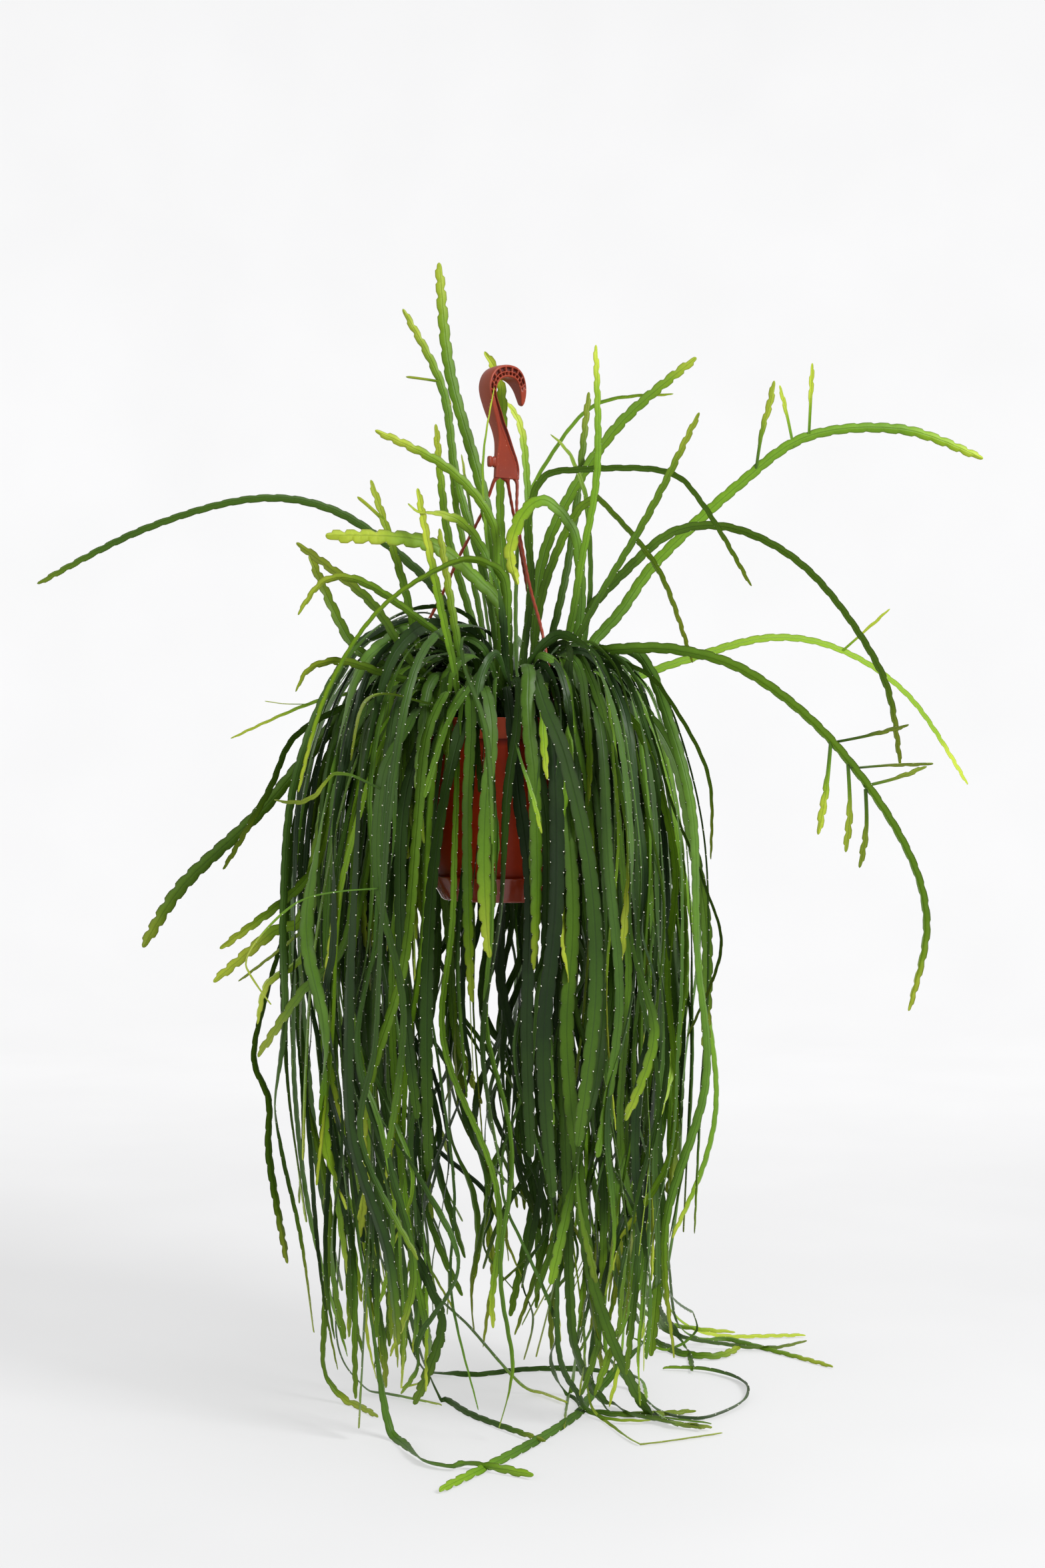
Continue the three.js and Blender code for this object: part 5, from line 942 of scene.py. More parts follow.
strandRoutes = [
    [(-9, -7.6, -93), (-11.5, -7, -103), (-20, -5, -126), (-31, -2, -148), (-44, -1, -172), (-58, 0, -203),
     (-75, 0, -237), (-88, 0, -268), (-92, 0, -300), clipTop(180)],
    [(11.6, 9.7, -93), (12, 7, -104), (12, -5, -135), (18, -24, -173), (25, -40, -208), (35, -60, -246),
     (42, -73, -284), (46, -79, -308), clipTop(-60)],
    [(2.3, 1.9, -93), (3.5, 6, -104), (8, 16, -128), (13, 28, -152), (20, 42, -190), (27, 56, -230),
     (36, 70, -270), (44, 79, -304), clipTop(60)],
]


# The hook and the body of the hanger, as far as the stems have to keep off them.
bodyRoutes = (
    ([(-16, -13, -22), (-20, -17, -9), (-13, -11, 4), (0, 0, 7), (13, 11, 3), (18, 15, -10),
      (17, 14, -20)], 11),
    ([(-14, -12, -24), (-8, -7, -40), (-3, -2.5, -56), (0, 0, -72), (1.5, 1.2, -92)], 13),
)


def fixedLine(points, half):
    return {"points": np.array(points, float), "half": np.full(len(points), float(half)), "parent": None,
            "still": True}


def hangerLines():
    lines = [fixedLine(route, hangerShape["strandRadius"]) for route in strandRoutes]
    lines += [fixedLine(route, half) for route, half in bodyRoutes]
    for angle in hangerShape["clipAngles"]:
        x, y, z = clipTop(angle)
        lines.append(fixedLine([(x, y, z + 3), (x, y, z - 28)], hangerShape["clipWidth"] * 0.55))
    return lines


# All the planned stems of the clumps, fanned out a little where they leave their crown.
def setStems():
    stems = []
    for name, clump in clumps.items():
        px, py = clump["place"]
        seconds = [plan["route"][1] for plan in clump["stems"]]
        headings = [math.atan2(second[1] - py, second[0] - px) for second in seconds]
        middle = sum(heading / len(headings) for heading in headings)
        order = sorted(range(len(headings)), key=lambda k: headings[k])
        for k, plan in enumerate(clump["stems"]):
            rank = order.index(k) - (len(order) - 1) / 2
            angle = middle + rank * plant["startFan"] / len(order)
            radius = plant["startRadius"] if len(order) > 1 else 0
            way = np.array([math.cos(angle), math.sin(angle), 0])
            begin = np.array([px, py, plant["startHeight"]]) + way * radius
            rise = begin + way * plant["riseLean"] + (0, 0, plant["riseHeight"])
            route = [begin, rise] + plan["route"]
            stem = makeStem(name, plan["width"], plan["turn"], route, plant["ringStep"])
            stem.update(face=plan["face"], youth=plan["youth"])
            stems.append(stem)
            for width, places in plan["shoots"]:
                at = nearestOn(stem["points"], np.array(places[0], float))
                route = [onStem(stem["points"], at)] + places[1:]
                branch = makeStem(name, width, (0, 0), route, plant["shootStep"], plant["shootHalf"])
                youth = min(plan["youth"] + plant["shootYouth"], 1)
                branch.update(face=plan["face"], youth=youth, parent=stem, at=at)
                stems.append(branch)
    return stems


strapShape = {
    "pitch": 9.6, "youngPitch": 1.8, "tipPitch": 5.8, "tipNodes": 7, "notch": 0.14, "youngNotch": 0.08,
    "tipNotch": 0.2, "notchReach": 170, "tipFill": 0.3, "rise": 0.42, "drop": 0.1, "areole": 0.66,
    "areoleSpread": (0.7, 1.15), "endLength": 5, "bareTip": 26, "firstStep": 5, "edgeThick": 0.5,
    "ribLeast": 1.0, "ribShare": 0.06, "groove": 0.12, "fold": (0.1, 0.34), "sharpAngle": 48,
    "fullStops": (0, 0.2, 0.7), "slimStops": (0, 0.45), "slimPitch": 1.3,
    "fullSection": ((-1, 1), (-0.5, 1), (0, 1), (0.5, 1), (1, 1), (0, -1)),
    "slimSection": ((-1, 1), (0, 1), (1, 1), (0, -1)),
    "slimBelow": 5.5, "lyingTilt": 42, "floorGap": 0.4, "finer": 8, "nearEnd": 0.3, "endStops": (2.4, 0.8),
    "oldBase": 0.45, "youngFrom": (0.8, 260), "tipLeast": 0.03, "edgeShare": 0.6, "ribPower": 0.7,
    "dotSize": 0.8, "dotLength": 1.1, "dotFade": 0.55,
}


def twistAt(stem, share):
    degrees, waves, phase = stem.get("twist", (0, 0, 0))
    return degrees * (math.sin(share * waves * 6.283 + phase) - math.sin(phase))


# The side direction of each ring: carried along the stem, turned by its own twist and level on the floor.
def sideDirections(stem):
    points, turn = stem["points"], stem["turn"]
    last = len(points) - 1
    tilt = math.radians(strapShape["lyingTilt"])
    carried, sides = np.array(stem["face"], float), []
    for k in range(last + 1):
        ahead = unit(points[min(k + 1, last)] - points[max(k - 1, 0)])
        carried = unit(carried - ahead * (carried @ ahead))
        angle = math.radians(turn[0] + (turn[1] - turn[0]) * k / last + twistAt(stem, k / last))
        twisted = carried * math.cos(angle) + np.cross(ahead, carried) * math.sin(angle)
        level = unit(np.cross((0, 0, 1), ahead))
        sign = -1 if level @ twisted < 0 else 1
        low = plant["floorLevel"] + settle["lyingHeight"] * 2
        lying = ease((low - points[k, 2]) / settle["lyingHeight"])
        flat = level * (sign * math.cos(tilt)) + np.array([0, 0, math.sin(tilt)])
        mixed = twisted * (1 - lying) + flat * lying
        sides.append(unit(mixed - ahead * (mixed @ ahead)))
    return np.array(sides)


# Where the notches sit along a stem, counted from its tip, where they are closest.
def areolePlaces(total, youth, slim):
    pitch = strapShape["pitch"] - strapShape["youngPitch"] * youth
    if slim:
        pitch *= strapShape["slimPitch"]
    gaps = [strapShape["tipPitch"] + (pitch - strapShape["tipPitch"]) * min(k / strapShape["tipNodes"], 1)
            for k in range(400)]
    back = np.cumsum(gaps)
    places = total - back[back < total - strapShape["bareTip"]]
    return places[::-1]


# How far each edge stands out: a soft lobe from each notch to the next, with a quick drop at its far end.
def scallops(ends, nodes, depth):
    factor = np.ones((2, len(ends)))
    for lane in (0, 1):
        own = nodes[lane::2]
        if len(own) < 2:
            continue
        behind = np.clip(np.searchsorted(own, ends + 1e-3) - 1, 0, len(own) - 2)
        part = np.clip((ends - own[behind]) / (own[behind + 1] - own[behind]), 0, 1)
        lobe = np.minimum(ease(part / strapShape["rise"]), ease((1 - part) / strapShape["drop"]))
        factor[lane] = 1 - depth * (1 - lobe)
    return factor


# Where the rings of the fine mesh stand: at each notch and a few times in between.
def ringStops(nodes, total, shares):
    first = nodes[0] if len(nodes) else total
    stops = [np.linspace(0, first, max(int(first / strapShape["firstStep"]), 3))[:-1]]
    step = np.diff(np.concatenate([nodes, [total]]))
    for place, gap in zip(nodes, step):
        stops.append(place + gap * np.array(shares))
    stops = np.concatenate(stops + [[total - stop for stop in strapShape["endStops"]]])
    stops = np.unique(np.round(stops[stops < total - strapShape["nearEnd"]], 3))
    return np.append(stops, total)


# The strap of a stem: two edges with lobes, a fold along the midrib and a dot of wool at each notch.
def strapMesh(stem, random):
    points, half = stem["points"], np.maximum(stem["half"], stem.get("grown", 0))
    where = np.linspace(0, len(points) - 1, max(len(points), 3) * strapShape["finer"])
    reach = reachAlong(curveAt(points, where))
    total = reach[-1]
    slim = stem["width"] < strapShape["slimBelow"] or stem.get("slim", False)
    nodes = areolePlaces(total, stem["youth"], slim)
    ends = ringStops(nodes, total, strapShape["slimStops" if slim else "fullStops"])
    along = np.interp(ends, reach, where)
    centre = curveAt(points, along)
    ahead = unitRows(np.gradient(centre, axis=0))
    sides = sideDirections(stem)
    side = np.stack([np.interp(along, np.arange(len(points)), sides[:, a]) for a in range(3)], axis=1)
    side = unitRows(side - ahead * rowDots(side, ahead)[:, None])
    rib = np.cross(ahead, side)
    wide = np.interp(along, np.arange(len(points)), half) * stem.get("widen", 1)
    nearTip = ease((ends - total + strapShape["notchReach"]) / strapShape["notchReach"])
    if not slim:
        wide = wide * (1 + strapShape["tipFill"] * nearTip)
    closing = np.clip((total - ends) / strapShape["endLength"], 0, 1)
    wide = wide * np.sqrt(np.clip(closing * (2 - closing), strapShape["tipLeast"], 1))
    old, (share, reachOfYouth) = strapShape["oldBase"], strapShape["youngFrom"]
    youth = stem["youth"] * (old + (1 - old) * ease(ends / min(total * share, reachOfYouth)))
    youth += stem["tipYouth"] * ease((ends - total + stem["tipReach"]) / stem["tipReach"])
    youth = np.clip(youth, 0, 1)
    depth = strapShape["notch"] + strapShape["youngNotch"] * youth
    depth += strapShape["tipNotch"] * nearTip * youth
    factor = scallops(ends, nodes, depth)
    fold = random.choice((-1, 1)) * random.uniform(*strapShape["fold"])
    ribThick = np.minimum(strapShape["ribLeast"] + stem["width"] * strapShape["ribShare"], wide)
    edgeThick = np.minimum(strapShape["edgeThick"], ribThick * strapShape["edgeShare"])
    section = strapShape["slimSection" if slim else "fullSection"]
    least = plant["floorLevel"] + np.abs(side[:, 2]) * wide + ribThick / 2 + strapShape["floorGap"]
    centre[:, 2] = np.maximum(centre[:, 2], least)
    corners = []
    for u, face in section:
        inward = 1 - abs(u)
        thick = edgeThick + (ribThick - edgeThick) * inward ** strapShape["ribPower"]
        v = fold * (inward - 0.5) * wide + face * thick / 2
        if u == 0:
            v = v - face * strapShape["groove"]
        edge = factor[0] if u > 0 else factor[1]
        corners.append(centre + side * (u * wide * edge)[:, None] + rib * v[:, None])
    corners = np.stack(corners, axis=1)
    size, count = len(section), len(ends)
    faces = [face[::-1] for face in ringFaces(count, size)]
    faces += [tuple(range(size)), tuple(range((count - 1) * size, count * size))[::-1]]
    skinFaces = len(faces)
    dots = []
    for k, place in enumerate(nodes):
        ring = min(int(np.searchsorted(ends, place - 1e-3)), count - 1)
        lane = 1 if k % 2 == 0 else -1
        edge = factor[0 if lane > 0 else 1, ring]
        spot = centre[ring] + side[ring] * (lane * wide[ring] * edge) - rib[ring] * fold * wide[ring] / 2
        spread = strapShape["areole"] * random.uniform(*strapShape["areoleSpread"])
        spread *= 1 - strapShape["dotFade"] * youth[ring]
        long = ahead[ring] * spread * strapShape["dotLength"]
        dots.append(dotCorners(spot, side[ring] * spread, rib[ring] * spread, long))
        faces += [tuple(count * size + k * 4 + corner for corner in face) for face in dotFaces]
    corners = np.concatenate([corners.reshape(-1, 3)] + dots)
    youthValues = np.concatenate([np.repeat(youth, size), np.ones(len(dots) * 4)])
    across = np.tile([float(u) for u, _ in section], count)
    acrossValues = np.concatenate([across, np.full(len(dots) * 4, 0.5)])
    toneValues = np.full(len(corners), stem["tone"])
    which = [0] * skinFaces + [1] * (len(faces) - skinFaces)
    return corners, faces, which, youthValues, acrossValues, toneValues


dotFaces = ((0, 2, 1), (0, 1, 3), (0, 3, 2), (1, 2, 3))


# A dot of wool: four corners about its spot, along three directions.
def dotCorners(spot, a, b, c):
    return spot + np.array([a + b + c, a - b - c, b - a - c, c - a - b]) * strapShape["dotSize"]


crownShape = {
    "sides": 14, "rings": ((5.4, -356), (6.6, -348), (6.3, -341), (4.8, -337.6)), "uneven": (0.88, 1.06),
}


# The woody crown that a clump's stems grow from, half sunk in the soil.
def crownMesh(place, random):
    rings = []
    for radius, height in crownShape["rings"]:
        for angle in np.linspace(0, 2 * math.pi, crownShape["sides"], endpoint=False):
            reach = radius * random.uniform(*crownShape["uneven"])
            rings.append((place[0] + math.cos(angle) * reach, place[1] + math.sin(angle) * reach, height))
    sides, count = crownShape["sides"], len(crownShape["rings"])
    faces = ringFaces(count, sides)
    faces += [tuple(range(sides))[::-1], tuple(range((count - 1) * sides, count * sides))]
    return np.array(rings), faces


def pieceName(clumpName):
    words = clumpName.split("_")
    return "stems" + "".join(word.capitalize() for word in words)


# The piece of a clump: all its straps and its crown, with the values that the finish reads.
def makeClump(name, stems, skin):
    random = np.random.default_rng(sum(map(ord, name)))
    corners, faces, which, count = [], [], [], 0
    values = {"youth": [], "across": [], "tone": []}
    for stem in stems:
        part = strapMesh(stem, random)
        corners.append(part[0])
        faces += [tuple(corner + count for corner in face) for face in part[1]]
        which += part[2]
        for layer, own in zip(values.values(), part[3:]):
            layer.append(own)
        count += len(part[0])
    crownCorners, crownFaces = crownMesh(clumps[name]["place"], random)
    corners.append(crownCorners)
    faces += [tuple(corner + count for corner in face) for face in crownFaces]
    which += [2] * len(crownFaces)
    for layer in values.values():
        layer.append(np.zeros(len(crownCorners)))
    piece = newPiece(pieceName(name), np.concatenate(corners), faces, [skin, areoleWool, crownBark])
    piece.data.polygons.foreach_set("material_index", np.array(which, np.int32))
    piece.data.set_sharp_from_angle(angle=math.radians(strapShape["sharpAngle"]))
    for attribute, own in values.items():
        layer = piece.data.attributes.new(attribute, "FLOAT", "POINT")
        layer.data.foreach_set("value", np.concatenate(own).astype(np.float32))
    dress(piece, "stems_" + name)
    return len(piece.data.polygons)


growCurtain()
stems = setStems()
for stem in stems:
    stem["grown"] = stem["half"].copy()
bendClear(stems, hangerLines())
print("stems settled:", len(stems))


# A draw from each of the given ranges, in their order.
def between(random, *ranges):
    return tuple(random.uniform(*ends) for ends in ranges)


# A stem of the scene alone, with all that its strap is made from.
def looseStem(clump, width, turn, youth, face, slim, points, half):
    return {"clump": clump, "width": width, "turn": turn, "youth": youth, "face": face, "slim": slim,
            "points": points, "half": half}


# Rings along a loose stem's route, and its half width there, drawn out from the given halves.
def looseRings(route, count, stops, halves):
    shares = np.linspace(0, 1, count)
    return pointsAt(smoothLine(route), shares), np.interp(shares, stops, halves)


# A loose stem begins in its crown and comes out of the soil with a slight lean.
def fromCrown(place, lean):
    return [(*place, plant["startHeight"]), (*(place + lean), pot["soilTop"] + 26)]


# The name and the place of the clump whose crown is nearest to a place in the soil.
def nearestCrown(goal):
    places = [(name, np.array(clump["place"])) for name, clump in clumps.items()]
    return min(places, key=lambda entry: span(entry[1] - goal))


filler = {
    "count": 165, "widths": (5, 10.5), "share": (0.25, 0.75), "lengths": (0.6, 1.0), "rings": 12,
    "inward": (0.0, 0.16), "fallRange": 500, "window": 36, "wander": (8, 40), "wave": (220, 420),
    "ends": (-1000, -850), "longShare": 0.78, "longLeast": 60, "longStep": 55, "lowGather": 0.16,
    "swings": (1, 3), "floorRoom": 6, "turn": ((-60, 60), (-200, 200)), "youth": (0.1, 0.4),
}


# Thin stems of the curtain's inside, each between two settled neighbours.
def fillCurtain(random):
    outside = [stem for stem in stems if stem["clump"].startswith("curtain")]
    outside.sort(key=lambda stem: math.atan2(stem["points"][-1][1], stem["points"][-1][0]))
    added = []
    for k in range(filler["count"]):
        first = k * len(outside) // filler["count"]
        one, other = outside[first], outside[(first + 1 + k % 3) % len(outside)]
        share, length = between(random, filler["share"], filler["lengths"])
        middle = one["points"][-1] * (1 - share) + other["points"][-1] * share
        facing = math.degrees(math.atan2(middle[1], middle[0])) + 90
        if abs(facing) < filler["window"]:
            continue
        at = np.linspace(0, 1, filler["rings"]) * length
        line = pointsAt(smoothLine(one["points"]), at) * (1 - share)
        line += pointsAt(smoothLine(other["points"]), at) * share
        fall = np.clip((pot["rimTop"] - line[:, 2]) / filler["fallRange"], 0, 1)
        line[:, :2] *= (1 - random.uniform(*filler["inward"]) * fall)[:, None]
        phase, wave, wander = between(random, (0, 6.3), filler["wave"], filler["wander"])
        radius = np.maximum(np.hypot(line[:, 0], line[:, 1]), 1)
        around = np.column_stack([-line[:, 1], line[:, 0]]) / radius[:, None]
        line[:, :2] += around * (np.sin(line[:, 2] / wave * 6.283 + phase) * wander * fall)[:, None]
        line[0] = one["points"][0]
        lowest = random.uniform(*filler["ends"])
        if random.random() < filler["longShare"] and line[-1, 2] > lowest + filler["longLeast"]:
            x, y, z = line[-1]
            steps = int((z - lowest) / filler["longStep"]) + 1
            fallBy = np.arange(1, steps + 1) / steps
            inwardTo = 1 - filler["lowGather"] * fallBy
            swing = np.sin(fallBy * random.uniform(*filler["swings"]) + phase) * wander
            line = np.concatenate([line, np.column_stack([
                x * inwardTo + around[-1, 0] * swing, y * inwardTo + around[-1, 1] * swing,
                z + (lowest - z) * fallBy])])
        line[:, 2] = np.maximum(line[:, 2], plant["floorLevel"] + filler["floorRoom"])
        width = random.uniform(*filler["widths"])
        half = np.full(len(line), width / 2)
        half[0] = plant["baseHalf"]
        half[-1] *= 0.7
        turn, youth = between(random, *filler["turn"]), random.uniform(*filler["youth"])
        added.append(looseStem(one["clump"], width, turn, youth, one["face"], True, line, half))
    return added


arches = {
    "count": 84, "widths": (6.5, 13.5), "rise": (26, 62), "over": (98, 122), "ends": (-600, -368),
    "front": (-200, 20), "frontShare": 0.62, "startReach": (0.2, 0.62), "window": (-98, 24),
    "aside": (-26, 26), "spare": 1.16, "drift": (-30, 30), "sway": (-9, 9), "hangFrom": 100,
    "hangStep": 60, "turn": ((-30, 30), (-110, 110)), "youth": (0.05, 0.42), "rings": 14,
    "rows": ((0.62, 6, 0.12), (0.84, 0, 0.25), (1.02, 16, 0.4), (1.1, 52, 0.55)),
}


# Short stems of the crown that rise from the soil, arch over the rim and hang down between the long ones.
def archCrown(random):
    added = []
    for _ in range(arches["count"]):
        degrees = random.uniform(*(arches["front"] if random.random() < arches["frontShare"] else (0, 360)))
        if abs(degrees - arches["window"][0]) < arches["window"][1]:
            degrees += random.choice((-1, 1)) * 2 * arches["window"][1]
        c, s = math.cos(math.radians(degrees)), math.sin(math.radians(degrees))
        way, aside = np.array([c, s]), np.array([-s, c])
        goal = way * pot["rimRadius"] * random.uniform(*arches["startReach"])
        name, place = nearestCrown(goal + aside * random.uniform(*arches["aside"]))
        over, top = random.uniform(*arches["over"]), pot["rimTop"] + random.uniform(*arches["rise"])
        end, drift, swing = between(random, arches["ends"], arches["drift"], arches["sway"])
        out = max(over * arches["spare"], over + (top - pot["rimTop"]) * 0.3)
        rows = [(over * reach, top - down, part) for reach, down, part in arches["rows"]]
        z = top - arches["hangFrom"]
        while z > end:
            rows.append((out, z, 0.55 + 0.45 * (top - z) / (top - end)))
            z -= arches["hangStep"]
        rows.append((out * 0.99, end, 1.0))
        line = fromCrown(place, way * 4)
        for radius, height, part in rows:
            if radius > span(place) or height < top:
                at = way * radius + aside * (drift * part + swing * math.sin(part * 9))
                line.append((*at, height))
        width = random.uniform(*arches["widths"])
        halves = (plant["baseHalf"], width / 2, width / 2, width / 3.4)
        rings = looseRings(line, arches["rings"], (0, 0.3, 0.85, 1), halves)
        turn, youth = between(random, *arches["turn"]), random.uniform(*arches["youth"])
        added.append(looseStem(name, width, turn, youth, (*aside, 0), width < 8, *rings))
    return added


lowStems = [
    (9, 0.35, [(109, -70, -722), (126, -40, -823), (136, -20, -885), (171, 205, -984), (200, 205, -995),
         (235, 205, -1000), (263, 197, -1003), (296, 205, -1003), (323, 205, -997)]),
    (8, 0.25, [(77, -80, -708), (97, -50, -833), (114, -30, -886), (153, 205, -991), (177, 187, -1003),
         (203, 162, -1003), (229, 172, -1003), (251, 202, -1003)]),
    (10, 0.2, [(144, -60, -711), (156, -30, -825), (158, -20, -879), (182, 205, -985),
         (194, 179, -1003), (193, 114, -1003)]),
    (7, 0.3, [(129, -40, -727), (148, 0, -851), (164, 20, -896), (200, 205, -967), (204, 205, -985),
         (193, 205, -1001), (163, 192, -1003), (136, 205, -994)]),
    (7, 0.45, [(90, -60, -686), (108, -20, -827), (125, 0, -897), (171, 205, -978), (214, 205, -985),
         (246, 205, -988)]),
    (12, 0.2, [(58, -110, -628), (69, -100, -754), (80, -90, -843), (95, -80, -898), (112, -70, -942),
         (140, -31, -1003), (160, -61, -1003), (178, -67, -1003), (197, -71, -1003)]),
    (9, 0.3, [(46, -114, -540), (15, -115, -652), (27, -110, -776), (41, -100, -859), (55, -90, -924),
         (82, -19, -1003), (111, -31, -1003), (146, -29, -1003), (186, -21, -1003)]),
    (10, 0.2, [(55, -105, -629), (59, -100, -778), (62, -90, -880), (69, -75, -934), (96, 11, -1003),
         (123, -35, -1003), (154, -55, -1003), (187, -75, -1003)]),
    (7, 0.3, [(42, -108, -545), (9, -110, -653), (20, -100, -809), (27, -90, -892), (58, 46, -1003),
         (82, -25, -1003),
         (116, -55, -1003), (140, -51, -1003)]),
    (5, 0.4, [(77, -90, -656), (77, -80, -814), (70, -70, -910), (66, 50, -1003), (60, -14, -1003),
         (57, -75, -1003)]),
    (7, 0.35, [(-102, -110, -653), (-89, -100, -809), (-74, -90, -899), (-76, 114, -1003),
         (-85, 66, -1003), (-105, 55, -1003)]),
    (11, 0.2, [(-121, -110, -628), (-123, -110, -776), (-129, -105, -870), (-133, -100, -939),
         (-136, -100, -995)]),
    (7, 0.6, [(-10, -120, -651), (4, -120, -774), (5, -115, -886), (1, -110, -949), (-5, -105, -994)]),
    (8, 0.5, [(-90, -120, -651), (-96, -115, -806), (-92, -110, -899), (-96, -105, -956)]),
    (9, 0.3, [(-41, -110, -653), (-22, -100, -778), (-7, -90, -874), (2, -85, -906)]),
    (7, 0.55, [(89, -100, -630), (108, -90, -756), (118, -85, -844), (114, -80, -898)]),
]


low = {
    "crownReach": 58, "rows": ((78, 34), (98, 32), (116, -4), (124, -70)), "outward": 12, "rings": 26,
    "turn": ((-30, 30), (-90, 90)),
}


# Each long stem starts at the nearest crown, passes over the rim and then falls to its own places.
def dropLow(random):
    added = []
    for width, youth, passes in lowStems:
        first = np.array(passes[0], float)
        way = first[:2] / span(first[:2])
        name, place = nearestCrown(way * low["crownReach"])
        line = fromCrown(place, way * 4)
        for radius, height in low["rows"]:
            line.append((*(way * radius), pot["rimTop"] + height))
        hang = np.array(line[-1], float)
        line.append((hang + first) * 0.5 + (*(way * low["outward"]), 0))
        halves = (plant["baseHalf"], width / 2, width / 2, width * 0.4, width * 0.3)
        rings = looseRings(line + passes, low["rings"], (0, 0.12, 0.5, 0.94, 1), halves)
        turn = between(random, *low["turn"])
        added.append(looseStem(name, width, turn, youth, (-way[1], way[0], 0), width < 8, *rings))
    return added


freeStems = [
    (9.5, 0.3, [(66, -40, -280), (73, -45, -217), (69, -50, -163), (60, -52, -143), (47, -55, -129),
         (35, -57, -124), (20, -60, -134), (11, -62, -151), (5, -64, -176), (9, -66, -194),
         (13, -66, -205)]),
    (9, 0.1, [(2, -50, -281), (-3, -70, -219), (-12, -80, -191), (-24, -85, -166), (-40, -90, -148),
         (-62, -95, -140), (-78, -98, -140), (-89, -100, -132)]),
    (4.5, 0.3, [(82, -20, -216), (79, -25, -126), (68, -25, -88), (58, -27, -71), (44, -28, -58)]),
]


def growFree(random):
    added = []
    for width, youth, passes in freeStems:
        name, place = nearestCrown(np.array(passes[0][:2], float))
        line = [(*place, plant["startHeight"]), (*place, pot["soilTop"] + 24)] + passes
        halves = (plant["baseHalf"], width / 2, width / 2, width / 3.6)
        rings = looseRings(line, 22, (0, 0.3, 0.85, 1), halves)
        added.append(looseStem(name, width, (0, random.uniform(20, 50)), youth, (1, 0, 0), False, *rings))
    return added


sway = {
    "top": -460, "full": -680, "floorRoom": 10, "calm": 70,
    "swing": ((4, 20), (2, 10), (240, 460), (0, 6.3), (0, 6.3)),
    "twist": ((20, 75), (1.2, 3.4), (0, 6.3)), "frontTwist": ((4, 18), (1.2, 3.4), (0, 6.3)),
}


# Hanging stems swing a little from side to side below the pot, and a shoot swings with its stem.
def swayStem(stem, random):
    parent = stem.get("parent")
    stem["swing"] = parent["swing"] if parent else between(random, *sway["swing"])
    aside, outward, wave, one, other = stem["swing"]
    points = stem["points"].copy()
    z = points[:, 2]
    amount = ease((sway["top"] - z) / (sway["top"] - sway["full"]))
    amount *= ease((z - plant["floorLevel"] - sway["floorRoom"]) / sway["calm"])
    away = points[:, :2] / np.maximum(np.hypot(points[:, 0], points[:, 1]), 1)[:, None]
    across = np.column_stack([-away[:, 1], away[:, 0]])
    points[:, :2] += across * (np.sin(z / wave * 6.283 + one) * aside * amount)[:, None]
    points[:, :2] += away * (np.sin(z / wave * 4.8 + other) * outward * amount)[:, None]
    stem["points"] = points


look = {
    "hangingTips": ((0.4, 1.0), (70, 210)), "risingTips": ((0.4, 0.6), (70, 130)),
    "youthShift": (-0.24, 0.04), "youngShare": 0.14, "youngMore": 0.26, "leastYouth": 0.32,
    "youthShare": 0.42,
    "widen": {
        "floor": 1.05, "front": 0.76, "curtain": 0.86, "long_right": 0.95, "arch_left": 0.95, "": 1.15,
    },
    "broadLeft": {"widen": 1.4, "face": (0, 1, 0), "turn": (-49, -49), "tone": 0.5},
    "frontYouth": 0.24, "frontTipYouth": 0.3,
}


# How old, broad and light a stem is, and how a hanging one swings and turns about itself.
def giveLooks(stem, random):
    clump, width = stem["clump"], stem["width"]
    hanging, front = clump.startswith(("curtain", "front", "floor")), clump.startswith("front")
    if hanging:
        youth = stem["youth"] + random.uniform(*look["youthShift"])
        youth += look["youngMore"] * (random.random() < look["youngShare"])
        stem["youth"] = min(max(youth, 0), 1)
    else:
        stem["youth"] = look["leastYouth"] + stem["youth"] * look["youthShare"]
    stem["tipYouth"], stem["tipReach"] = between(random, *look["hangingTips" if hanging else "risingTips"])
    stem["tone"] = random.random()
    stem["widen"] = next(share for start, share in look["widen"].items() if clump.startswith(start))
    if clump == "arch_left" and width > 10:
        stem.update(look["broadLeft"])
    if front and width > 9:
        stem.update(youth=min(stem["youth"], look["frontYouth"]), tipYouth=look["frontTipYouth"])
    if hanging:
        swayStem(stem, random)
        stem["twist"] = between(random, *sway["frontTwist" if front else "twist"])


looks = np.random.default_rng(7)
stems += fillCurtain(looks) + archCrown(looks) + dropLow(looks) + growFree(looks)
for stem in stems:
    giveLooks(stem, looks)
print("stems in all:", len(stems))
slots = {part["node"]: part["material_slot"] for part in frame["record"]["subparts"]}
faceCount = 0
for name in clumps:
    own = [stem for stem in stems if stem["clump"] == name]
    slotName = slots["stems_" + name]
    faceCount += makeClump(name, own, matureSkin if slotName == "mature_stem" else middleSkin)
print("stems made, faces:", faceCount)


# A profile of radius, height and rounding rows, with its corners rounded.
def roundedProfile(points):
    profile = []
    for k, (radius, height, rounding) in enumerate(points):
        here = np.array([radius, height], float)
        if rounding <= 0 or k in (0, len(points) - 1):
            profile.append(here)
            continue
        before = np.array(points[k - 1][:2], float) - here
        after = np.array(points[k + 1][:2], float) - here
        begin, end = (here + unit(way) * min(rounding, span(way) * 0.45) for way in (before, after))
        for t in np.linspace(0, 1, 5):
            profile.append(begin * (1 - t) ** 2 + here * 2 * t * (1 - t) + end * t ** 2)
    return np.array(profile)


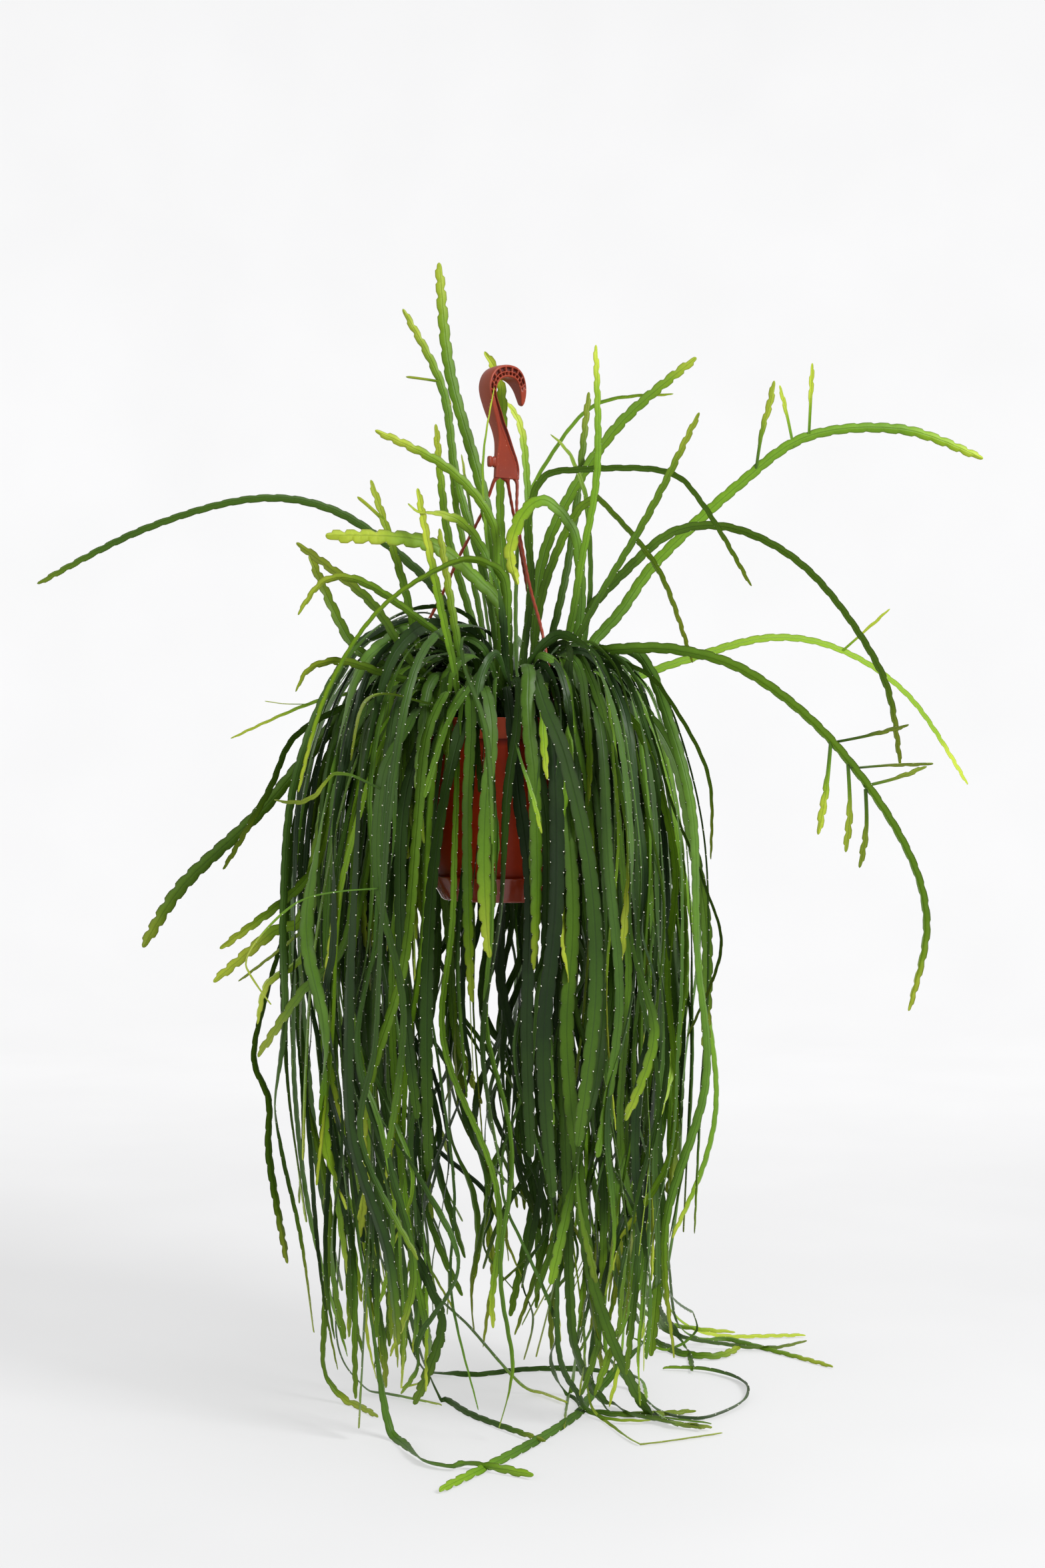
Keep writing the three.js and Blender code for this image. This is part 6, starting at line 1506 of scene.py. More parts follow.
# A turned body: the profile runs from the axis outside, up, over and back to the axis inside.
def turnedPiece(name, profile, angles, material, dent=None):
    inner = profile[1:-1]
    radius = np.repeat(inner[None, :, 0], len(angles), axis=0)
    height = np.repeat(inner[None, :, 1], len(angles), axis=0)
    if dent is not None:
        radius = radius - dent(np.degrees(angles)[:, None], radius, height)
    corners = np.stack([np.cos(angles)[:, None] * radius, np.sin(angles)[:, None] * radius, height], axis=2)
    corners = corners.reshape(-1, 3)
    size, turns = len(inner), len(angles)
    starts, faces = [(k * size, (k + 1) % turns * size) for k in range(turns)], []
    for here, there in starts:
        faces += [(here + j, there + j, there + j + 1, here + j + 1) for j in range(size - 1)]
    middle = np.array([[0, 0, profile[0, 1]], [0, 0, profile[-1, 1]]])
    low, high = len(corners), len(corners) + 1
    for here, there in starts:
        faces += [(low, there, here), (high, here + size - 1, there + size - 1)]
    return newPiece(name, np.concatenate([corners, middle]), faces, [material])


potShape = {
    "wall": 1.8, "bandStep": 3.2, "footRadius": 57, "beadRadius": 64.4, "beadHeight": -495.8,
    "neckRadius": 67.6, "neckHeight": -484, "turns": 132, "bandBottom": pot["rimTop"] - pot["bandHeight"],
    "recessAngles": (-98, 22, 142), "recessHalf": 5.6, "recessDepth": 1.1, "recessHeight": 17.5,
    "frameWidth": 2.4, "coreRise": 0.8, "outside": 1.1,
}


# A straight wall in a number of steps, so that its faces stay short.
def wallRows(begin, end, steps):
    return [(begin[0] + (end[0] - begin[0]) * k / steps, begin[1] + (end[1] - begin[1]) * k / steps, 0)
            for k in range(1, steps)]


def potProfile():
    rim, top, bottom, bandBottom = pot["rimRadius"], pot["rimTop"], pot["bottom"], potShape["bandBottom"]
    underBand, bandInside = rim - potShape["bandStep"], rim - potShape["wall"]
    bead, beadZ = potShape["beadRadius"], potShape["beadHeight"]
    neck, neckZ, wall = potShape["neckRadius"], potShape["neckHeight"], potShape["wall"]
    rows = [(0, bottom, 0), (potShape["footRadius"], bottom, 1), (bead - 2.2, beadZ - 2.8, 1),
            (bead, beadZ - 0.4, 0.8), (bead, beadZ + 0.6, 0.8), (bead - 1, beadZ + 2.8, 0.6),
            (neck, neckZ, 1.5)]
    rows += wallRows((neck, neckZ), (underBand - 0.4, bandBottom), 12)
    rows += [(underBand - 0.4, bandBottom, 0.5), (rim - 0.8, bandBottom, 0.5)]
    for inward, up in ((0.5, 4), (0.4, 8), (0.3, 12), (0.2, 16)):
        rows.append((rim - inward, bandBottom + up, 0))
    rows += [(rim, top - 1.2, 0.8), (rim - 0.5, top, 0.6), (bandInside, top, 0.6),
             (bandInside - 0.8, bandBottom + 1.4, 1), (underBand - wall - 0.6, bandBottom - 1, 1),
             (neck - wall, neckZ, 1), (bead - 2.6, beadZ + 3.4, 1),
             (potShape["footRadius"] - 1, bottom + wall, 1), (0, bottom + wall, 0)]
    return roundedProfile(rows)


# Arched frames let into the band, one between each two clips of the hanger.
def potRecess(degrees, radius, height):
    dent = np.zeros_like(radius * degrees)
    outside = radius > pot["rimRadius"] - potShape["outside"]
    for place in potShape["recessAngles"]:
        across = np.abs((degrees - place + 180) % 360 - 180) * pot["rimRadius"] * math.pi / 180
        up = (height - potShape["bandBottom"]) / potShape["recessHeight"]
        arch = potShape["recessHalf"] * np.sqrt(np.clip(1 - up ** 2, 0, 1))
        framed = np.clip((arch - across) / 1.2, 0, 1) * outside
        core = np.clip((arch - potShape["frameWidth"] - across) / 1.0, 0, 1) * outside
        dent += potShape["recessDepth"] * framed - potShape["coreRise"] * core
    return dent


# The angles of a turned body, closer together about the given places.
def turnedAngles(turns, finer=()):
    angles = list(np.linspace(0, 360, turns, endpoint=False))
    for place in finer:
        angles += list(place + np.linspace(-6, 6, 33))
    angles = np.unique(np.round(np.array(angles) % 360, 2))
    keep = [angles[0]]
    for angle in angles[1:]:
        if angle - keep[-1] > 0.3:
            keep.append(angle)
    return np.radians(keep)


saucerShape = {"wall": 1.8, "turns": 120}


def saucerProfile():
    foot, radius, bottom = pot["saucerFoot"], pot["saucerRadius"], pot["saucerBottom"]
    top = bottom + pot["saucerHeight"]
    bead, beadZ = potShape["beadRadius"], potShape["beadHeight"]
    floor = pot["bottom"] - pot["touchGap"]
    rows = [(0, bottom, 0), (foot - 4, bottom, 0), (foot, bottom, 0.8), (foot + 1.4, bottom + 1.2, 0.8)]
    rows += wallRows((foot + 1.4, bottom + 1.2), (radius, top - 0.6), 8)
    rows += [(radius, top - 0.6, 0.5), (radius - 0.6, top, 0.4), (radius - saucerShape["wall"], top, 0.5),
             (radius - 3.4, top - 4, 1), (bead - 0.3, beadZ + 3.4, 0.6), (bead + 0.6, beadZ + 1.4, 0.6),
             (bead + 0.3, beadZ - 0.6, 0.6), (bead - 1.3, beadZ - 3.6, 1), (foot + 0.5, floor, 1),
             (0, floor, 0)]
    return roundedProfile(rows)


# The hanger's own plane: the outer and inner edge of its body, from the foot up and over to the hook's tip.
moulding = {
    "turn": math.radians(40), "hookDepth": 18, "bodyDepth": 4.4, "bodyBottom": -97, "round": 1.3,
    "tipDepth": 8, "thinTip": 2.4, "rings": 300, "columns": 34, "hookFrom": 12, "tipFrom": 14.5,
    "backFrom": 7.5,
    "grooveDepth": 2.2, "grooveEnd": 9.4, "panelDepth": 0.35, "pocketDepth": 3.0, "pocketSpan": (8.6, 17.8),
    "pockets": ((0.36, 0.17, 7.2, 0.0), (0.72, 0.125, 5.0, 2.2)), "pocketWeb": 1.2,
    "outer": [(-13.1, -97), (-12.5, -87), (-12.2, -78), (-11.2, -70), (-10.9, -61), (-12.5, -52),
              (-15.5, -43.6), (-19.2, -35), (-22.5, -26), (-25.2, -17), (-25.8, -8.5), (-23.2, 0),
              (-17.5, 6.8), (-9.5, 10.8), (0, 12), (9.5, 10.4), (16.8, 5.6), (21.8, -1.6), (24.3, -10),
              (24.4, -17.5), (23.4, -22.4)],
    "inner": [(17, -97), (17.3, -87), (14.7, -78), (10.6, -70), (5.9, -61), (0.9, -52), (-4.4, -43.6),
              (-8.6, -35), (-13, -26.6), (-16.2, -19.6), (-16.8, -13.6), (-15.2, -7.8), (-11.4, -3.2),
              (-6, -0.6), (0, 0), (5.6, -0.9), (10.6, -4), (14.6, -9.8), (17.2, -17.5), (18.9, -23.4),
              (21.4, -25)],
}


def turned(x, y, angle):
    c, s = math.cos(angle), math.sin(angle)
    return x * c - y * s, x * s + y * c


# From the hanger's own plane, u across it, z up and w through it, to the part's frame.
def fromPlane(rows):
    u, z, w = np.array(rows).reshape(-1, 3).T
    return np.column_stack([*turned(u, w, moulding["turn"]), z])


# The rounded edge of the hanger's section, from its front to its back.
def edgeArc(at, way, rounding, half, swell):
    base, flat, angles = at - way * rounding, half - rounding, np.radians([22.5, 45, 67.5, 90])
    front = [(*(base + way * rounding * math.sin(a)), -flat - rounding * math.cos(a)) for a in angles]
    back = [(*(base + way * rounding * math.sin(a)), flat + rounding * math.cos(a)) for a in angles[::-1]]
    return np.array(front + [(*(base + way * (rounding + swell)), 0.0)] + back)


# How thick the body is through its plane at each ring: thin at the foot, deep in the hook, thin at its tip.
def bodyDepths(where, heights):
    thin, deep = moulding["bodyDepth"], moulding["hookDepth"]
    foot = moulding["bodyBottom"]
    depth = thin + (deep - thin) * ease((heights - foot - 8) / (-foot - 18))
    depth = np.where(where > moulding["hookFrom"], deep, depth)
    depth -= (deep - moulding["tipDepth"]) * ease((where - moulding["tipFrom"]) / 5)
    closing = np.clip((20 - where) / 4.5, 0, 1)
    tip = np.sqrt(np.clip(closing * (2 - closing), 0, 1))
    return moulding["thinTip"] + (depth - moulding["thinTip"]) * tip


# The body and hook of the hanger, with how far each corner is let in, kept for the painted shade of its
# pockets and groove.
def hangerBody():
    rings, columns = moulding["rings"], moulding["columns"]
    where = np.linspace(0, 20, rings)
    outer, inner = (curveAt(np.array(moulding[side], float), where) for side in ("outer", "inner"))
    middle = (outer + inner) / 2
    reach = reachAlong(middle)
    across = np.linalg.norm(inner - outer, axis=1)
    depth = bodyDepths(where, middle[:, 1])
    rows, hollowShades = [], []
    for k in range(rings):
        wide, half = across[k], depth[k] / 2
        rounding = min(moulding["round"], wide * 0.3, half * 0.6)
        d = rounding + (wide - 2 * rounding) * np.linspace(0, 1, columns)
        along = outer[k] + (inner[k] - outer[k]) * (d / wide)[:, None]
        relief = hangerRelief(where[k], reach[k], d, wide)
        front, back = half - relief, half - relief * (where[k] > moulding["backFrom"])
        inward, swell = (inner[k] - outer[k]) / wide, 0.5 * min(half / 9, 1)
        rows.append(np.concatenate([
            np.column_stack([along, -front]), edgeArc(inner[k], inward, rounding, half, 0.0),
            np.column_stack([along, back])[::-1], edgeArc(outer[k], -inward, rounding, half, swell)[::-1]]))
        hollowShades.append(np.pad(relief, (0, len(rows[-1]) - columns)))
    size = len(rows[0])
    corners = fromPlane(rows)
    faces = ringFaces(rings, size)
    for k, turned in ((0, False), (rings - 1, True)):
        hub = len(corners)
        corners = np.concatenate([corners, corners[k * size:(k + 1) * size].mean(axis=0)[None]])
        for j in range(size):
            a, b = k * size + j, k * size + (j + 1) % size
            faces.append((hub, a, b) if turned else (hub, b, a))
    return corners, faces, np.append(np.concatenate(hollowShades), (0, 0)) / moulding["pocketDepth"]


# How deep the front is let in: two rows of pockets round the bend, then a groove down the right edge.
def hangerRelief(station, reach, d, wide):
    relief = np.zeros(len(d))
    begin, end = moulding["pocketSpan"]
    if begin < station < end:
        fade = ease((station - begin) / 0.5) * ease((end - station) / 1.2)
        for centre, half, pitch, offset in moulding["pockets"]:
            along, web = ((reach + offset) % pitch) / pitch, moulding["pocketWeb"] / pitch
            pocket = ease(min(along - web, 1 - along) / 0.1)
            sideways = ease((half * wide - np.abs(d - centre * wide)) / 0.5)
            relief += moulding["pocketDepth"] * fade * pocket * sideways
    if station < moulding["grooveEnd"]:
        fade = ease(station / 1.2) * ease((moulding["grooveEnd"] - station) / 0.6)
        fromEdge = wide - d
        broad = 1.6 + 2.6 * math.exp(-((station - 5.6) / 2.6) ** 2)
        channel = ease((fromEdge - 1.3) / 0.5) * ease((1.8 + broad - fromEdge) / 0.5)
        relief += moulding["grooveDepth"] * fade * channel
        panel = ease(fromEdge - 3.4 - broad) * ease((d - 2.4) / 1.2)
        relief += moulding["panelDepth"] * fade * panel
    return relief


# The small tab at the side: how far out each ring is, half its height and half its depth.
tabShape = {
    "root": -11.8, "height": -82, "square": 0.78, "corners": 16,
    "rows": ((0, 5.0, 1.9), (0.8, 5.3, 2.1), (2.6, 5.3, 2.1), (3.2, 4.2, 1.6), (5.0, 4.2, 1.6),
             (5.6, 5.3, 2.1), (8.2, 5.3, 2.1), (9.0, 4.9, 1.7)),
}


# The faces of a tube of rings, closed at both ends.
def tubeFaces(rings, size):
    last = (rings - 1) * size
    return ringFaces(rings, size) + [tuple(range(size))[::-1], tuple(range(last, last + size))]


def hangerTab():
    corners, square = [], tabShape["square"]
    for out, half, deep in tabShape["rows"]:
        for angle in np.radians((np.arange(tabShape["corners"]) + 0.5) * 360 / tabShape["corners"]):
            c, s = math.cos(angle), math.sin(angle)
            fill = square / max(abs(c), abs(s)) + 1 - square
            corners.append((tabShape["root"] - out, tabShape["height"] + half * c * fill, deep * s * fill))
    return fromPlane(corners), tubeFaces(len(tabShape["rows"]), tabShape["corners"])


strandShape = {
    "step": 1.5, "pitch": 18.0, "corners": 12, "flare": 6.0, "flareHalf": 1.95, "lobe": 0.22,
    "spans": ((-13.1, -5), (8.07, 17), (-5, 8.07)),
}


# A twisted strand down its route. At the top it flares to its own span of the body's foot.
def strandMesh(route, spanEnds):
    line = smoothLine(route)
    reach = reachAlong(line)
    count = int(reach[-1] / strandShape["step"])
    points = pointsAt(line, np.linspace(0, 1, count + 1))
    turn = moulding["turn"]
    planeWay = np.array([math.cos(turn), math.sin(turn), 0])
    through = np.array([-math.sin(turn), math.cos(turn), 0])
    radius = hangerShape["strandRadius"]
    ahead = unitRows(np.gradient(points, axis=0))
    spread, centre = (spanEnds[1] - spanEnds[0]) / 2, (spanEnds[0] + spanEnds[1]) / 2
    corners, size = [], strandShape["corners"]
    carried = planeWay
    for k in range(count + 1):
        carried = unit(carried - ahead[k] * (carried @ ahead[k]))
        lifted = np.cross(ahead[k], carried)
        below = (moulding["bodyBottom"] - points[k, 2]) / strandShape["flare"]
        flare = 1 - math.sqrt(1 - (1 - min(max(below, 0), 1)) ** 2)
        twist = ease((below - 1) / 1.5)
        at = points[k] + planeWay * ((centre - points[k] @ planeWay) * flare) * (below < 1)
        at = at - through * (at @ through) * flare
        wide = radius + (spread * 0.98 - radius) * flare
        deep = radius + (strandShape["flareHalf"] - radius) * flare
        phase = reach[-1] * k / count / strandShape["pitch"] * 2 * math.pi
        for j in range(size):
            angle = j / size * 2 * math.pi
            lobe = 1 - strandShape["lobe"] * twist * (0.5 - 0.5 * math.cos(2 * (angle - phase)))
            corners.append(at + (carried * wide * math.cos(angle) + lifted * deep * math.sin(angle)) * lobe)
    return np.array(corners), [face[::-1] for face in tubeFaces(count + 1, size)]


clipShape = {
    "rings": 30, "columns": 17, "above": 5, "shoulder": 0.16, "shoulderLeast": 0.06, "foot": 0.1,
    "footLeast": 0.25, "waistAt": 0.52, "waistReach": 0.13, "waistDepth": 0.16, "edgeThin": 0.5,
    "swell": 0.5, "dimple": 0.55, "dimpleHigh": 0.16, "dimpleWide": 0.35, "lip": 2.4,
}


# A clip: a rounded leaf that bulges outwards, lies against the band and is hooked under it.
def clipMesh(angle):
    inside, count = pot["rimRadius"] + pot["touchGap"], clipShape["columns"]
    lip = pot["rimTop"] - pot["bandHeight"] - pot["touchGap"]
    top, low = pot["rimTop"] + clipShape["above"], lip - hangerShape["clipThickness"]
    columns = np.linspace(-1, 1, count)
    middle, shoulderReach, footReach = clipShape["waistAt"], clipShape["shoulder"], clipShape["foot"]
    rows = []
    for share in np.linspace(0, 1, clipShape["rings"]):
        z = top + (low - top) * share
        shoulder = math.sqrt(max(1 - max(1 - share / shoulderReach, 0) ** 2, clipShape["shoulderLeast"]))
        waist = 1 - clipShape["waistDepth"] * math.exp(-((share - middle) / clipShape["waistReach"]) ** 2)
        beyond = max((share - (1 - footReach)) / footReach, 0)
        foot = math.sqrt(max(1 - beyond ** 2, clipShape["footLeast"]))
        wide = hangerShape["clipWidth"] / 2 * shoulder * waist * foot
        turn = math.radians(angle) + columns * wide / inside
        swell = clipShape["swell"] * np.sqrt(np.clip(1 - columns ** 2, 0, 1))
        high, wideways = (share - middle) / clipShape["dimpleHigh"], columns / clipShape["dimpleWide"]
        dimple = clipShape["dimple"] * np.exp(-high ** 2 - wideways ** 2)
        hooked = inside - clipShape["lip"] * ease((lip + 0.2 - z) / 0.4)
        outside = inside + hangerShape["clipThickness"] - clipShape["edgeThin"] + swell - dimple
        rows += [roundRow(outside, z, turn), roundRow(hooked, z, turn)[::-1]]
    return np.concatenate(rows), tubeFaces(clipShape["rings"], count * 2)


soilShape = {
    "crumbs": 420, "crumbSizes": (0.8, 2.6), "crumbUneven": (0.6, 1.3), "crumbForm": (1.2, 0.9, 0.6),
    "crumbSink": 0.6, "crumbReach": 0.97, "relief": 1.3, "fade": 6, "rings": 46, "turns": 96, "waves": 26,
    "waveRates": (0.04, 0.22), "below": 1.2, "clear": 1.2,
}


def soilMesh():
    random = np.random.default_rng(5)
    edge = pot["rimRadius"] - potShape["wall"] - soilShape["clear"]
    turns, level = soilShape["turns"], pot["soilTop"] - soilShape["below"]
    angles = np.linspace(0, 2 * math.pi, turns, endpoint=False)
    waves = [between(random, soilShape["waveRates"], (0, 6.3), (0, 6.3)) for _ in range(soilShape["waves"])]
    rows = []
    for k in range(1, soilShape["rings"] + 1):
        radius = edge * k / soilShape["rings"]
        x, y = np.cos(angles) * radius, np.sin(angles) * radius
        height = sum(np.sin(x * rate * math.cos(way) * 4 + y * rate * math.sin(way) * 4 + shift)
                     for rate, way, shift in waves) / 6
        fade = min((edge - radius) / soilShape["fade"], 1)
        rows.append(np.column_stack([x, y, level + height * soilShape["relief"] * fade]))
    bandBottom, wall, base = potShape["bandBottom"], potShape["wall"], pot["bottom"] + 2.1
    for radius, z in ((edge, bandBottom + 1.2),
                      (pot["rimRadius"] - potShape["bandStep"] - wall - 1, bandBottom - 1.2),
                      (potShape["neckRadius"] - wall - 0.4, potShape["neckHeight"]),
                      (potShape["beadRadius"] - 3, potShape["beadHeight"] + 3.8),
                      (potShape["footRadius"] - 1.4, base)):
        rows.append(roundRow(radius, z, angles))
    corners = np.concatenate(rows + [np.array([[0, 0, level], [0, 0, base]])])
    faces = [face[::-1] for face in ringFaces(len(rows), turns)]
    hub, under, last = len(corners) - 2, len(corners) - 1, (len(rows) - 1) * turns
    faces += [(hub, j, (j + 1) % turns) for j in range(turns)]
    faces += [(under, last + (j + 1) % turns, last + j) for j in range(turns)]
    parts = [(corners, faces)]
    for _ in range(soilShape["crumbs"]):
        radius = edge * soilShape["crumbReach"] * math.sqrt(random.random())
        angle = random.uniform(0, 2 * math.pi)
        height = pot["soilTop"] - soilShape["crumbSink"]
        place = (math.cos(angle) * radius, math.sin(angle) * radius, height)
        parts.append(crumbMesh(random, place))
    return joinMeshes(parts)


# A crumb of soil: a small uneven stone of eight faces, turned at random.
def crumbMesh(random, place):
    size = random.uniform(*soilShape["crumbSizes"])
    spots = np.array([(1, 0, 0), (-1, 0, 0), (0, 1, 0), (0, -1, 0), (0, 0, 1), (0, 0, -1)], float)
    spots *= random.uniform(*soilShape["crumbUneven"], (6, 1)) * size * np.array(soilShape["crumbForm"])
    x, y, z = spots.T
    spots = np.column_stack([*turned(x, y, random.uniform(0, 6.3)), z])
    faces = [(0, 2, 4), (2, 1, 4), (1, 3, 4), (3, 0, 4), (2, 0, 5), (1, 2, 5), (3, 1, 5), (0, 3, 5)]
    return spots + place, faces


plasticFinish = {
    "pot": {
        "shades": [(0.3, colour(184, 51, 12)), (0.7, colour(202, 61, 18))], "roughness": 0.38,
        # The band colour is painted light on the pot's band, and the shadow colour is painted shade below
        # it.
        "specular": 0.2, "coat": 0.04, "streaks": 0.1, "band": colour(206, 88, 54),
        "shadow": colour(110, 60, 50),
    },
    "saucer": {
        "shades": [(0.3, colour(150, 47, 18)), (0.7, colour(170, 57, 24))], "roughness": 0.16,
        "specular": 0.45, "coat": 0.35, "streaks": 0.16,
    },
    "hanger": {
        "shades": [(0.3, colour(120, 36, 10)), (0.7, colour(142, 47, 15))], "roughness": 0.42,
        # The faded colour is painted light, a paler and duller tone on the faces that look left.
        "specular": 0.3, "coat": 0.0, "streaks": 0.05, "leftFaceLight": colour(128, 66, 46),
        # The hollow colour is painted shade, darkening the pockets and the groove.
        "specks": colour(220, 150, 120), "hollow": colour(84, 20, 10),
    },
}


plasticGrain = {
    "clouds": (26, 4), "streaks": (60, 3, (1, 1, 0.08)), "fine": (700, 3), "specks": (420, 1),
    # Specks of the hanger, and the painted light on its faces that look left.
    "speckFrom": 0.735, "speckShare": 0.4, "leftFaceLightRise": 1.6, "leftFaceLightFrom": -0.5, "leftFaceLightShare": 0.6,
    # The band's painted light and the painted shadow below it: how sharp each edge is and how much of it
    # shows.
    "bandLightEdge": 900, "bandLightShare": 0.8, "shadowEdge": -130, "shadowShare": 0.75, "coatRoughness": 0.15,
    "bumpStrength": 0.12, "bumpDepth": 0.0003,
}


# Faces of the hanger that look left get painted light, a paler and duller tone. Pale specks lie all over
# it, and its pockets and groove get painted shade.
def paintedLightAndSpecks(tree, finish, shade):
    facing, turn, grain = partsOf(tree, "ShaderNodeNewGeometry", "Normal"), moulding["turn"], plasticGrain
    # Painted light: how far each face looks left sets how much paler it is painted.
    left = mathNode(tree, "MULTIPLY", facing["X"], -math.cos(turn))
    left = mathNode(tree, "MULTIPLY_ADD", facing["Y"], -math.sin(turn), left)
    left = mathNode(tree, "MULTIPLY_ADD", left, grain["leftFaceLightRise"], grain["leftFaceLightFrom"], clampIt=True)
    fade = mathNode(tree, "MULTIPLY", left, grain["leftFaceLightShare"])
    shade = mixNode(tree, "MIX", fade, shade, finish["leftFaceLight"])
    spots = mathNode(tree, "GREATER_THAN", noiseNode(tree, *grain["specks"]), grain["speckFrom"])
    spots = mathNode(tree, "MULTIPLY", spots, grain["speckShare"])
    shade = mixNode(tree, "MIX", spots, shade, finish["specks"])
    # Painted shade: the pockets and the groove are darkened by how deep they are let in.
    return mixNode(tree, "MIX", attributeNode(tree, "hollow"), shade, finish["hollow"])


# Painted light and shadow: the pot's band is painted paler, as if lit, and the wall just below it is
# painted darker, as in the band's shadow.
def bandLightAndShadow(tree, finish, shade):
    height, grain = partsOf(tree, "ShaderNodeTexCoord", "Object")["Z"], plasticGrain
    above = mathNode(tree, "SUBTRACT", height, potShape["bandBottom"] / 1000)
    # Painted light: the band, above its lower edge, gets the paler band colour.
    bandLightMask = mathNode(tree, "MULTIPLY_ADD", above, grain["bandLightEdge"], 0.5, clampIt=True)
    # Painted shadow: darker about the band's lower edge, over the wall just below it.
    under = mathNode(tree, "ABSOLUTE", above)
    under = mathNode(tree, "MULTIPLY_ADD", under, grain["shadowEdge"], 1.0, clampIt=True)
    under = mathNode(tree, "MULTIPLY", under, grain["shadowShare"])
    shade = mixNode(tree, "MULTIPLY", under, shade, finish["shadow"])
    bandLightMask = mathNode(tree, "MULTIPLY", bandLightMask, grain["bandLightShare"])
    return mixNode(tree, "MIX", bandLightMask, shade, finish["band"])


def makePlastic(name, finish):
    material, tree, skin = newMaterial(name)
    shade = rampNode(tree, noiseNode(tree, *plasticGrain["clouds"]), finish["shades"])
    # The hanger gets painted light on its faces that look left, pale specks and painted shade in its
    # pockets.
    if "leftFaceLight" in finish:
        shade = paintedLightAndSpecks(tree, finish, shade)
    # The pot's band gets painted light, and painted shadow below it.
    if "band" in finish:
        shade = bandLightAndShadow(tree, finish, shade)
    streak, fine = noiseNode(tree, *plasticGrain["streaks"]), noiseNode(tree, *plasticGrain["fine"])
    smooth, streaks = finish["roughness"] - finish["streaks"] / 2, finish["streaks"]
    relief, strength = mathNode(tree, "ADD", fine, streak), plasticGrain["bumpStrength"]
    setSockets(tree, skin, {
        "Base Color": shade, "Specular IOR Level": finish["specular"],
        "Roughness": mathNode(tree, "MULTIPLY_ADD", streak, streaks, smooth),
        "Coat Weight": finish["coat"], "Coat Roughness": plasticGrain["coatRoughness"],
        "Normal": bumpNode(tree, relief, strength, plasticGrain["bumpDepth"])})
    return material


potPlastic = makePlastic("potPlastic", plasticFinish["pot"])
potAngles = turnedAngles(potShape["turns"], potShape["recessAngles"])
dress(turnedPiece("potShell", potProfile(), potAngles, potPlastic, potRecess), "pot")
saucerPlastic = makePlastic("saucerPlastic", plasticFinish["saucer"])
saucerAngles = turnedAngles(saucerShape["turns"])
dress(turnedPiece("dripSaucer", saucerProfile(), saucerAngles, saucerPlastic), "saucer")
bodyCorners, bodyFaces, bodyHollowShades = hangerBody()
hangerParts = [(bodyCorners, bodyFaces), hangerTab()]
hangerParts += [strandMesh(route, ends) for route, ends in zip(strandRoutes, strandShape["spans"])]
hangerParts += [clipMesh(angle) for angle in hangerShape["clipAngles"]]
hangerPlastic = makePlastic("hangerPlastic", plasticFinish["hanger"])
hanger = newPiece("potHanger", *joinMeshes(hangerParts), [hangerPlastic])
# Painted shade: the hollow value darkens the hanger where it is let in.
hollowShades = np.zeros(len(hanger.data.vertices), np.float32)
hollowShades[:len(bodyHollowShades)] = np.clip(bodyHollowShades, 0, 1)
hanger.data.attributes.new("hollow", "FLOAT", "POINT").data.foreach_set("value", hollowShades)
dress(hanger, "hanger")
pottingSoil = makeRough("pottingSoil", (300, 5), [(0.25, colour(18, 12, 8)), (0.6, colour(52, 36, 24)),
                                                  (0.8, colour(92, 70, 48))], 0.95, 0.9, 0.0012)
dress(newPiece("potSoil", *soilMesh(), [pottingSoil]), "soil")
print("pot, saucer, hanger and soil made")


stage = {
    "floor": -1.007, "radius": 3.4, "curve": 0.8, "height": 3.4, "turns": 96, "rings": 12,
    # The glow is painted light from the paper itself: less towards the front, a little more on the far
    # wall.
    "glow": (0.2, 0.525), "dimFrom": -0.9, "dimTo": -2.7, "farGlow": 0.135, "farFrom": (0.5, 2.3),
    "paper": [(0.3, colour(138, 138, 139)), (0.7, colour(143, 143, 144))], "air": 0.2,
}


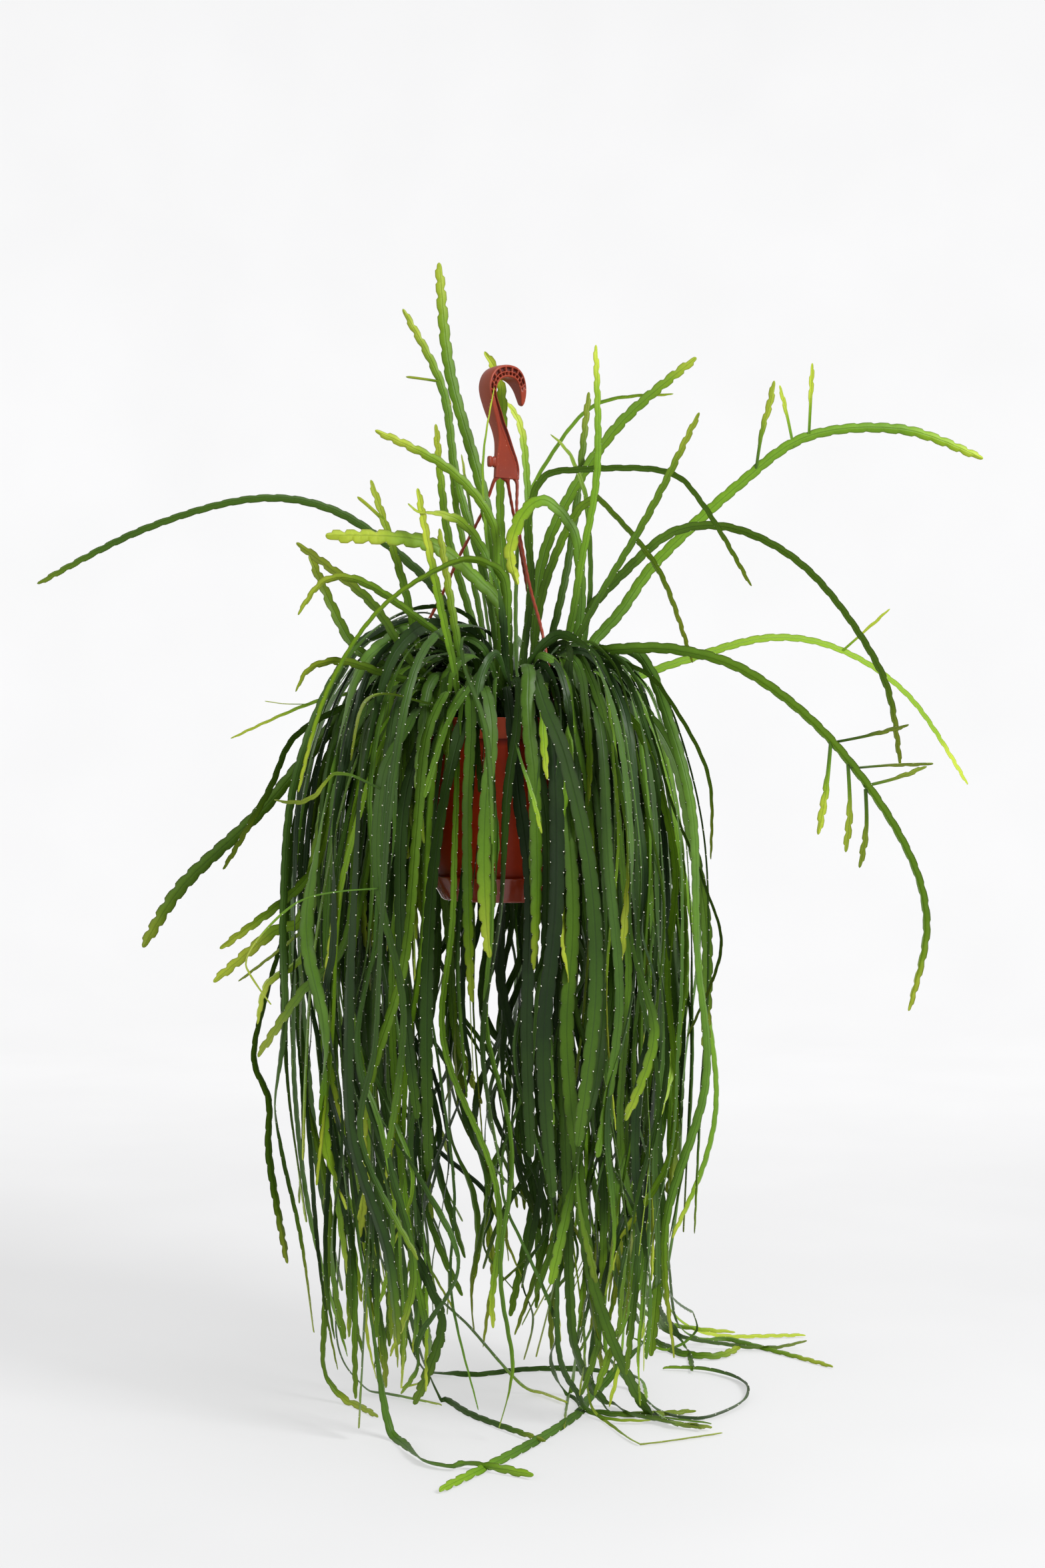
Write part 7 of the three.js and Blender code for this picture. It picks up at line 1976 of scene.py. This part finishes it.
# A round studio of paper: floor, cove and wall. The paper glows as painted light, with less glow in front,
# behind the camera.
def makeStage():
    flat = stage["radius"] - stage["curve"]
    profile = [(flat * k / 6, stage["floor"]) for k in range(1, 7)]
    for k in range(1, stage["rings"] + 1):
        angle = k / stage["rings"] * math.pi / 2
        profile.append((flat + math.sin(angle) * stage["curve"],
                        stage["floor"] + (1 - math.cos(angle)) * stage["curve"]))
    profile.append((stage["radius"], stage["height"]))
    angles = np.linspace(0, 2 * math.pi, stage["turns"], endpoint=False)
    corners = np.concatenate([roundRow(radius, height, angles) for radius, height in profile]) * 1000
    faces = [face[::-1] for face in ringFaces(len(profile), stage["turns"])]
    faces.append(tuple(range(stage["turns"])))
    material, tree, paper = newMaterial("glowingStudioPaper")
    depth = partsOf(tree, "ShaderNodeTexCoord", "Object")["Y"]
    # Painted light: the paper glows, less in front and a little more far behind.
    near = rangeNode(tree, depth, stage["dimTo"], stage["dimFrom"], *stage["glow"])
    far = rangeNode(tree, depth, *stage["farFrom"], 0, stage["farGlow"])
    setSockets(tree, paper, {
        "Base Color": rampNode(tree, noiseNode(tree, 3, 2), stage["paper"]), "Roughness": 0.9,
        "Specular IOR Level": 0.1, "Emission Color": (1, 1, 1, 1),
        "Emission Strength": mathNode(tree, "ADD", near, far)})
    newPiece("studioSweep", corners, faces, [material])


# A soft light of a given width and height, turned to the place that it aims at.
def addLight(name, place, aim, size, power):
    data = bpy.data.lights.new(name, "AREA")
    data.shape = "RECTANGLE"
    data.size, data.size_y = size
    data.energy = power
    lamp = bpy.data.objects.new(name, data)
    lamp.location = place
    way = np.array(aim, float) - np.array(place, float)
    lamp.rotation_euler = (math.acos(-way[2] / span(way)), 0, math.atan2(way[1], way[0]) - math.pi / 2)
    bpy.context.scene.collection.objects.link(lamp)


softboxes = (
    ("keySoftbox", (2.3, -1.7, 1.5), (0, 0, -0.45), (1.2, 1.2), 128),
    ("fillSoftbox", (-2.3, -2.0, 0.5), (0, 0, -0.5), (1.8, 1.8), 26),
    ("topSoftbox", (0.3, 0.2, 2.6), (0, 0, -0.5), (2.2, 2.2), 34),
)
makeStage()
for softbox in softboxes:
    addLight(*softbox)
world = bpy.data.worlds.new("studioAir")
world.use_nodes = True
air = world.node_tree.nodes["Background"]
setSockets(world.node_tree, air, {"Color": (1, 1, 1, 1), "Strength": stage["air"]})
bpy.context.scene.world = world
bpy.context.scene.view_settings.view_transform = "Standard"
print("studio lit")
